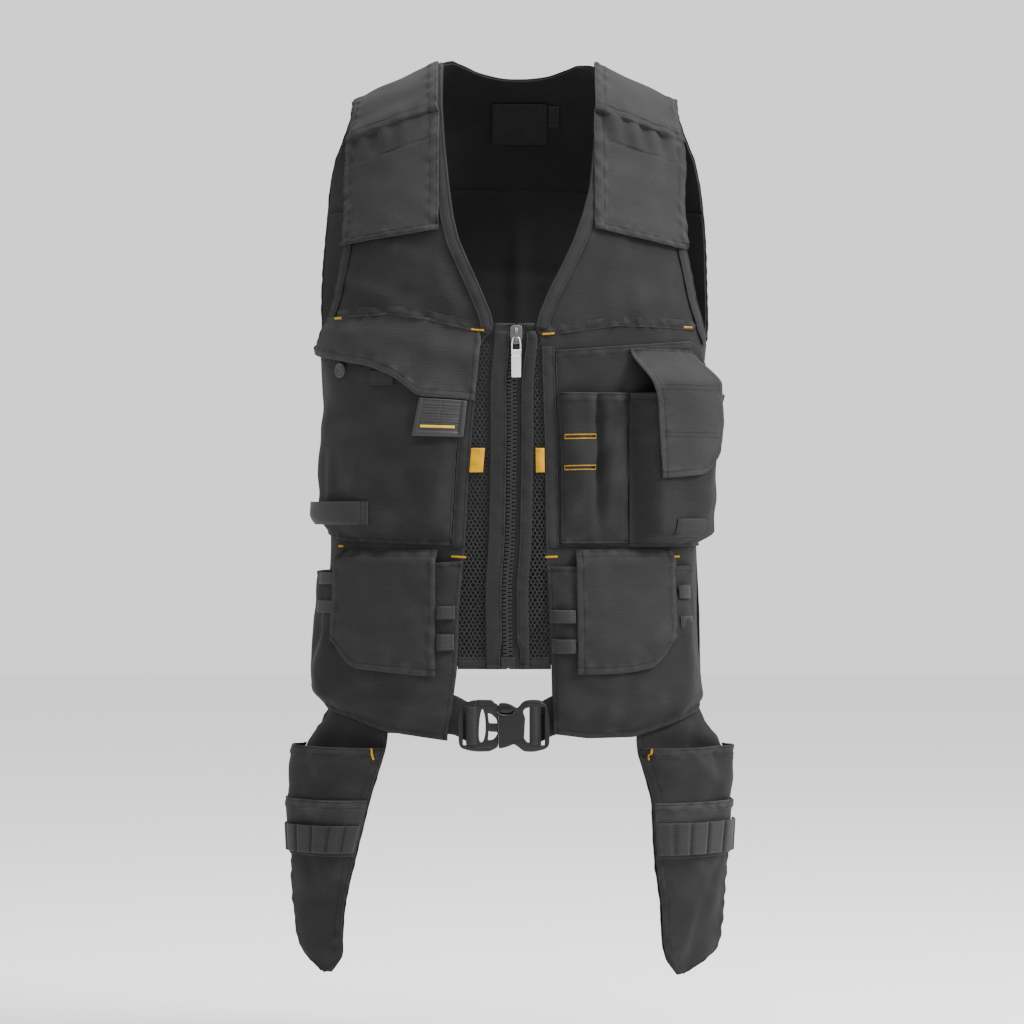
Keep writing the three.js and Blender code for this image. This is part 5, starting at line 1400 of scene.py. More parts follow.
def plate(outline: Array, depth: float, holes: Sequence[Array] = (), bevel: float = 0.6) -> Shape:
    """An outline with holes, pushed through a depth about its own plane, with rounded rims."""
    curve = bpy.data.curves.new("outline", "CURVE")
    curve.dimensions = "2D"
    curve.fill_mode = "BOTH"
    curve.extrude = depth / 2 - bevel
    curve.bevel_depth = bevel
    curve.bevel_resolution = 2
    curve.offset = -bevel
    for ring in (outline, *holes):
        spline = curve.splines.new("POLY")
        spline.points.add(len(ring) - 1)
        spline.points.foreach_set(
            "co", np.column_stack([ring, np.zeros(len(ring)),
                                   np.ones(len(ring))]).astype(np.float32).ravel())
        spline.use_cyclic_u = True
    drawn = bpy.data.objects.new("outline", curve)
    mesh = bpy.data.meshes.new_from_object(drawn)
    bpy.data.objects.remove(drawn)
    work = bmesh.new()
    work.from_mesh(mesh)
    bmesh.ops.remove_doubles(work, verts=work.verts, dist=1e-4)
    bmesh.ops.recalc_face_normals(work, faces=work.faces)
    points = np.array([(v.co.x, v.co.z, v.co.y) for v in work.verts])
    faces = [tuple(v.index for v in reversed(f.verts)) for f in work.faces]
    work.free()
    return Shape(points, faces)


def turned(profile: Sequence[tuple[float, float]], steps: int = 40) -> Shape:
    """A profile of (radius, out) turned about the out axis; its ends close on the axis."""
    points, faces = [], []
    for radius, out in profile:
        for k in range(steps):
            angle = 2 * math.pi * k / steps
            points.append((radius * math.cos(angle), out, radius * math.sin(angle)))
    for ring in range(len(profile) - 1):
        for k in range(steps):
            a, b = ring * steps + k, ring * steps + (k + 1) % steps
            faces.append((a, b, b + steps, a + steps))
    last = (len(profile) - 1) * steps
    faces.append(tuple(reversed(range(steps))))
    faces.append(tuple(range(last, last + steps)))
    return Shape(np.array(points), faces)


def tube(path: Sequence[tuple[float, float, float]], radius: float, sides: int = 10,
         closed: bool = False) -> Shape:
    """A round bar along a path of (across, out, up) points."""
    line = np.array(path, float)
    ahead = (np.roll(line, -1, axis=0) - np.roll(line, 1, axis=0)) if closed else np.gradient(line, axis=0)
    ahead /= np.linalg.norm(ahead, axis=1, keepdims=True)
    side = np.cross(ahead, np.array([0.31, 0.92, 0.23]))
    side /= np.linalg.norm(side, axis=1, keepdims=True)
    other = np.cross(ahead, side)
    angle = np.linspace(0.0, 2 * math.pi, sides, endpoint=False)
    rings = (line[:, None] + radius * (side[:, None] * np.cos(angle)[None, :, None]
                                       + other[:, None] * np.sin(angle)[None, :, None]))
    count, faces = len(line), []
    for ring in range(count if closed else count - 1):
        for k in range(sides):
            a, b = ring * sides + k, ring * sides + (k + 1) % sides
            after = ((ring + 1) % count) * sides
            faces.append((a, b, after + (k + 1) % sides, after + k))
    if not closed:
        faces.append(tuple(reversed(range(sides))))
        faces.append(tuple(range((count - 1) * sides, count * sides)))
    return Shape(rings.reshape(-1, 3), faces)


@dataclass
class Seat:
    """Where a hard piece sits: upright on the form, turned to face outward."""

    s: float
    drop: float
    out: float = 0.0

    def world(self, points: Array) -> Array:
        """Points (across, out, up) of the piece, placed on the form."""
        base, normal = FORM.place(np.array([self.s]), np.array([self.drop]))
        base, normal = base[0], normal[0]
        yaw = math.atan2(normal[0], -normal[1])
        across = np.array([math.cos(yaw), math.sin(yaw), 0.0])
        out = np.array([math.sin(yaw), -math.cos(yaw), 0.0])
        up = np.array([0.0, 0.0, 1.0])
        return (base + normal * self.out + points[:, :1] * across + points[:, 1:2] * out
                + points[:, 2:] * up)


@dataclass
class Moulder:
    """Makes the hard pieces."""

    tailor: Tailor

    def make(self, name: str, shapes: Sequence[Shape], finish: MouldedFinish, slot: str, seat: Seat,
             nodes: Sequence[str] = (), body: str = "vest") -> bpy.types.Object:
        """Sets several forms on one seat as one piece."""
        points, faces, start = [], [], 0
        for shape in shapes:
            points.append(shape.points)
            faces += [tuple(start + k for k in face) for face in shape.faces]
            start += len(shape.points)
        obj = mesh_object(name, seat.world(np.concatenate(points)), faces,
                          [self.tailor.wardrobe.take(finish)])
        outward(obj)
        obj.data.polygons.foreach_set("use_smooth", np.ones(len(obj.data.polygons), bool))
        self.crisp(obj)
        kept, self.tailor.body = self.tailor.body, body
        self.tailor.own(obj, slot, *nodes)
        self.tailor.body = kept
        return obj

    @staticmethod
    def crisp(obj: bpy.types.Object, angle: float = 38.0) -> None:
        """Keeps the sharp corners of a smooth-shaded piece."""
        work = bmesh.new()
        work.from_mesh(obj.data)
        for edge in work.edges:
            if len(edge.link_faces) == 2 and edge.calc_face_angle(0.0) > math.radians(angle):
                edge.smooth = False
        work.to_mesh(obj.data)
        work.free()


ZIP_LINE = np.array([[0.44, 0.008], [0.48, 0.003], [0.54, -0.016], [0.62, -0.016], [0.80, -0.027],
                     [0.87, -0.042], [1.00, -0.036]])


def zip_line(drop: Array) -> Array:
    """Where the zip's middle runs across."""
    return FORM.across(cubic(ZIP_LINE, 1, np.asarray(drop, float) / FORM.length))


@dataclass
class FrontZip:
    """The zip with its teeth, tapes, plackets, slider, pull and box, and the net beside it."""

    tailor: Tailor
    moulder: Moulder
    top: float = FORM.down(0.4452)
    slider_top: float = FORM.down(0.4484)
    net_top: float = FORM.down(0.4774)
    end: float = FORM.length
    teeth_width: float = 10.4
    tape_width: float = 15.5
    tooth_pitch: float = 3.9

    def build(self) -> None:
        """Makes every piece of the zip."""
        self.slider_end = self.slider_top + 19.0
        self.box_top = self.end - 14.0
        pieces = []
        for hand in Hand:
            pieces += self.side(hand)
            self.net(hand)
            edge = FRONT_EDGES[hand]
            strip = Patch(hand, self.tape_outer(hand), lambda drop, edge=edge: edge(drop) - 0.3,
                          level(self.end - 12.0), level(self.end))
            pieces.append(self.tailor.sheet(f"{hand.word}_net_hem", strip, 0.0, BINDING, "binding",
                                            node=False,
                                            pitch=3.0, held="stretched",
                                            hems={"top": TAPED, "bottom": TAPED}))
        self.tailor.stitch("zip_stitches", pieces)
        self.teeth()
        self.slider()
        self.box()

    def tape_outer(self, hand: Hand) -> Edge:
        """Outer edge of a tape."""
        return lambda drop: np.minimum(
            hand * zip_line(drop) + self.teeth_width / 2 + LAYERS.seam + self.tape_width,
            FRONT_EDGES[hand](drop) - 2 * LAYERS.seam)

    def core(self, drop: Array) -> Array:
        """Half the room that the chain, the slider or the box takes."""
        slider = 0.8 * (1 - smooth(self.slider_end + 2, self.slider_end + 20, drop))
        box = 2.55 * smooth(self.box_top - 14, self.box_top - 4, drop)
        return self.teeth_width / 2 + LAYERS.seam + 0.3 + slider + box

    def side(self, hand: Hand) -> list[Sewn]:
        """Tape and placket of one side."""
        offset = 0.8 if hand == Hand.RIGHT else 5.0
        tape = Patch(hand, lambda drop: hand * zip_line(drop) + 0.9, self.tape_outer(hand), level(self.top),
                     level(self.end))
        placket = Patch(hand, lambda drop: hand * zip_line(drop) + self.core(drop) + offset - 1.6,
                        self.tape_outer(hand), level(self.top + 8), level(self.end))

        def gathered(u: Array, v: Array, s: Array, drop: Array) -> Array:
            return 1.3 * ripple(s, drop, 13.0, 21) * (1 - smooth(self.top, self.top + 22, drop))
        made = [self.tailor.sheet(f"{hand.word}_zip_tape", tape, -0.2, TAPE, "webbing", folds=gathered,
                                  hems={"top": Hem(3.0, 0.5, ())}, pitch=2.5, held="stretched")]
        made.append(self.tailor.sheet(
            f"{hand.word}_zip_placket", placket, LAYERS.height(1), CANVAS, "canvas", pitch=3.0,
            folds=gathered,
            hems={"inner": Hem(3.2, 0.25, (2.2,)), "bottom": Hem(6.0, 0.3, (4.8,))}))
        return made

    def net(self, hand: Hand) -> None:
        """The net strip: a sheet of hexagonal cells with rounded holes."""
        wide, tall, lift, half = 4.4, 7.4, 0.0, 0.55
        edge_in, edge_out = self.tape_outer(hand), FRONT_EDGES[hand]
        centres = []
        for row in range(int((self.end - self.net_top) / (tall / 2)) + 1):
            drop = self.net_top + row * tall / 2
            low, high = float(edge_in(np.array([drop]))[0]) - 1.5, float(edge_out(np.array([drop]))[0]) + 2.2
            first = math.ceil(low / wide - (row % 2) / 2)
            while (first + (row % 2) / 2) * wide < high and drop < self.end - 8.0:
                centres.append(((first + (row % 2) / 2) * wide, drop))
                first += 1
        angle = np.linspace(0.0, 2 * math.pi, 12, endpoint=False)
        hexagon = np.array([(0.0, 2.45), (0.5 * wide, 1.25), (0.5 * wide, -1.25), (0.0, -2.45),
                            (-0.5 * wide, -1.25), (-0.5 * wide, 1.25)])
        middle = (hexagon + np.roll(hexagon, -1, axis=0)) / 2
        border = np.stack([hexagon, middle], axis=1).reshape(-1, 2)
        hole = np.stack([1.38 * np.sin(angle), 1.72 * np.cos(angle)], axis=-1)
        places = np.array(centres)[:, None, :] + np.concatenate([border, hole])[None]
        uneven = 0.22 * np.stack([ripple(places[..., 0], places[..., 1], 9.0, 31),
                                  ripple(places[..., 0], places[..., 1], 9.0, 32)], axis=-1)
        places = places + uneven
        s, drop = hand * places[..., 0], places[..., 1]
        ground, normals = FORM.place(s, drop)
        rounding = np.concatenate([np.full(12, half), np.full(12, 0.30)])[None, :, None]
        top = ground + normals * (lift + rounding)
        below = ground + normals * (lift - rounding)
        cells, faces = len(centres), []
        for cell in range(cells):
            a, b = cell * 24, (cells + cell) * 24
            for k in range(12):
                n = (k + 1) % 12
                faces.append((a + k, a + n, a + 12 + n, a + 12 + k))
                faces.append((b + k, b + 12 + k, b + 12 + n, b + n))
                faces.append((a + 12 + k, a + 12 + n, b + 12 + n, b + 12 + k))
        obj = mesh_object(f"{hand.word}_mesh_panel_net", np.concatenate([top, below]).reshape(-1, 3), faces,
                          [self.tailor.wardrobe.take(NET)])
        flat = np.stack([s, drop], axis=-1).reshape(-1, 2)
        flat = np.concatenate([flat, flat]) * MM
        corners = np.empty(len(obj.data.loops), np.int32)
        obj.data.loops.foreach_get("vertex_index", corners)
        obj.data.uv_layers.new(name="cloth").data.foreach_set("uv", flat[corners].ravel())
        work = bmesh.new()
        work.from_mesh(obj.data)
        bmesh.ops.remove_doubles(work, verts=work.verts, dist=2e-5)
        bmesh.ops.holes_fill(work, edges=[e for e in work.edges if e.is_boundary], sides=4)
        bmesh.ops.recalc_face_normals(work, faces=work.faces)
        work.to_mesh(obj.data)
        work.free()
        self.tailor.own(obj, "mesh_cloth", f"{hand.word}_mesh_panel")

    def teeth(self) -> None:
        """Moulded teeth that meet along the zip's line."""
        shape = plate(filleted([(-4.0, -1.25), (0.1, -1.25), (0.5, -0.7), (0.9, -1.35), (2.1, -1.1),
                                (2.1, 1.1),
                                (0.9, 1.35), (0.5, 0.7), (0.1, 1.25), (-4.0, 1.25)], 0.5, 2), 2.9, (), 0.45)
        points = shape.points[:, [0, 2, 1]]
        tooth = mesh_object("tooth_shape", points, shape.faces, [])
        outward(tooth)
        start, stop = self.slider_end - 1.0, self.box_top + 1.0
        drops = np.arange(start, stop, self.tooth_pitch / 2)
        hands = np.where(np.arange(len(drops)) % 2 == 0, 1.0, -1.0)
        s = zip_line(drops) + hands * 0.9
        points, normals = FORM.place(s, drops)
        further, _ = FORM.place(s + 1.0, drops)
        ahead = (points - further) * hands[:, None]
        obj = self.tailor.repeater.scatter("zip_teeth", points + normals * 1.0, normals, ahead, tooth,
                                           (1.0, 1.0, 1.0), self.tailor.wardrobe.take(TEETH))
        bpy.data.objects.remove(tooth)
        self.tailor.own(obj, "black_plastic", "zip_chain")

    def slider(self) -> None:
        """The slider with its bridge, and the pull that hangs from it."""
        at = self.slider_top + 9.5
        seat = Seat(float(zip_line(at)), at)
        outline = filleted([(-6, 8.0), (-3.6, 9.5), (3.6, 9.5), (6, 8.0), (6, -2.0), (4.6, -9.5),
                            (-4.6, -9.5),
                            (-6, -2.0)], 2.2)
        face = plate(outline, 1.9, (), 0.6)
        lips = [plate(filleted([(x, 7.5), (x + side, 7.5), (x + side, -2.0), (x - 0.7 * side, -8.5),
                                (x - 1.7 * side, -8.5), (x, -2.0)], 0.7), 5.6, (), 0.4)
                for x, side in ((4.7, 1.2), (-4.7, -1.2))]
        arch = tube([(0, 3.4, 6.4), (0, 6.6, 6.0), (0, 7.7, 4.6), (0, 7.8, 0), (0, 7.7, -4.6),
                     (0, 6.6, -6.0),
                     (0, 3.4, -6.4)], 0.9)
        wide = [Shape(arch.points * np.array([1.0, 1.0, 1.0]) + np.array([x, 0, 0]), arch.faces)
                for x in (-0.75, 0.0, 0.75)]
        core = plate(filleted([(-1.6, 9.0), (1.6, 9.0), (0.8, 2.0), (-0.8, 2.0)], 0.8), 5.8, (), 0.3)
        self.moulder.make("zip_slider_body", [face.moved(out=3.0), face.moved(out=-3.0), *lips, *wide, core],
                          DARK_METAL, "grey_metal", seat, ("zip_slider",))
        bridge_end, bar, deep = 6.5, 1.6, 1.8
        room = math.hypot(deep, deep) / 2 + 0.2
        below = bridge_end - bar - room
        pull_out = (4.0 + 8.6 - bar) / 2
        eye_end = -(below + bridge_end + deep)
        ring = [(-3.1, 0, -0.9), (-2.4, 0, 0.2), (-1.0, 0, 0.75), (1.0, 0, 0.75), (2.4, 0, 0.2),
                (3.1, 0, -0.9),
                (4.2, 0, -5.0), (4.4, 0, eye_end), (3.9, 0, eye_end - 1.5), (-3.9, 0, eye_end - 1.5),
                (-4.4, 0, eye_end), (-4.2, 0, -5.0)]
        wire = tube(ring, 0.75, 10, True)
        head = filleted([(-4.9, eye_end + 0.4), (4.9, eye_end + 0.4), (4.9, eye_end - 5.2),
                         (-4.9, eye_end - 5.2)], 0.7)
        grip = filleted([(-4.9, eye_end - 5.9), (4.9, eye_end - 5.9), (4.7, -38.9), (-4.7, -38.9)], 0.8)
        neck = filleted([(-4.5, eye_end - 4.0), (4.5, eye_end - 4.0), (4.5, eye_end - 7.0),
                         (-4.5, eye_end - 7.0)], 0.4)
        self.moulder.make("zip_pull_tab", [
            wire.moved(up=-below), plate(head, deep, (), 0.45).moved(up=-below),
            plate(grip, deep, (), 0.45).moved(up=-below), plate(neck, 1.0, (), 0.2).moved(up=-below),
        ], METAL, "grey_metal", Seat(seat.s, seat.drop, pull_out), ("zip_pull",), "zip_pull")

    def box(self) -> None:
        """The box and pin at the zip's lower end."""
        at = self.end - 1 - 5.5
        block = plate(filleted([(-7.6, 5.4), (7.6, 5.4), (7.0, -5.4), (-7.0, -5.4)], 1.4), 4.6, (), 0.8)
        ribs = [plate(filleted([(x - 0.7, 4.2), (x + 0.7, 4.2), (x + 0.7, -4.2), (x - 0.7, -4.2)], 0.5), 5.4,
                      (), 0.3)
                for x in (-4.8, -1.6, 1.6, 4.8)]
        self.moulder.make("zip_box_block", [block, *ribs], TEETH, "black_plastic",
                          Seat(float(zip_line(at)), at, 0.3), ("zip_box",))


DARK_METAL = MouldedFinish("dark_metal", (0.10, 0.10, 0.105), 0.35, 0.8, grain=600.0, depth=0.00001)


@dataclass
class Probe:
    """Finds the outermost cloth at a place, so that a small piece can lie on it."""

    objects: Sequence[bpy.types.Object]
    reach: float = 90.0

    def __post_init__(self) -> None:
        """Gathers the pieces into one search tree."""
        points, faces, start = [], [], 0
        for obj in self.objects:
            mesh = obj.data
            count = len(mesh.vertices)
            flat = np.empty(3 * count, np.float32)
            mesh.vertices.foreach_get("co", flat)
            points.append(flat.reshape(-1, 3))
            faces += [tuple(start + k for k in polygon.vertices) for polygon in mesh.polygons]
            start += count
        self.tree = BVHTree.FromPolygons(np.concatenate(points).tolist(), faces)

    def touch(self, s: Array, drop: Array, ground: Ground | None = None) -> tuple[Array, Array]:
        """Points on the outermost cloth in mm, and their outward directions."""
        base, normals = (ground or FORM.place)(s, drop)
        found, toward = base.copy(), normals.copy()
        for k in range(len(base)):
            start = (base[k] + normals[k] * self.reach) * MM
            hit, normal, _, _ = self.tree.ray_cast(Vector(start), Vector(-normals[k]), 2.2 * self.reach * MM)
            if hit is not None:
                found[k] = np.array(hit) / MM
                toward[k] = np.array(normal) * (1.0 if np.dot(normal, normals[k]) > 0 else -1.0)
        return found, toward


@dataclass
class Facings:
    """The narrow strips and the yellow tape tabs beside the front edges."""

    tailor: Tailor

    def build(self) -> list[Sewn]:
        """Cuts both strips and both tabs."""
        strips = []
        for hand, width in ((Hand.RIGHT, 13.5), (Hand.LEFT, 8.6)):
            inner = facing_inner(hand)
            strip = Patch(hand, inner, lambda drop, inner=inner: inner(drop) + 12.6,
                          level(FORM.down(0.482)), level(CHEST_POCKET_END))
            strips.append(self.tailor.sheet(
                f"{hand.word}_pocket_facing", strip, LAYERS.height(1), BINDING, "binding", held="stretched",
                hems={"inner": TAPED, "outer": TAPED, "bottom": Hem(0.0, 0.0, (1.6,), 0.1)}, pitch=3.0))
            edge, top = FRONT_EDGES[hand], FORM.down(0.6452)
            tab = Patch(hand, lambda drop, edge=edge, width=width: edge(drop) - LAYERS.seam - width,
                        lambda drop, edge=edge: edge(drop) - LAYERS.seam, level(top), level(top + 24.0))

            def bowed(u: Array, v: Array, s: Array, drop: Array) -> Array:
                return LAYERS.height(1) + 1.2 * swell(2, u) + 0.5 * ripple(s, drop, 18.0, 12)
            self.tailor.sheet(f"{hand.word}_yellow_tab", tab, bowed, YELLOW, "yellow_tape", held="folded",
                              pitch=1.2, wavy=0.12, hems={"inner": Hem(0.0, 0.0, (1.2,), 0.05)})
        self.tailor.stitch("facing_stitches", strips)
        return strips


@dataclass
class RightChest:
    """The right chest pocket, its flap, button, rubber tab and webbing loop."""

    tailor: Tailor
    moulder: Moulder
    top_rows: tuple = ((0.20, 0.500), (1.30, 0.478))
    end_rows: tuple = ((0.30, 0.802), (0.95, 0.795), (1.10, 0.790), (1.30, 0.782))
    flap_end: tuple = ((0.20, 0.569), (0.50, 0.562), (0.63, 0.530), (0.77, 0.512), (1.00, 0.500),
                       (1.29, 0.488))
    folds: tuple = (
        Crease(60, 380, 75, 470, 9, 1.2), Crease(110, 400, 88, 485, 8, -1.3),
        Crease(150, 395, 160, 480, 10, 1.5),
        Crease(200, 400, 190, 470, 8, 1.6), Crease(125, 350, 200, 372, 9, -0.9),
        Crease(70, 350, 130, 372, 8, 0.8),
        Crease(55, 478, 120, 470, 7, -1.0), Crease(150, 440, 215, 452, 8, 1.0))

    def __post_init__(self) -> None:
        """Lays out the pocket and its flap."""
        self.pocket = Patch(Hand.RIGHT, beside_facing(Hand.RIGHT), near_side(3), down_edge(self.top_rows),
                            down_edge(self.end_rows))
        edge = outer_edge(Side.FRONT)
        self.flap = Patch(
            Hand.RIGHT,
            lambda drop: np.maximum(FRONT_EDGES[Hand.RIGHT](drop) + 0.4,
                                    FORM.across(0.1789) - 0.1 * (drop - FORM.down(0.4677))),
            lambda drop: np.minimum(edge(drop) - 4, near_side(12)(drop)),
            lambda s: down_edge(CHEST_SEAMS[Hand.RIGHT])(s) - 2.5, softened(down_edge(self.flap_end), 3.0))

    def lift(self, u: Array, v: Array, s: Array, drop: Array) -> Array:
        """Height of the pocket: it sags down and out."""
        return (LAYERS.height(1) + mix(9.5, 16.0, np.clip(u, 0, 1) ** 2) * swell(8, u)
                * (0.18 + 0.82 * smooth(0, 0.6, v)) * (1 - smooth(0.88, 1, v)))

    def flap_lift(self, u: Array, v: Array, s: Array, drop: Array) -> Array:
        """Height of the flap over the pocket and the binding."""
        near = mix(1.8, 4.2, smooth(0.78, 0.88, u))
        full = over(self.pocket, self.lift)(u, v, s, drop) + 1.6 * v + 1.2 * smooth(0.6, 0.92, u) * (1 - v)
        return mix(near, full, smooth(0.04, 0.42, v))

    def build(self) -> list[bpy.types.Object]:
        """Makes every piece of the right chest."""
        def creased(u: Array, v: Array, s: Array, drop: Array) -> Array:
            height = (folded(self.folds, -s, drop)
                      + 1.3 * ripple(s, drop, 52.0, 41)) * swell(6, u) * swell(6, v)
            tab = Patch(Hand.RIGHT, level(44.0), level(102.0), level(345.0), level(392.0))
            return tucked(tab, tucked(self.flap, height, s, drop), s, drop)
        pocket = self.tailor.sheet(
            "right_chest_pocket", self.pocket, self.lift, CANVAS, "canvas", folds=creased, pitch=3.2,
            hems={"inner": TAPED, "bottom": Hem(5.0, 0.35, (3.8,), 0.5), "outer": TAPED}, wavy=0.4,
            rests_on=["right_front_panel_cloth"])
        hem = Hem(8.6, 0.75, (7.2,), 0.45)

        def flap_folds(u: Array, v: Array, s: Array, drop: Array) -> Array:
            return 0.8 * ripple(s, drop, 46.0, 43) * smooth(0.1, 0.5, v)
        flap = self.tailor.sheet(
            "right_chest_flap", self.flap, self.flap_lift, REINFORCED, "reinforced_cloth", folds=flap_folds,
            pitch=3.0, hems={"bottom": hem, "outer": Hem(6.0, 0.3, (4.6,), 0.1),
                             "inner": Hem(6.0, 0.5, (4.6,))}, rests_on=["right_chest_pocket_cloth"])
        loop = self.loop()
        self.tailor.stitch("right_chest_stitches", [pocket, flap, loop])
        tab = self.rubber()
        slot_tab = Patch(Hand.RIGHT, level(121.0), level(145.5), level(322.0), level(337.0))
        extra = self.tailor.sheet("button_slot_tab", slot_tab, lambda u, v, s, drop: over(
            self.pocket, self.lift)(u, v, s, drop) - 0.75, BINDING, "binding", node=False, wall=1.0,
            pitch=3.0,
            hems={"bottom": Hem(2.5, 0.3, (1.8,))})
        self.button([pocket.obj, flap.obj])
        return [pocket.obj, flap.obj, tab.obj, loop.obj, extra.obj]

    def loop(self) -> Sewn:
        """The wide webbing loop over the pocket's side."""
        top = FORM.down(0.7306)
        patch = Patch(Hand.RIGHT, level(FORM.across(0.7579)), level(FORM.across(1.2421)), level(top),
                      level(top + 23.0))
        base = over(self.pocket, self.lift, 0.2)
        return self.tailor.sheet(
            "right_webbing_loop", patch, lambda u, v, s, drop: base(u, v, s, drop) + 8 * swell(4, u),
            WEBBING,
            "webbing", wall=LAYERS.webbing, hems={"inner": Hem(0, 0, (2.5, 6.0), 0.1)}, pitch=2.5, wavy=0.3,
            held="stretched", rests_on=["right_chest_pocket_cloth"])

    def rubber(self) -> Sewn:
        """The rubber tab with its raised frame, ridges and yellow bar."""
        inner, top = FORM.across(0.2447), FORM.down(0.5677)
        edge = down_edge(self.flap_end, 1.0)
        patch = Patch(
            Hand.RIGHT, lambda drop: inner + 0.1 * (drop - top),
            lambda drop: inner + 47.0 + 0.16 * (drop - top),
            edge, lambda s: top + 37.0 - 0.032 * (s - inner - 47.0 / 3))

        def relief(u: Array, v: Array, s: Array, drop: Array) -> Array:
            across, down = u * 47.0, v * 36.0
            rim = np.minimum(np.minimum(across, 47.0 - across), np.minimum(down + 3.0, 36.0 - down))
            frame = bell(rim, 3.0, 1.1)
            inside = smooth(5.0, 5.8, rim) * (1 - smooth(24.5, 25.0,
                                                         down)) * smooth(0.7, 1.2, np.abs(across - 23.5))
            ridges = 0.5 + 0.5 * np.cos(2 * math.pi * down / 2.7)
            return 0.75 * frame + 0.55 * inside * ridges - 0.25 * smooth(4.2, 5.0, rim)
        base = over(self.pocket, self.lift, 2.2)
        sewn = self.tailor.sheet(
            "rubber_tab", patch, lambda u, v, s, drop: base(u, v, s, drop), RUBBER, "grey_rubber", wall=2.6,
            folds=relief, pitch=0.6, wavy=0.0, rests_on=["right_chest_pocket_cloth"])
        bar = Patch(Hand.RIGHT, level(inner + 12.0), level(inner + 44.5),
                    lambda s: 378.4 - 0.032 * (s - inner),
                    lambda s: 380.9 - 0.032 * (s - inner))
        self.tailor.sheet("rubber_tab_bar", bar, lambda u, v, s, drop: base(u, v, s, drop) + 1.5, YELLOW_BAR,
                          "grey_rubber", node=False, wall=0.8, pitch=1.0, wavy=0.0)
        return sewn

    def button(self, cloth: Sequence[bpy.types.Object]) -> None:
        """The ringed snap button at the flap's corner."""
        s, drop = -FORM.across(0.9632), FORM.down(0.5177)
        probe = Probe(cloth)
        found, _ = probe.touch(np.array([s]), np.array([drop]))
        ground, normal = FORM.place(np.array([s]), np.array([drop]))
        out = float(((found - ground) * normal).sum())
        profile = [(0.01, -1.6), (7.2, -1.6), (8.0, -0.9), (8.0, 1.0), (7.7, 1.8), (7.0, 2.3), (6.2, 2.3),
                   (5.7, 1.9), (5.3, 1.5), (4.4, 1.5), (3.9, 1.9), (3.3, 2.1), (2.4, 1.7), (1.2, 1.35),
                   (0.01, 1.3)]
        self.moulder.make("snap_button_cap", [turned(profile)], BUTTON, "grey_metal",
                          Seat(s, drop, out + 0.4),
                          ("snap_button",))


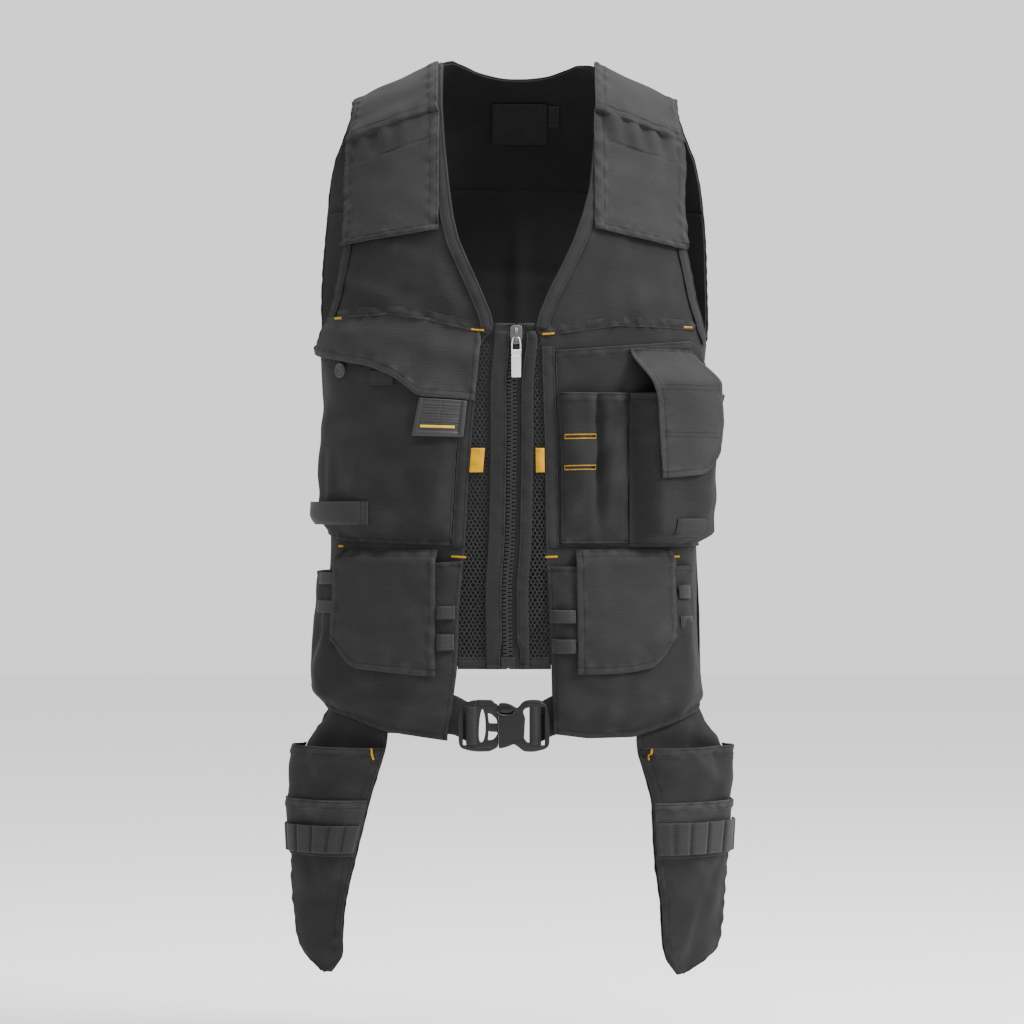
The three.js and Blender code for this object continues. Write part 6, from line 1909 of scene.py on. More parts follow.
@dataclass
class LeftChest:
    """The backing pocket with the pen and phone pockets, the phone flap and the bare label."""

    tailor: Tailor
    backing_top: tuple = ((0.20, 0.489), (0.98, 0.470), (1.08, 0.480), (1.20, 0.505), (1.34, 0.540))
    flap_inner: tuple = ((0.48, 0.590), (0.565, 0.680), (0.70, 0.712))
    flap_outer: tuple = ((0.48, 0.990), (0.51, 1.020), (0.57, 1.065), (0.63, 1.088), (0.66, 1.075),
                         (0.69, 0.975))
    flap_end: tuple = ((0.70, 0.694), (0.97, 0.686), (1.10, 0.640))
    pen_folds: tuple = (
        Crease(104, 362, 62, 470, 6, -1.6), Crease(60, 370, 66, 470, 9, 0.9),
        Crease(40, 400, 52, 480, 6, -0.8),
        Crease(96, 400, 92, 480, 6, 1.2), Crease(72, 372, 92, 372, 6, -0.6))

    def __post_init__(self) -> None:
        """Lays out the pockets."""
        hand = Hand.LEFT
        self.pen_top = FORM.down(0.556)
        self.backing = Patch(hand, beside_facing(hand), near_side(14), down_edge(self.backing_top),
                             level(CHEST_POCKET_END - 2))
        self.pen = Patch(hand, beside_facing(hand, 2.0), level(FORM.across(0.5895)), level(self.pen_top),
                         level(CHEST_POCKET_END - 4))
        self.phone = Patch(hand, level(FORM.across(0.6)), level(FORM.across(1.1789)), level(self.pen_top),
                           level(CHEST_POCKET_END - 1))
        self.flap = Patch(hand, softened(out_edge(self.flap_inner), 3.0),
                          softened(out_edge(self.flap_outer), 4.0),
                          level(FORM.down(0.485)), softened(down_edge(self.flap_end), 4.0))

    def backing_lift(self, u: Array, v: Array, s: Array, drop: Array) -> Array:
        """Height of the backing pocket."""
        return LAYERS.height(1) + 1.5 * swell(4, u) * (1 - v ** 4)

    def pen_lift(self, u: Array, v: Array, s: Array, drop: Array) -> Array:
        """Height of the pen pocket: two tubes beside a stitched line."""
        return (over(self.backing, self.backing_lift)(u, v, s, drop)
                + 8.0 * (1 - bell(u, 0.55, 0.07)) * swell(6, u) * (1 - smooth(0.55, 1, v)))

    def phone_lift(self, u: Array, v: Array, s: Array, drop: Array) -> Array:
        """Height of the boxy phone pocket."""
        swelling = (27.0 * smooth(0, 0.2, u) * (1 - smooth(0.84, 1, u)) * (1 - smooth(0.9, 1, v))
                    * (1 - 0.25 * v))
        return over(self.backing, self.backing_lift, -0.4)(u, v, s, drop) + swelling

    def flap_lift(self, u: Array, v: Array, s: Array, drop: Array) -> Array:
        """Height of the phone flap: it leaves the backing and lies over the pocket."""
        pu, pv = self.phone.share(s, np.maximum(drop, self.pen_top))
        near = over(self.backing, self.backing_lift, -0.25)(u, v, s, drop)
        cu, cv = np.clip(pu, 0.2, 0.82), np.clip(pv, 0.0, 1.0)
        _, _, there, below = self.phone.at(cu, cv)
        pocket = self.phone_lift(cu, cv, there, below) + LAYERS.trim + 2 * LAYERS.gap
        return mix(near, pocket, smooth(FORM.down(0.485), self.pen_top - 8, drop))

    def build(self) -> list[bpy.types.Object]:
        """Makes every piece of the left chest."""
        def slack(u: Array, v: Array, s: Array, drop: Array) -> Array:
            return 0.5 * ripple(s, drop, 44.0, 51) * smooth(0.05, 0.3, v)
        backing = self.tailor.sheet(
            "left_backing_pocket", self.backing, self.backing_lift, CANVAS, "canvas", folds=slack,
            hems={"top": Hem(9.6, 0.6, (2.0, 8.2)), "inner": TAPED, "bottom": TAPED}, pitch=3.4,
            rests_on=["left_front_panel_cloth"])

        def pen_folds(u: Array, v: Array, s: Array, drop: Array) -> Array:
            return (folded(self.pen_folds, s, drop)
                    + 0.8 * ripple(s, drop, 40.0, 53)) * swell(8, u) * swell(8, v)
        pen = self.tailor.sheet(
            "left_pen_pocket", self.pen, self.pen_lift, CANVAS, "canvas", folds=pen_folds, pitch=2.4,
            wavy=0.35,
            hems={"top": Hem(9.8, 0.8, (2.0, 8.6)), "inner": TAPED, "bottom": Hem(4, 0.3, (2.8,)),
                  "outer": TAPED},
            rests_on=["left_backing_pocket_cloth"])

        def phone_folds(u: Array, v: Array, s: Array, drop: Array) -> Array:
            edge = 0.9 * (bell(u, 0.21, 0.018) + bell(u, 0.82, 0.018)) * (1 - smooth(0.86, 0.95, v))
            soft = 1.2 * ripple(s, drop, 48.0, 55) * swell(6, u) * swell(6, v)
            return edge + tucked(self.flap, soft, s, drop)
        phone = self.tailor.sheet(
            "left_phone_pocket", self.phone, self.phone_lift, CANVAS, "canvas", folds=phone_folds, pitch=2.6,
            hems={"top": Hem(8.0, 0.6, (6.8,)), "bottom": Hem(4.0, 0.3, (2.8,))},
            rests_on=["left_backing_pocket_cloth"])

        def flap_folds(u: Array, v: Array, s: Array, drop: Array) -> Array:
            lines = sum(bell(drop, line, 0.8) for line in (337.0, 341.5, 384.0, 388.5))
            return -0.35 * lines * swell(20, u) + 0.5 * ripple(s, drop, 50.0, 57) * swell(6, v)
        flap = self.tailor.sheet(
            "left_phone_flap", self.flap, self.flap_lift, REINFORCED, "reinforced_cloth", folds=flap_folds,
            hems={"bottom": Hem(7.6, 0.7, (6.0,)), "inner": Hem(7.0, 0.5, (5.6,)),
                  "outer": Hem(7.0, 0.5, (5.6,)),
                  "top": Hem(0, 0, (1.8,))}, pitch=2.4, rests_on=["left_phone_pocket_cloth"])
        across = FORM.across(0.8)
        top = FORM.down(0.7581)
        label = Patch(Hand.LEFT, lambda drop: across - 0.16 * (drop - top),
                      lambda drop: across + 36.0 - 0.16 * (drop - top), level(top), level(top + 18.0))
        tag = self.tailor.sheet(
            "left_blank_label", label, over(self.phone, self.phone_lift), LABEL, "binding", held="stretched",
            hems={"inner": Hem(0, 0, (1.5,), 0.05), "outer": Hem(0, 0, (1.5,), 0.05)}, pitch=2.0, wavy=0.1,
            rests_on=["left_phone_pocket_cloth"])
        probe = Probe([flap.obj])
        seams = []
        for drop in (337.0, 341.5, 384.0, 388.5):
            low, high = (float(edge(np.array([drop]))[0]) for edge in (self.flap.inner, self.flap.outer))
            s = np.linspace(low + 7, high - 7, 40)
            points, normals = probe.touch(s, np.full(40, drop))
            seams.append(Seam(points, normals))
        self.tailor.stitch("left_chest_stitches", [backing, pen, phone, flap, tag], extra=seams)
        self.buttonholes(pen)
        return [backing.obj, pen.obj, phone.obj, flap.obj, tag.obj]

    def buttonholes(self, pen: Sewn) -> None:
        """Two worked buttonholes across the pen pocket: yellow rims round a black block that paints the
        shade inside each slit.
        """
        probe = Probe([pen.obj])
        points, normals, ahead = [], [], []
        shade_points, shade_faces = [], []
        for row in (436.5, 467.5):
            middle = 0.994 * row - 45.4
            for side in (-1, 1):
                s = np.arange(49.0, 79.0, 0.62)
                rim = middle + side * 1.9 - 0.02 * (s - 64.0)
                end = np.linspace(-2.0, 2.0, 6) + middle - side * 0.3
                found, toward = probe.touch(np.concatenate([s, np.full(6, 64.0 + side * 15.3)]),
                                            np.concatenate([rim, end]))
                points.append(found + toward * 0.22)
                normals.append(toward)
                ahead.append(np.repeat([[0.0, 0.0, 1.0], [1.0, 0.0, 0.0]], [len(s), 6], axis=0))
            # a black block inside each slit: painted shade where the slit opens
            s = np.linspace(49.0, 79.0, 41)
            rims = []
            for side in (-1, 1):
                found, toward = probe.touch(s, middle + side * 1.4 - 0.02 * (s - 64.0))
                rims.append((found + toward * 0.28, found - toward * 0.5))
            start = sum(len(part) for part in shade_points)
            shade_points += [rims[0][0], rims[1][0], rims[0][1], rims[1][1]]
            for k in range(40):
                a, b, c, d = (start + 41 * j + k for j in range(4))
                shade_faces += [(a, b, b + 1, a + 1), (c, c + 1, d + 1, d), (a, a + 1, c + 1, c),
                               (b, d, d + 1, b + 1)]
            for k in (0, 40):
                shade_faces.append(tuple(start + 41 * j + k for j in (0, 1, 3, 2)))
        worked = self.tailor.repeater.scatter(
            "buttonhole_threads", np.concatenate(points), np.concatenate(normals), np.concatenate(ahead),
            self.tailor.repeater.thread, (1.25 * MM, 0.6 * MM, 0.5 * MM),
            self.tailor.wardrobe.take(YELLOW_THREAD))
        self.tailor.own(worked, "yellow_tape")
        # black nylon here only paints the shade inside the slits
        dark = mesh_object("buttonhole_slots", np.concatenate(shade_points), shade_faces,
                           [self.tailor.wardrobe.take(PLASTIC)], True)
        outward(dark)
        self.tailor.own(dark, "black_plastic")


LABEL = WovenFinish("label_weave", (0.017, 0.017, 0.0175), ribs=1500.0, warp=1500.0, slubs=0.1,
                    depth=0.00005)


@dataclass
class LowerPockets:
    """The swelling lower pockets, their flaps and the small tool loops."""

    tailor: Tailor
    folds: Mapping[Hand, tuple] = field(default_factory=lambda: {
        Hand.RIGHT: (Crease(80, 560, 70, 650, 8, 1.6), Crease(190, 560, 205, 660, 9, 2.0),
                     Crease(205, 545, 222, 640, 7, -1.4), Crease(150, 640, 210, 672, 9, 1.6),
                     Crease(100, 640, 160, 655, 8, -1.2), Crease(64, 600, 72, 672, 7, -1.2)),
        Hand.LEFT: (Crease(50, 540, 44, 640, 8, 1.2), Crease(170, 540, 184, 640, 9, 1.6),
                    Crease(90, 650, 150, 668, 8, 1.3), Crease(60, 640, 110, 655, 8, -1.0),
                    Crease(188, 530, 192, 600, 7, -1.4))})
    flap_ends: Mapping[Hand, tuple] = field(default_factory=lambda: {
        Hand.RIGHT: ((0.40, 1.012), (0.86, 1.000), (0.995, 0.950)),
        Hand.LEFT: ((0.30, 1.008), (0.55, 1.007), (0.73, 0.998), (0.86, 0.942))})
    ends: Mapping[Hand, tuple] = field(default_factory=lambda: {
        Hand.RIGHT: ((0.25, 1.1155), (0.35, 1.115), (0.70, 1.101), (0.92, 1.081), (1.15, 1.069),
                     (1.34, 1.050)),
        Hand.LEFT: ((0.18, 1.103), (0.38, 1.111), (0.63, 1.110), (0.90, 1.088), (1.15, 1.066),
                    (1.34, 1.050))})
    flap_spans: Mapping[Hand, tuple[float, float]] = field(default_factory=lambda: {
        Hand.RIGHT: (0.4053, 0.9895), Hand.LEFT: (0.3158, 0.8526)})
    loops: tuple = (("right_tool_loop_upper", Hand.RIGHT, 0.3105, 0.3974, 0.8984, 13.0),
                    ("right_tool_loop_lower", Hand.RIGHT, 0.3158, 0.3974, 0.9435, 16.0),
                    ("left_tool_loop_upper", Hand.LEFT, 0.1842, 0.3079, 0.9048, 13.0),
                    ("left_tool_loop_lower", Hand.LEFT, 0.1947, 0.3079, 0.9516, 14.0))

    side_bands: tuple = (("right_side_band_upper", Hand.RIGHT, 184.0, 211.0, 524.5, 12.0),
                         ("right_side_band_lower", Hand.RIGHT, 184.0, 211.0, 553.0, 12.5),
                         ("left_side_band_upper", Hand.LEFT, 168.0, 186.0, 537.0, 13.5),
                         ("left_side_band_lower", Hand.LEFT, 168.0, 187.0, 568.0, 12.0))

    def __post_init__(self) -> None:
        """Lays out both pockets."""
        self.pockets = {
            Hand.RIGHT: Patch(Hand.RIGHT, facing_inner(Hand.RIGHT), near_side(3),
                              down_edge(((0.25, 0.826), (1.30, 0.846))), down_edge(self.ends[Hand.RIGHT])),
            Hand.LEFT: Patch(Hand.LEFT, facing_inner(Hand.LEFT), level(FORM.across(1.0947)),
                             level(FORM.down(0.835)), down_edge(self.ends[Hand.LEFT]))}

    def lift(self, hand: Hand) -> Lift:
        """Height of one pocket."""
        side, start = (22.0, 0.75) if hand == Hand.RIGHT else (11.0, 0.5)
        power = 2 if hand == Hand.RIGHT else 1

        def rise(u: Array, v: Array, s: Array, drop: Array) -> Array:
            return (LAYERS.height(1) + mix(9.0, side, np.clip(u, 0, 1) ** power) * swell(8, u)
                    * (start + (1 - start) * smooth(0, 0.5, v)) * (1 - smooth(0.86, 1, v)))
        return rise

    def build(self) -> list[bpy.types.Object]:
        """Makes the pockets, flaps and loops."""
        made = []
        for hand in Hand:
            made += self.pocket(hand)
        for name, hand, start, end, top, height in self.loops:
            patch = Patch(hand, level(FORM.across(start)), level(FORM.across(end)), level(FORM.down(top)),
                          level(FORM.down(top) + height))
            base = over(self.pockets[hand], self.lift(hand), 0.2)
            made.append(self.tailor.sheet(
                name, patch, lambda u, v, s, drop, base=base: base(u, v, s, drop) + 5.5 * swell(4, u),
                WEBBING,
                "webbing", wall=LAYERS.webbing, pitch=1.8, wavy=0.15, held="stretched",
                hems={"inner": Hem(0, 0, (1.6,), 0.05), "outer": Hem(0, 0, (1.6,), 0.05)},
                rests_on=[f"{hand.word}_lower_pocket_cloth"]))
        for name, hand, start, end, top, height in self.side_bands:
            base = over(self.pockets[hand], self.lift(hand), 0.1)
            made.append(self.tailor.sheet(
                name, Patch(hand, level(start), level(end), level(top), level(top + height)),
                lambda u, v, s, drop, base=base: base(u, v, s, drop) + 1.2 * swell(4, u), WEBBING, "webbing",
                node=False, wall=1.2, pitch=2.0, wavy=0.15, held="stretched",
                hems={"inner": Hem(0, 0, (1.6,), 0.05), "outer": Hem(0, 0, (1.6,), 0.05)}))
        self.tailor.stitch("lower_pocket_stitches", made)
        return [piece.obj for piece in made]

    def pocket(self, hand: Hand) -> list[Sewn]:
        """One pocket and its flap."""
        patch, lift = self.pockets[hand], self.lift(hand)
        low, high = self.flap_spans[hand]
        top = CHEST_POCKET_END + 2
        flap = Patch(hand, level(FORM.across(low)), level(FORM.across(high)), level(top),
                     softened(down_edge(self.flap_ends[hand]), 4.0))

        def creased(u: Array, v: Array, s: Array, drop: Array) -> Array:
            height = folded(self.folds[hand], hand * s, drop) + 1.5 * ripple(s, drop, 56.0, 60 + hand)
            return tucked(flap, height * swell(5, u) * swell(5, v), s, drop)
        pocket = self.tailor.sheet(
            f"{hand.word}_lower_pocket", patch, lift, CANVAS, "canvas", folds=creased, pitch=3.4, wavy=0.4,
            hems={"inner": Hem(5.0, 0.3, (3.8,)), "bottom": Hem(7.0, 0.5, (5.6,), 0.5), "outer": TAPED,
                  "top": Hem(6.0, 0.4, (4.8,))}, rests_on=[f"{hand.word}_front_panel_cloth"])
        base = over(patch, lift, 0.5)

        def hangs(u: Array, v: Array, s: Array, drop: Array) -> Array:
            return mix(LAYERS.height(1), base(u, v, s, drop), smooth(top, top + 12, drop))

        def flap_folds(u: Array, v: Array, s: Array, drop: Array) -> Array:
            return 0.9 * np.abs(ripple(s, drop, 58.0,
                                       64 + hand)) * swell(4, v) + 0.4 * bell(drop, top + 16, 6.0)
        hem = Hem(8.0, 0.7, (6.6,), 0.4)
        return [pocket, self.tailor.sheet(
            f"{hand.word}_lower_flap", flap, hangs, POCKET_FLAP, "reinforced_cloth", folds=flap_folds,
            pitch=3.0,
            hems={"inner": hem, "outer": hem, "bottom": hem, "top": Hem(8.0, 0.4, (1.8, 7.0))},
            rests_on=[f"{hand.word}_lower_pocket_cloth"])]


@dataclass
class Holster:
    """One hanging tool holster: a back, a tapering pouch, a second pocket and webbing loops."""

    tailor: Tailor
    hand: Hand
    yaw: float
    edges: Array
    sleeve_top: float
    band_top: float
    top: float = FORM.down(1.0355)
    length: float = 287.0
    hangs: float = 44.0
    turning: float = 74.0
    width: float = 100.0
    mouth: float = 0.20
    seams: tuple = (0.10, 0.24, 0.44, 0.66, 0.86)
    folds: tuple = (
        Crease(-18, 706, 26, 742, 8, 1.1), Crease(36, 704, 4, 748, 7, -0.9),
        Crease(10, 668, -20, 694, 9, 1.0),
        Crease(-22, 800, 18, 846, 9, 0.9), Crease(34, 806, 6, 868, 8, -0.8),
        Crease(-4, 850, -16, 900, 7, 0.8))

    def ground(self, s: Array, drop: Array) -> tuple[Array, Array]:
        """The holster hangs inside the front panel, then turns onto a flat plane round the hip."""
        angle = math.radians(self.yaw)
        outward_way = np.array([self.hand * math.cos(angle), math.sin(angle), 0.0])
        facing = np.array([self.hand * math.sin(angle), -math.cos(angle), 0.0])
        out = self.hand * np.asarray(s, float)
        drop = np.asarray(drop, float)
        points, normals = FORM.place(self.hand * (FORM.across(0.9368) + out), drop, Side.FRONT)
        flat = (np.stack([np.full(np.shape(out), self.hand * FORM.across(0.921)),
                          np.full(np.shape(out), -0.528 * FORM.front_depth), -drop], axis=-1)
                + out[..., None] * outward_way)
        turn = self.top + self.hangs
        share = smooth(turn, turn + self.turning, drop)[..., None]
        flare = 14.0 * smooth(0.2 * self.width, 0.6 * self.width, out) * smooth(turn - 26, turn + 14, drop)
        behind = -(LAYERS.cloth / 2 + LAYERS.gap + LAYERS.trim / 2)
        points = mix(points + normals * (behind + flare)[..., None], flat, share)
        normals = mix(normals, facing, share)
        return points, normals / np.linalg.norm(normals, axis=-1, keepdims=True)

    def share(self, drop: Array) -> Array:
        """How far down the holster a drop lies."""
        return (drop - self.top) / self.length

    def stretch(self, top: float, bottom: float, tip: bool = False) -> Patch:
        """The part of the holster between two shares of its length."""
        def edge(column: int) -> Edge:
            return lambda drop: self.width * cubic(self.edges, column, self.share(drop))
        return Patch(self.hand, edge(1), edge(2), level(self.top + top * self.length),
                     level(self.top + bottom * self.length), self.ground)

    def swelling(self, u: Array, v: Array, s: Array, drop: Array) -> Array:
        """Height of the pouch over the back."""
        part = self.share(drop)
        most = mix(26.0, 5.0, smooth(self.mouth, 1, part))
        return LAYERS.trim + LAYERS.gap + 0.1 + most * swell(3, u) * (1 - smooth(0.9, 1, part))

    def build(self) -> list[Sewn]:
        """Cuts the holster's pieces."""
        word = self.hand.word
        edge = Hem(8.0, 0.5, (1.8, 6.6), 0.35)

        def slack(u: Array, v: Array, s: Array, drop: Array) -> Array:
            return (1.6 * ripple(s, drop, 50.0, 70 + self.hand)
                    + folded(self.folds, self.hand * s, drop)) * swell(4, u)
        back = self.tailor.sheet(f"{word}_holster_back", self.stretch(0, 1), 0.0, CANVAS, "canvas",
                                 hems={"inner": edge, "outer": edge}, pitch=4.0, folds=slack)
        pouch = self.tailor.sheet(
            f"{word}_holster_pouch", self.stretch(self.mouth, 0.995), self.swelling, CANVAS, "canvas",
            hems={"top": Hem(9.5, 0.9, (2.0, 8.0), 0.4), "inner": edge, "outer": edge}, folds=slack,
            pitch=3.0,
            rests_on=[f"{word}_holster_back_cloth"])
        outer_layer = LAYERS.trim + LAYERS.gap
        sleeve = self.tailor.sheet(
            f"{word}_holster_sleeve", self.stretch(self.sleeve_top, 0.585),
            lambda u, v, s, drop: self.swelling(u, v, s, drop) + outer_layer + 2.5 * swell(3, u) * (1 - v),
            REINFORCED, "reinforced_cloth", hems={"top": Hem(9.0, 0.9, (2.0, 7.6), 0.4), "bottom": TAPED},
            folds=slack, pitch=2.8, rests_on=[f"{word}_holster_pouch_cloth"])

        def looped(u: Array, v: Array, s: Array, drop: Array) -> Array:
            held = sum(bell(u, seam, 0.018) for seam in self.seams)
            return (self.swelling(u, v, s, drop) + 2 * outer_layer + 0.4 + 2 * swell(3, u)
                    + 2.6 * swell(12, u) * (1 - np.clip(held, 0, 1)))
        band = self.tailor.sheet(
            f"{word}_holster_webbing", self.stretch(self.band_top, 0.572), looped, WEBBING, "webbing",
            wall=LAYERS.webbing, pitch=1.6, wavy=0.2, held="stretched",
            rests_on=[f"{word}_holster_sleeve_cloth"])
        return [back, pouch, sleeve, band]


@dataclass
class Holsters:
    """Both holsters with the stitched webbing."""

    tailor: Tailor
    right_edges: tuple = (
        (0.00, -0.44, 0.54), (0.15, -0.46, 0.67), (0.19, -0.46, 0.80), (0.37, -0.38, 0.69),
        (0.58, -0.20, 0.65),
        (0.75, -0.06, 0.63), (0.88, -0.02, 0.56), (0.94, -0.01, 0.47), (1.00, 0.14, 0.24))
    left_edges: tuple = (
        (0.00, -0.50, 0.44), (0.15, -0.53, 0.54), (0.19, -0.54, 0.68), (0.37, -0.56, 0.60),
        (0.58, -0.52, 0.58),
        (0.75, -0.43, 0.53), (0.88, -0.40, 0.47), (0.94, -0.34, 0.34), (1.00, -0.18, -0.08))

    def build(self) -> list[bpy.types.Object]:
        """Makes both holsters and their threads."""
        made, seams, bars = [], [], []
        for hand, yaw, edges, sleeve, band in ((Hand.RIGHT, 37.0, self.right_edges, 0.385, 0.475),
                                               (Hand.LEFT, 46.0, self.left_edges, 0.390, 0.460)):
            holster = Holster(self.tailor, hand, yaw, np.array(edges), sleeve, band)
            pieces = holster.build()
            made += pieces
            strip = holster.stretch(band, 0.572)
            probe = Probe([pieces[3].obj])
            for seam in holster.seams:
                for side in (-0.012, 0.012):
                    v = np.linspace(0.06, 0.94, 14)
                    _, _, s, drop = strip.at(np.full(14, seam + side), v)
                    points, normals = probe.touch(s, drop, holster.ground)
                    seams.append(Seam(points, normals))
            _, _, s, drop = holster.stretch(holster.mouth, 0.995).at(np.linspace(0.075, 0.045, 22),
                                                                     np.linspace(0.004, 0.050, 22))
            found, toward = Probe([pieces[1].obj]).touch(s, drop, holster.ground)
            bars.append((found + toward * 0.3, toward, np.cross(toward, np.gradient(found, axis=0))))
        sewn = self.tailor.repeater.scatter(
            "holster_bartacks", *(np.concatenate(part) for part in zip(*bars)), self.tailor.repeater.thread,
            (2.3 * MM, 0.62 * MM, 0.75 * MM), self.tailor.wardrobe.take(YELLOW_THREAD))
        self.tailor.own(sewn, "yellow_tape")
        self.tailor.stitch("holster_stitches", made, extra=seams)
        return [piece.obj for piece in made]


@dataclass
class Roll:
    """Webbing that turns round a bar of the buckle; it cuts as a patch does."""

    seat: Seat
    middle: float
    half: float
    depth: float
    low: float
    high: float
    start: float = -0.75
    end: float = 0.75

    def at(self, u: Array, v: Array) -> tuple[Array, Array, Array, Array]:
        """Points round the bar from behind one side to behind the other."""
        angle = mix(self.start, self.end, u) * math.pi
        local = np.stack([self.middle + self.half * np.sin(angle), self.depth * np.cos(angle),
                          mix(self.high, self.low, v)], axis=-1)
        toward = np.stack([np.sin(angle) / self.half, np.cos(angle) / self.depth, np.zeros(np.shape(u))],
                          axis=-1)
        shape = np.shape(u)
        points = self.seat.world(local.reshape(-1, 3)).reshape(*shape, 3)
        ends = self.seat.world((local + toward).reshape(-1, 3)).reshape(*shape, 3)
        normals = ends - points
        length = math.pi * (self.half + self.depth) / 2 * (self.end - self.start)
        return (points, normals / np.linalg.norm(normals, axis=-1, keepdims=True), u * length,
                v * (self.high - self.low))


@dataclass
class BeltAndBuckle:
    """The waist webbing inside the front panels and the closed side-release buckle."""

    tailor: Tailor
    moulder: Moulder
    middle: float = FORM.across(-0.058)
    drop: float = FORM.down(1.0903)

    def build(self) -> None:
        """Makes the belt and both halves of the buckle."""
        seat = Seat(self.middle, self.drop, 3.0)
        belts = [self.belt(hand) for hand in Hand]
        rolls = []
        for name, middle, half in (("right_belt_fold", -31.5, 5.4), ("left_belt_fold", 31.2, 5.2)):
            roll = Roll(seat, middle, half, 5.0, -19.0, 19.2)
            rolls.append(self.tailor.sheet(name, roll, 0.0, WEBBING, "webbing", node=False, wall=1.6,
                                           pitch=1.5,
                                           wavy=0.12, held="folded"))
        self.tailor.stitch("belt_stitches", belts, edges=("inner",))
        self.prong(seat)
        self.socket(seat)

    def belt(self, hand: Hand) -> Sewn:
        """One half of the belt webbing."""
        start = 45.5 - 20 + hand * self.middle
        belt_top = self.drop - 20.0
        patch = Patch(hand, level(start), lambda drop: FORM.side_length(drop, Side.FRONT) - 6,
                      lambda s: belt_top - 11.0 * smooth(start, start + 30, s),
                      lambda s: belt_top + 40.0 - 11.0 * smooth(start, start + 30, s))
        inside = -(LAYERS.cloth / 2 + 2 * LAYERS.gap + LAYERS.trim + LAYERS.webbing / 2 + 0.3)
        at_buckle = -11.0 / 2 - 0.5 - LAYERS.webbing / 2

        def lift(u: Array, v: Array, s: Array, drop: Array) -> Array:
            return mix(3.0 + at_buckle, inside, smooth(start, start + 26, hand * s))
        return self.tailor.sheet(f"{hand.word}_belt_webbing", patch, lift, WEBBING, "webbing",
                                 wall=LAYERS.webbing, held="stretched", pitch=3.5,
                                 hems={"inner": Hem(0, 0, (3.0, 9.0), 0.1)})

    def prong(self, seat: Seat) -> None:
        """The half with the prongs, on the wearer's right."""
        outline = filleted([(-45.3, 8), (-44, 14.5), (-39.9, 21.3), (-34.5, 24.6), (-26, 26), (-11.5, 25.8),
                            (-9.3, 22.5), (-5.5, 21.5), (-5.5, -21), (-10.8, -23.6), (-14, -25.2),
                            (-25, -25.6),
                            (-34, -24.6), (-42.8, -22), (-45, -17)], 3.5)
        oval = filleted([(-21.4, 18.2), (-19.2, 12), (-18.2, 4), (-18.3, -6), (-19.6, -13), (-21.6, -16.6),
                         (-24.2, -15.6), (-24.9, -10), (-24.6, 0), (-23.6, 10)], 3)
        near = filleted([(-40.7, 19.2), (-37.0, 19.2), (-37.0, -19.2), (-40.7, -19.2)], 1.2)
        upper = filleted([(-15.9, 12.8), (-12.4, 11.8), (-8.5, 8.2), (-5.6, 3.2), (-6.4, 2.6), (-14.4, 2.6),
                          (-15.0, 4.4)], 0.9)
        lower = filleted([(-15.0, -4.6), (-13.6, -5.6), (-6.2, -6.0), (-6.0, -7.0), (-8.6, -11.4),
                          (-11.4, -13.8),
                          (-15.8, -14.2)], 0.9)
        bar = filleted([(-36.0, 19.6), (-27.5, 19.6), (-27.5, -19.6), (-36.0, -19.6)], 2.0)
        frame = plate(outline, 8.0, (oval, near, upper, lower), 0.7)
        ledge = plate(filleted([(-34, 24.6), (-27.2, 25.6), (-25.4, 21.5), (-28, 20.4), (-38.4, 20.4)], 1.5),
                      9.4, (),
                      0.8)
        ledge_b = plate(filleted([(-25.6, 25.6), (-12, 25.2), (-10.6, 21.2), (-24.2, 20.6)], 1.5), 9.8, (),
                        0.8)
        ledge_c = plate(filleted([(-42, -20.8), (-26, -20.8), (-14.5, -20.4), (-13, -24), (-25, -24.8),
                                  (-36, -23.8)], 1.5), 9.6, (), 0.8)
        guide = plate(filleted([(-15.4, 1.6), (-5.6, 1.6), (-5.6, -3.4), (-15.4, -3.4)], 1.0), 6.0, (), 0.8)
        self.moulder.make("buckle_prong_frame",
                          [frame, plate(bar, 4.6, (), 1.2), ledge, ledge_b, ledge_c, guide],
                          PLASTIC, "black_plastic", seat, ("buckle_prong",))

    def socket(self, seat: Seat) -> None:
        """The half that takes the prongs, on the wearer's left."""
        outline = filleted([(-5.3, 22.4), (-1, 22.9), (4, 22.4), (9, 20), (13.2, 17.4), (15.6, 20.2),
                            (18.8, 24),
                            (24, 25.8), (35.4, 25.8), (40.6, 22.8), (43.8, 17.9), (45.3, 6), (45.4, -10),
                            (45.2, -19), (41.5, -22.8), (30, -25.6), (20.5, -25.4), (16.8, -22.8),
                            (13, -19.6),
                            (9.8, -17.8), (4.8, -20.2), (-1.7, -22), (-5.3, -22.4)], 3.0)
        slot = filleted([(18.9, 14.4), (21.4, 17.6), (26.2, 18.8), (26.2, -16.6), (23.4, -16.4),
                         (20.1, -12.4),
                         (20.6, -4), (21.2, 8)], 1.2)
        far = filleted([(36.6, 19.2), (40.6, 19.2), (40.6, -19.2), (36.6, -19.2)], 1.2)
        angle = np.linspace(0.0, 2 * math.pi, 36, endpoint=False)
        scoop = np.stack([1.9 + 9.2 * np.cos(angle),
                          15.4 + 4.6 * np.sin(angle) - 0.016 * (9.2 * np.cos(angle)) ** 2],
                         axis=-1)
        frame = plate(outline, 10.6, (slot, far, scoop), 0.9)
        latch = np.stack([1.8 + 9.8 * np.cos(angle), 16.6 + 5.2 * np.sin(angle)], axis=-1)
        turns = np.linspace(math.radians(190), math.radians(350), 14)
        rim = tube([(1.9 + 9.9 * math.cos(a), 5.0, 16.2 + 5.6 * math.sin(a)) for a in turns], 0.7, 8)
        bar = filleted([(27.4, 19.6), (35.6, 19.6), (35.6, -19.6), (27.4, -19.6)], 2.0)
        crest = plate(filleted([(20.4, 22.2), (24.4, 24.6), (35.4, 24.6), (40, 21.4), (36, 20.4),
                                (23, 20.4)], 1.4),
                      11.6, (), 0.8)
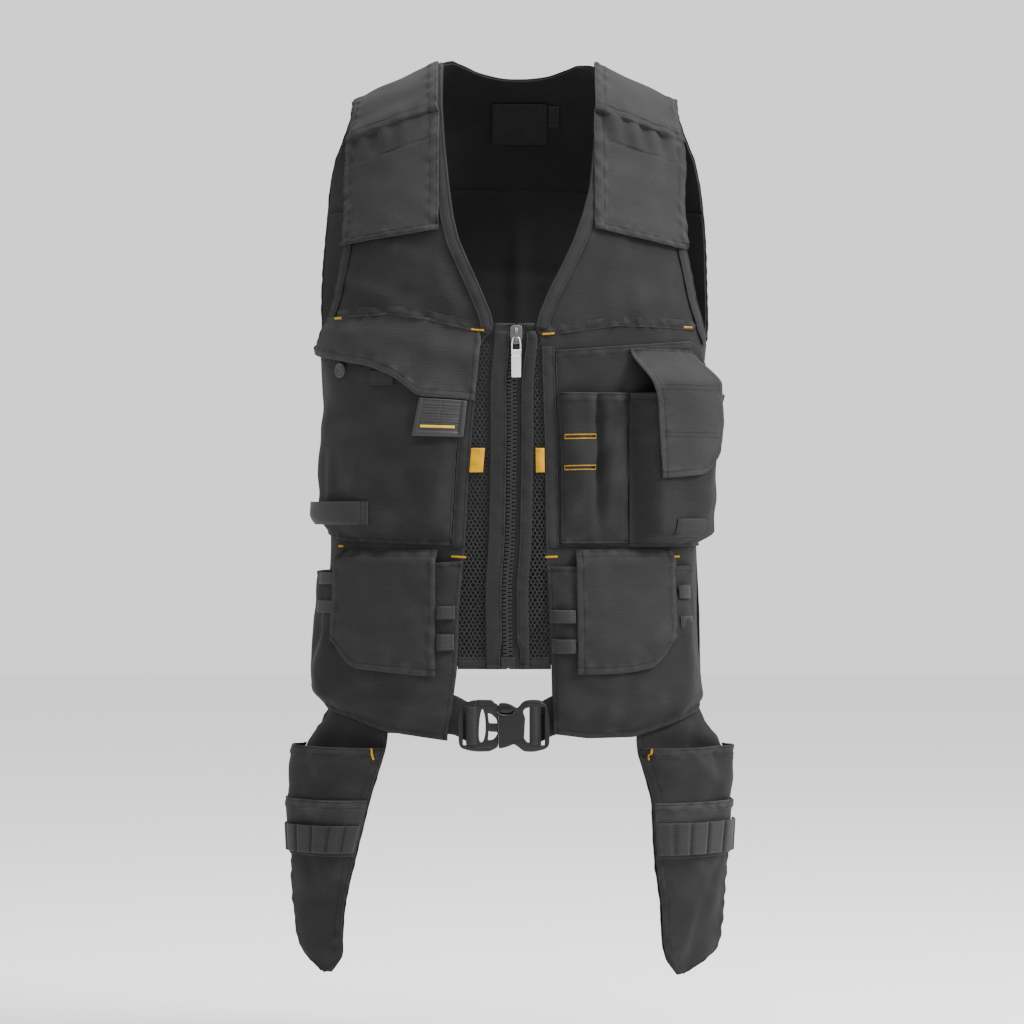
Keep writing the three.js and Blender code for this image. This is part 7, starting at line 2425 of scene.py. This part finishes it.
        self.moulder.make("buckle_socket_frame",
                          [frame, plate(latch, 7.6, (), 2.2), rim, plate(bar, 4.6, (), 1.2),
                                                  crest], PLASTIC, "black_plastic", seat, ("buckle_socket",))


@dataclass
class NeckLabel:
    """The bare label inside the back yoke, with its small size tab."""

    tailor: Tailor

    def build(self) -> None:
        """Cuts the label and the tab."""
        left = BACK_NECK_CENTRE - 29.0
        behind = -(LAYERS.cloth / 2 + 2 * LAYERS.gap + 0.5)
        patch = Patch(1, level(left), level(left + 58.0), level(34.0), level(76.0), FORM.onto(Side.BACK))
        label = self.tailor.sheet("neck_label", patch, behind, LABEL, "inner_cloth", wall=1.0, pitch=3.0,
                                  hems={edge: Hem(0, 0, (1.6,), 0.1)
                                        for edge in ("inner", "outer", "top", "bottom")})
        tab = Patch(1, level(left + 59.5), level(left + 70.5), level(36.0), level(58.0),
                    FORM.onto(Side.BACK))
        self.tailor.sheet("neck_size_tab", tab, behind, LABEL, "inner_cloth", node=False, wall=1.0,
                          pitch=2.0)
        self.tailor.stitch("label_stitches", [label])


@dataclass
class Bartacks:
    """Short dense yellow bars where the pockets take the most strain."""

    tailor: Tailor
    bars: tuple = (
        (-191.0, 268.5, -182.0, 268.5), (-43.0, 282.2, -31.0, 283.0), (27.5, 287.0, 38.5, 286.0),
        (181.0, 277.5, 191.0, 277.5), (-63.0, 508.0, -49.0, 508.6), (30.5, 508.4, 42.0, 508.0),
        (167.0, 508.5, 177.0, 508.5), (-199.0, 498.0, -190.0, 498.0))

    def build(self, cloth: Sequence[bpy.types.Object]) -> None:
        """Sews every bar onto the outermost cloth."""
        probe = Probe(cloth)
        points, normals, ahead = [], [], []
        for s0, drop0, s1, drop1 in self.bars:
            count = max(3, round(math.hypot(s1 - s0, drop1 - drop0) / 0.55))
            s, drop = np.linspace(s0, s1, count), np.linspace(drop0, drop1, count)
            found, toward = probe.touch(s, drop)
            line = np.array([s1 - s0, 0.0, drop0 - drop1])
            across = np.cross(toward, line / np.linalg.norm(line))
            points.append(found + toward * 0.30)
            normals.append(toward)
            ahead.append(across)
        sewn = self.tailor.repeater.scatter(
            "bartack_threads", np.concatenate(points), np.concatenate(normals), np.concatenate(ahead),
            self.tailor.repeater.thread, (2.3 * MM, 0.62 * MM, 0.75 * MM),
            self.tailor.wardrobe.take(YELLOW_THREAD))
        self.tailor.own(sewn, "yellow_tape")


@dataclass
class Studio:
    """Soft studio light, a pale floor and the camera at the photograph's place."""

    distance: float = 3.7
    height: float = -0.4635

    def build(self) -> None:
        """Adds the world, the lights, the floor and the camera."""
        world = bpy.data.worlds.new("studio")
        world.use_nodes = True
        background = world.node_tree.nodes["Background"]
        background.inputs["Color"].default_value = (1.0, 1.0, 1.0, 1.0)
        background.inputs["Strength"].default_value = 1.3
        bpy.context.scene.world = world
        for name, place, size, power in (("key", (2.3, -1.2, 1.6), 1.0, 190.0),
                                         ("fill", (-2.2, -1.8, 0.3), 2.2, 8.0),
                                         ("top", (0.3, -0.5, 1.7), 1.2, 70.0)):
            self.lamp(name, place, size, power)
        floor = mesh_object("floor", np.array([(-9000.0, -9000, -1035), (9000, -9000, -1035),
                                               (9000, 9000, -1035),
                                               (-9000, 9000, -1035)]), [(0, 1, 2, 3)], [self.pale()])
        camera = bpy.data.cameras.new("camera")
        camera.lens = 126.56
        camera.sensor_width = 36.0
        eye = bpy.data.objects.new("camera", camera)
        eye.location = (-0.003, -self.distance, self.height)
        eye.rotation_euler = (math.pi / 2, 0.0, 0.0)
        bpy.context.scene.collection.objects.link(eye)
        bpy.context.scene.camera = eye

    @staticmethod
    def pale() -> bpy.types.Material:
        """The floor's plain finish."""
        made = bpy.data.materials.new("pale_floor")
        made.use_nodes = True
        surface = made.node_tree.nodes["Principled BSDF"]
        surface.inputs["Base Color"].default_value = (0.9, 0.9, 0.9, 1.0)
        surface.inputs["Roughness"].default_value = 0.9
        return made

    @staticmethod
    def lamp(name: str, place: tuple[float, float, float], size: float, power: float) -> None:
        """One soft lamp aimed at the vest."""
        light = bpy.data.lights.new(name, "AREA")
        light.size = size
        light.energy = power
        holder = bpy.data.objects.new(name, light)
        holder.location = place
        toward = Vector((0.0, 0.0, -0.42)) - Vector(place)
        holder.rotation_euler = toward.to_track_quat("-Z", "Y").to_euler()
        bpy.context.scene.collection.objects.link(holder)


def main() -> None:
    """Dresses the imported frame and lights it."""
    logging.basicConfig(level=logging.INFO, format="%(relativeCreated)d ms %(message)s")
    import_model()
    wardrobe = Wardrobe()
    tailor = Tailor(wardrobe)
    moulder = Moulder(tailor)
    shell = Shell(tailor).build()
    ShoulderFlaps(tailor).build()
    FrontZip(tailor, moulder).build()
    cloth = [piece.obj for piece in shell + Facings(tailor).build()]
    cloth += RightChest(tailor, moulder).build()
    cloth += LeftChest(tailor).build()
    cloth += LowerPockets(tailor).build()
    Holsters(tailor).build()
    BeltAndBuckle(tailor, moulder).build()
    NeckLabel(tailor).build()
    Bartacks(tailor).build(cloth)
    bpy.data.objects.remove(tailor.repeater.thread)
    Studio().build()


if __name__ == "__main__":
    main()
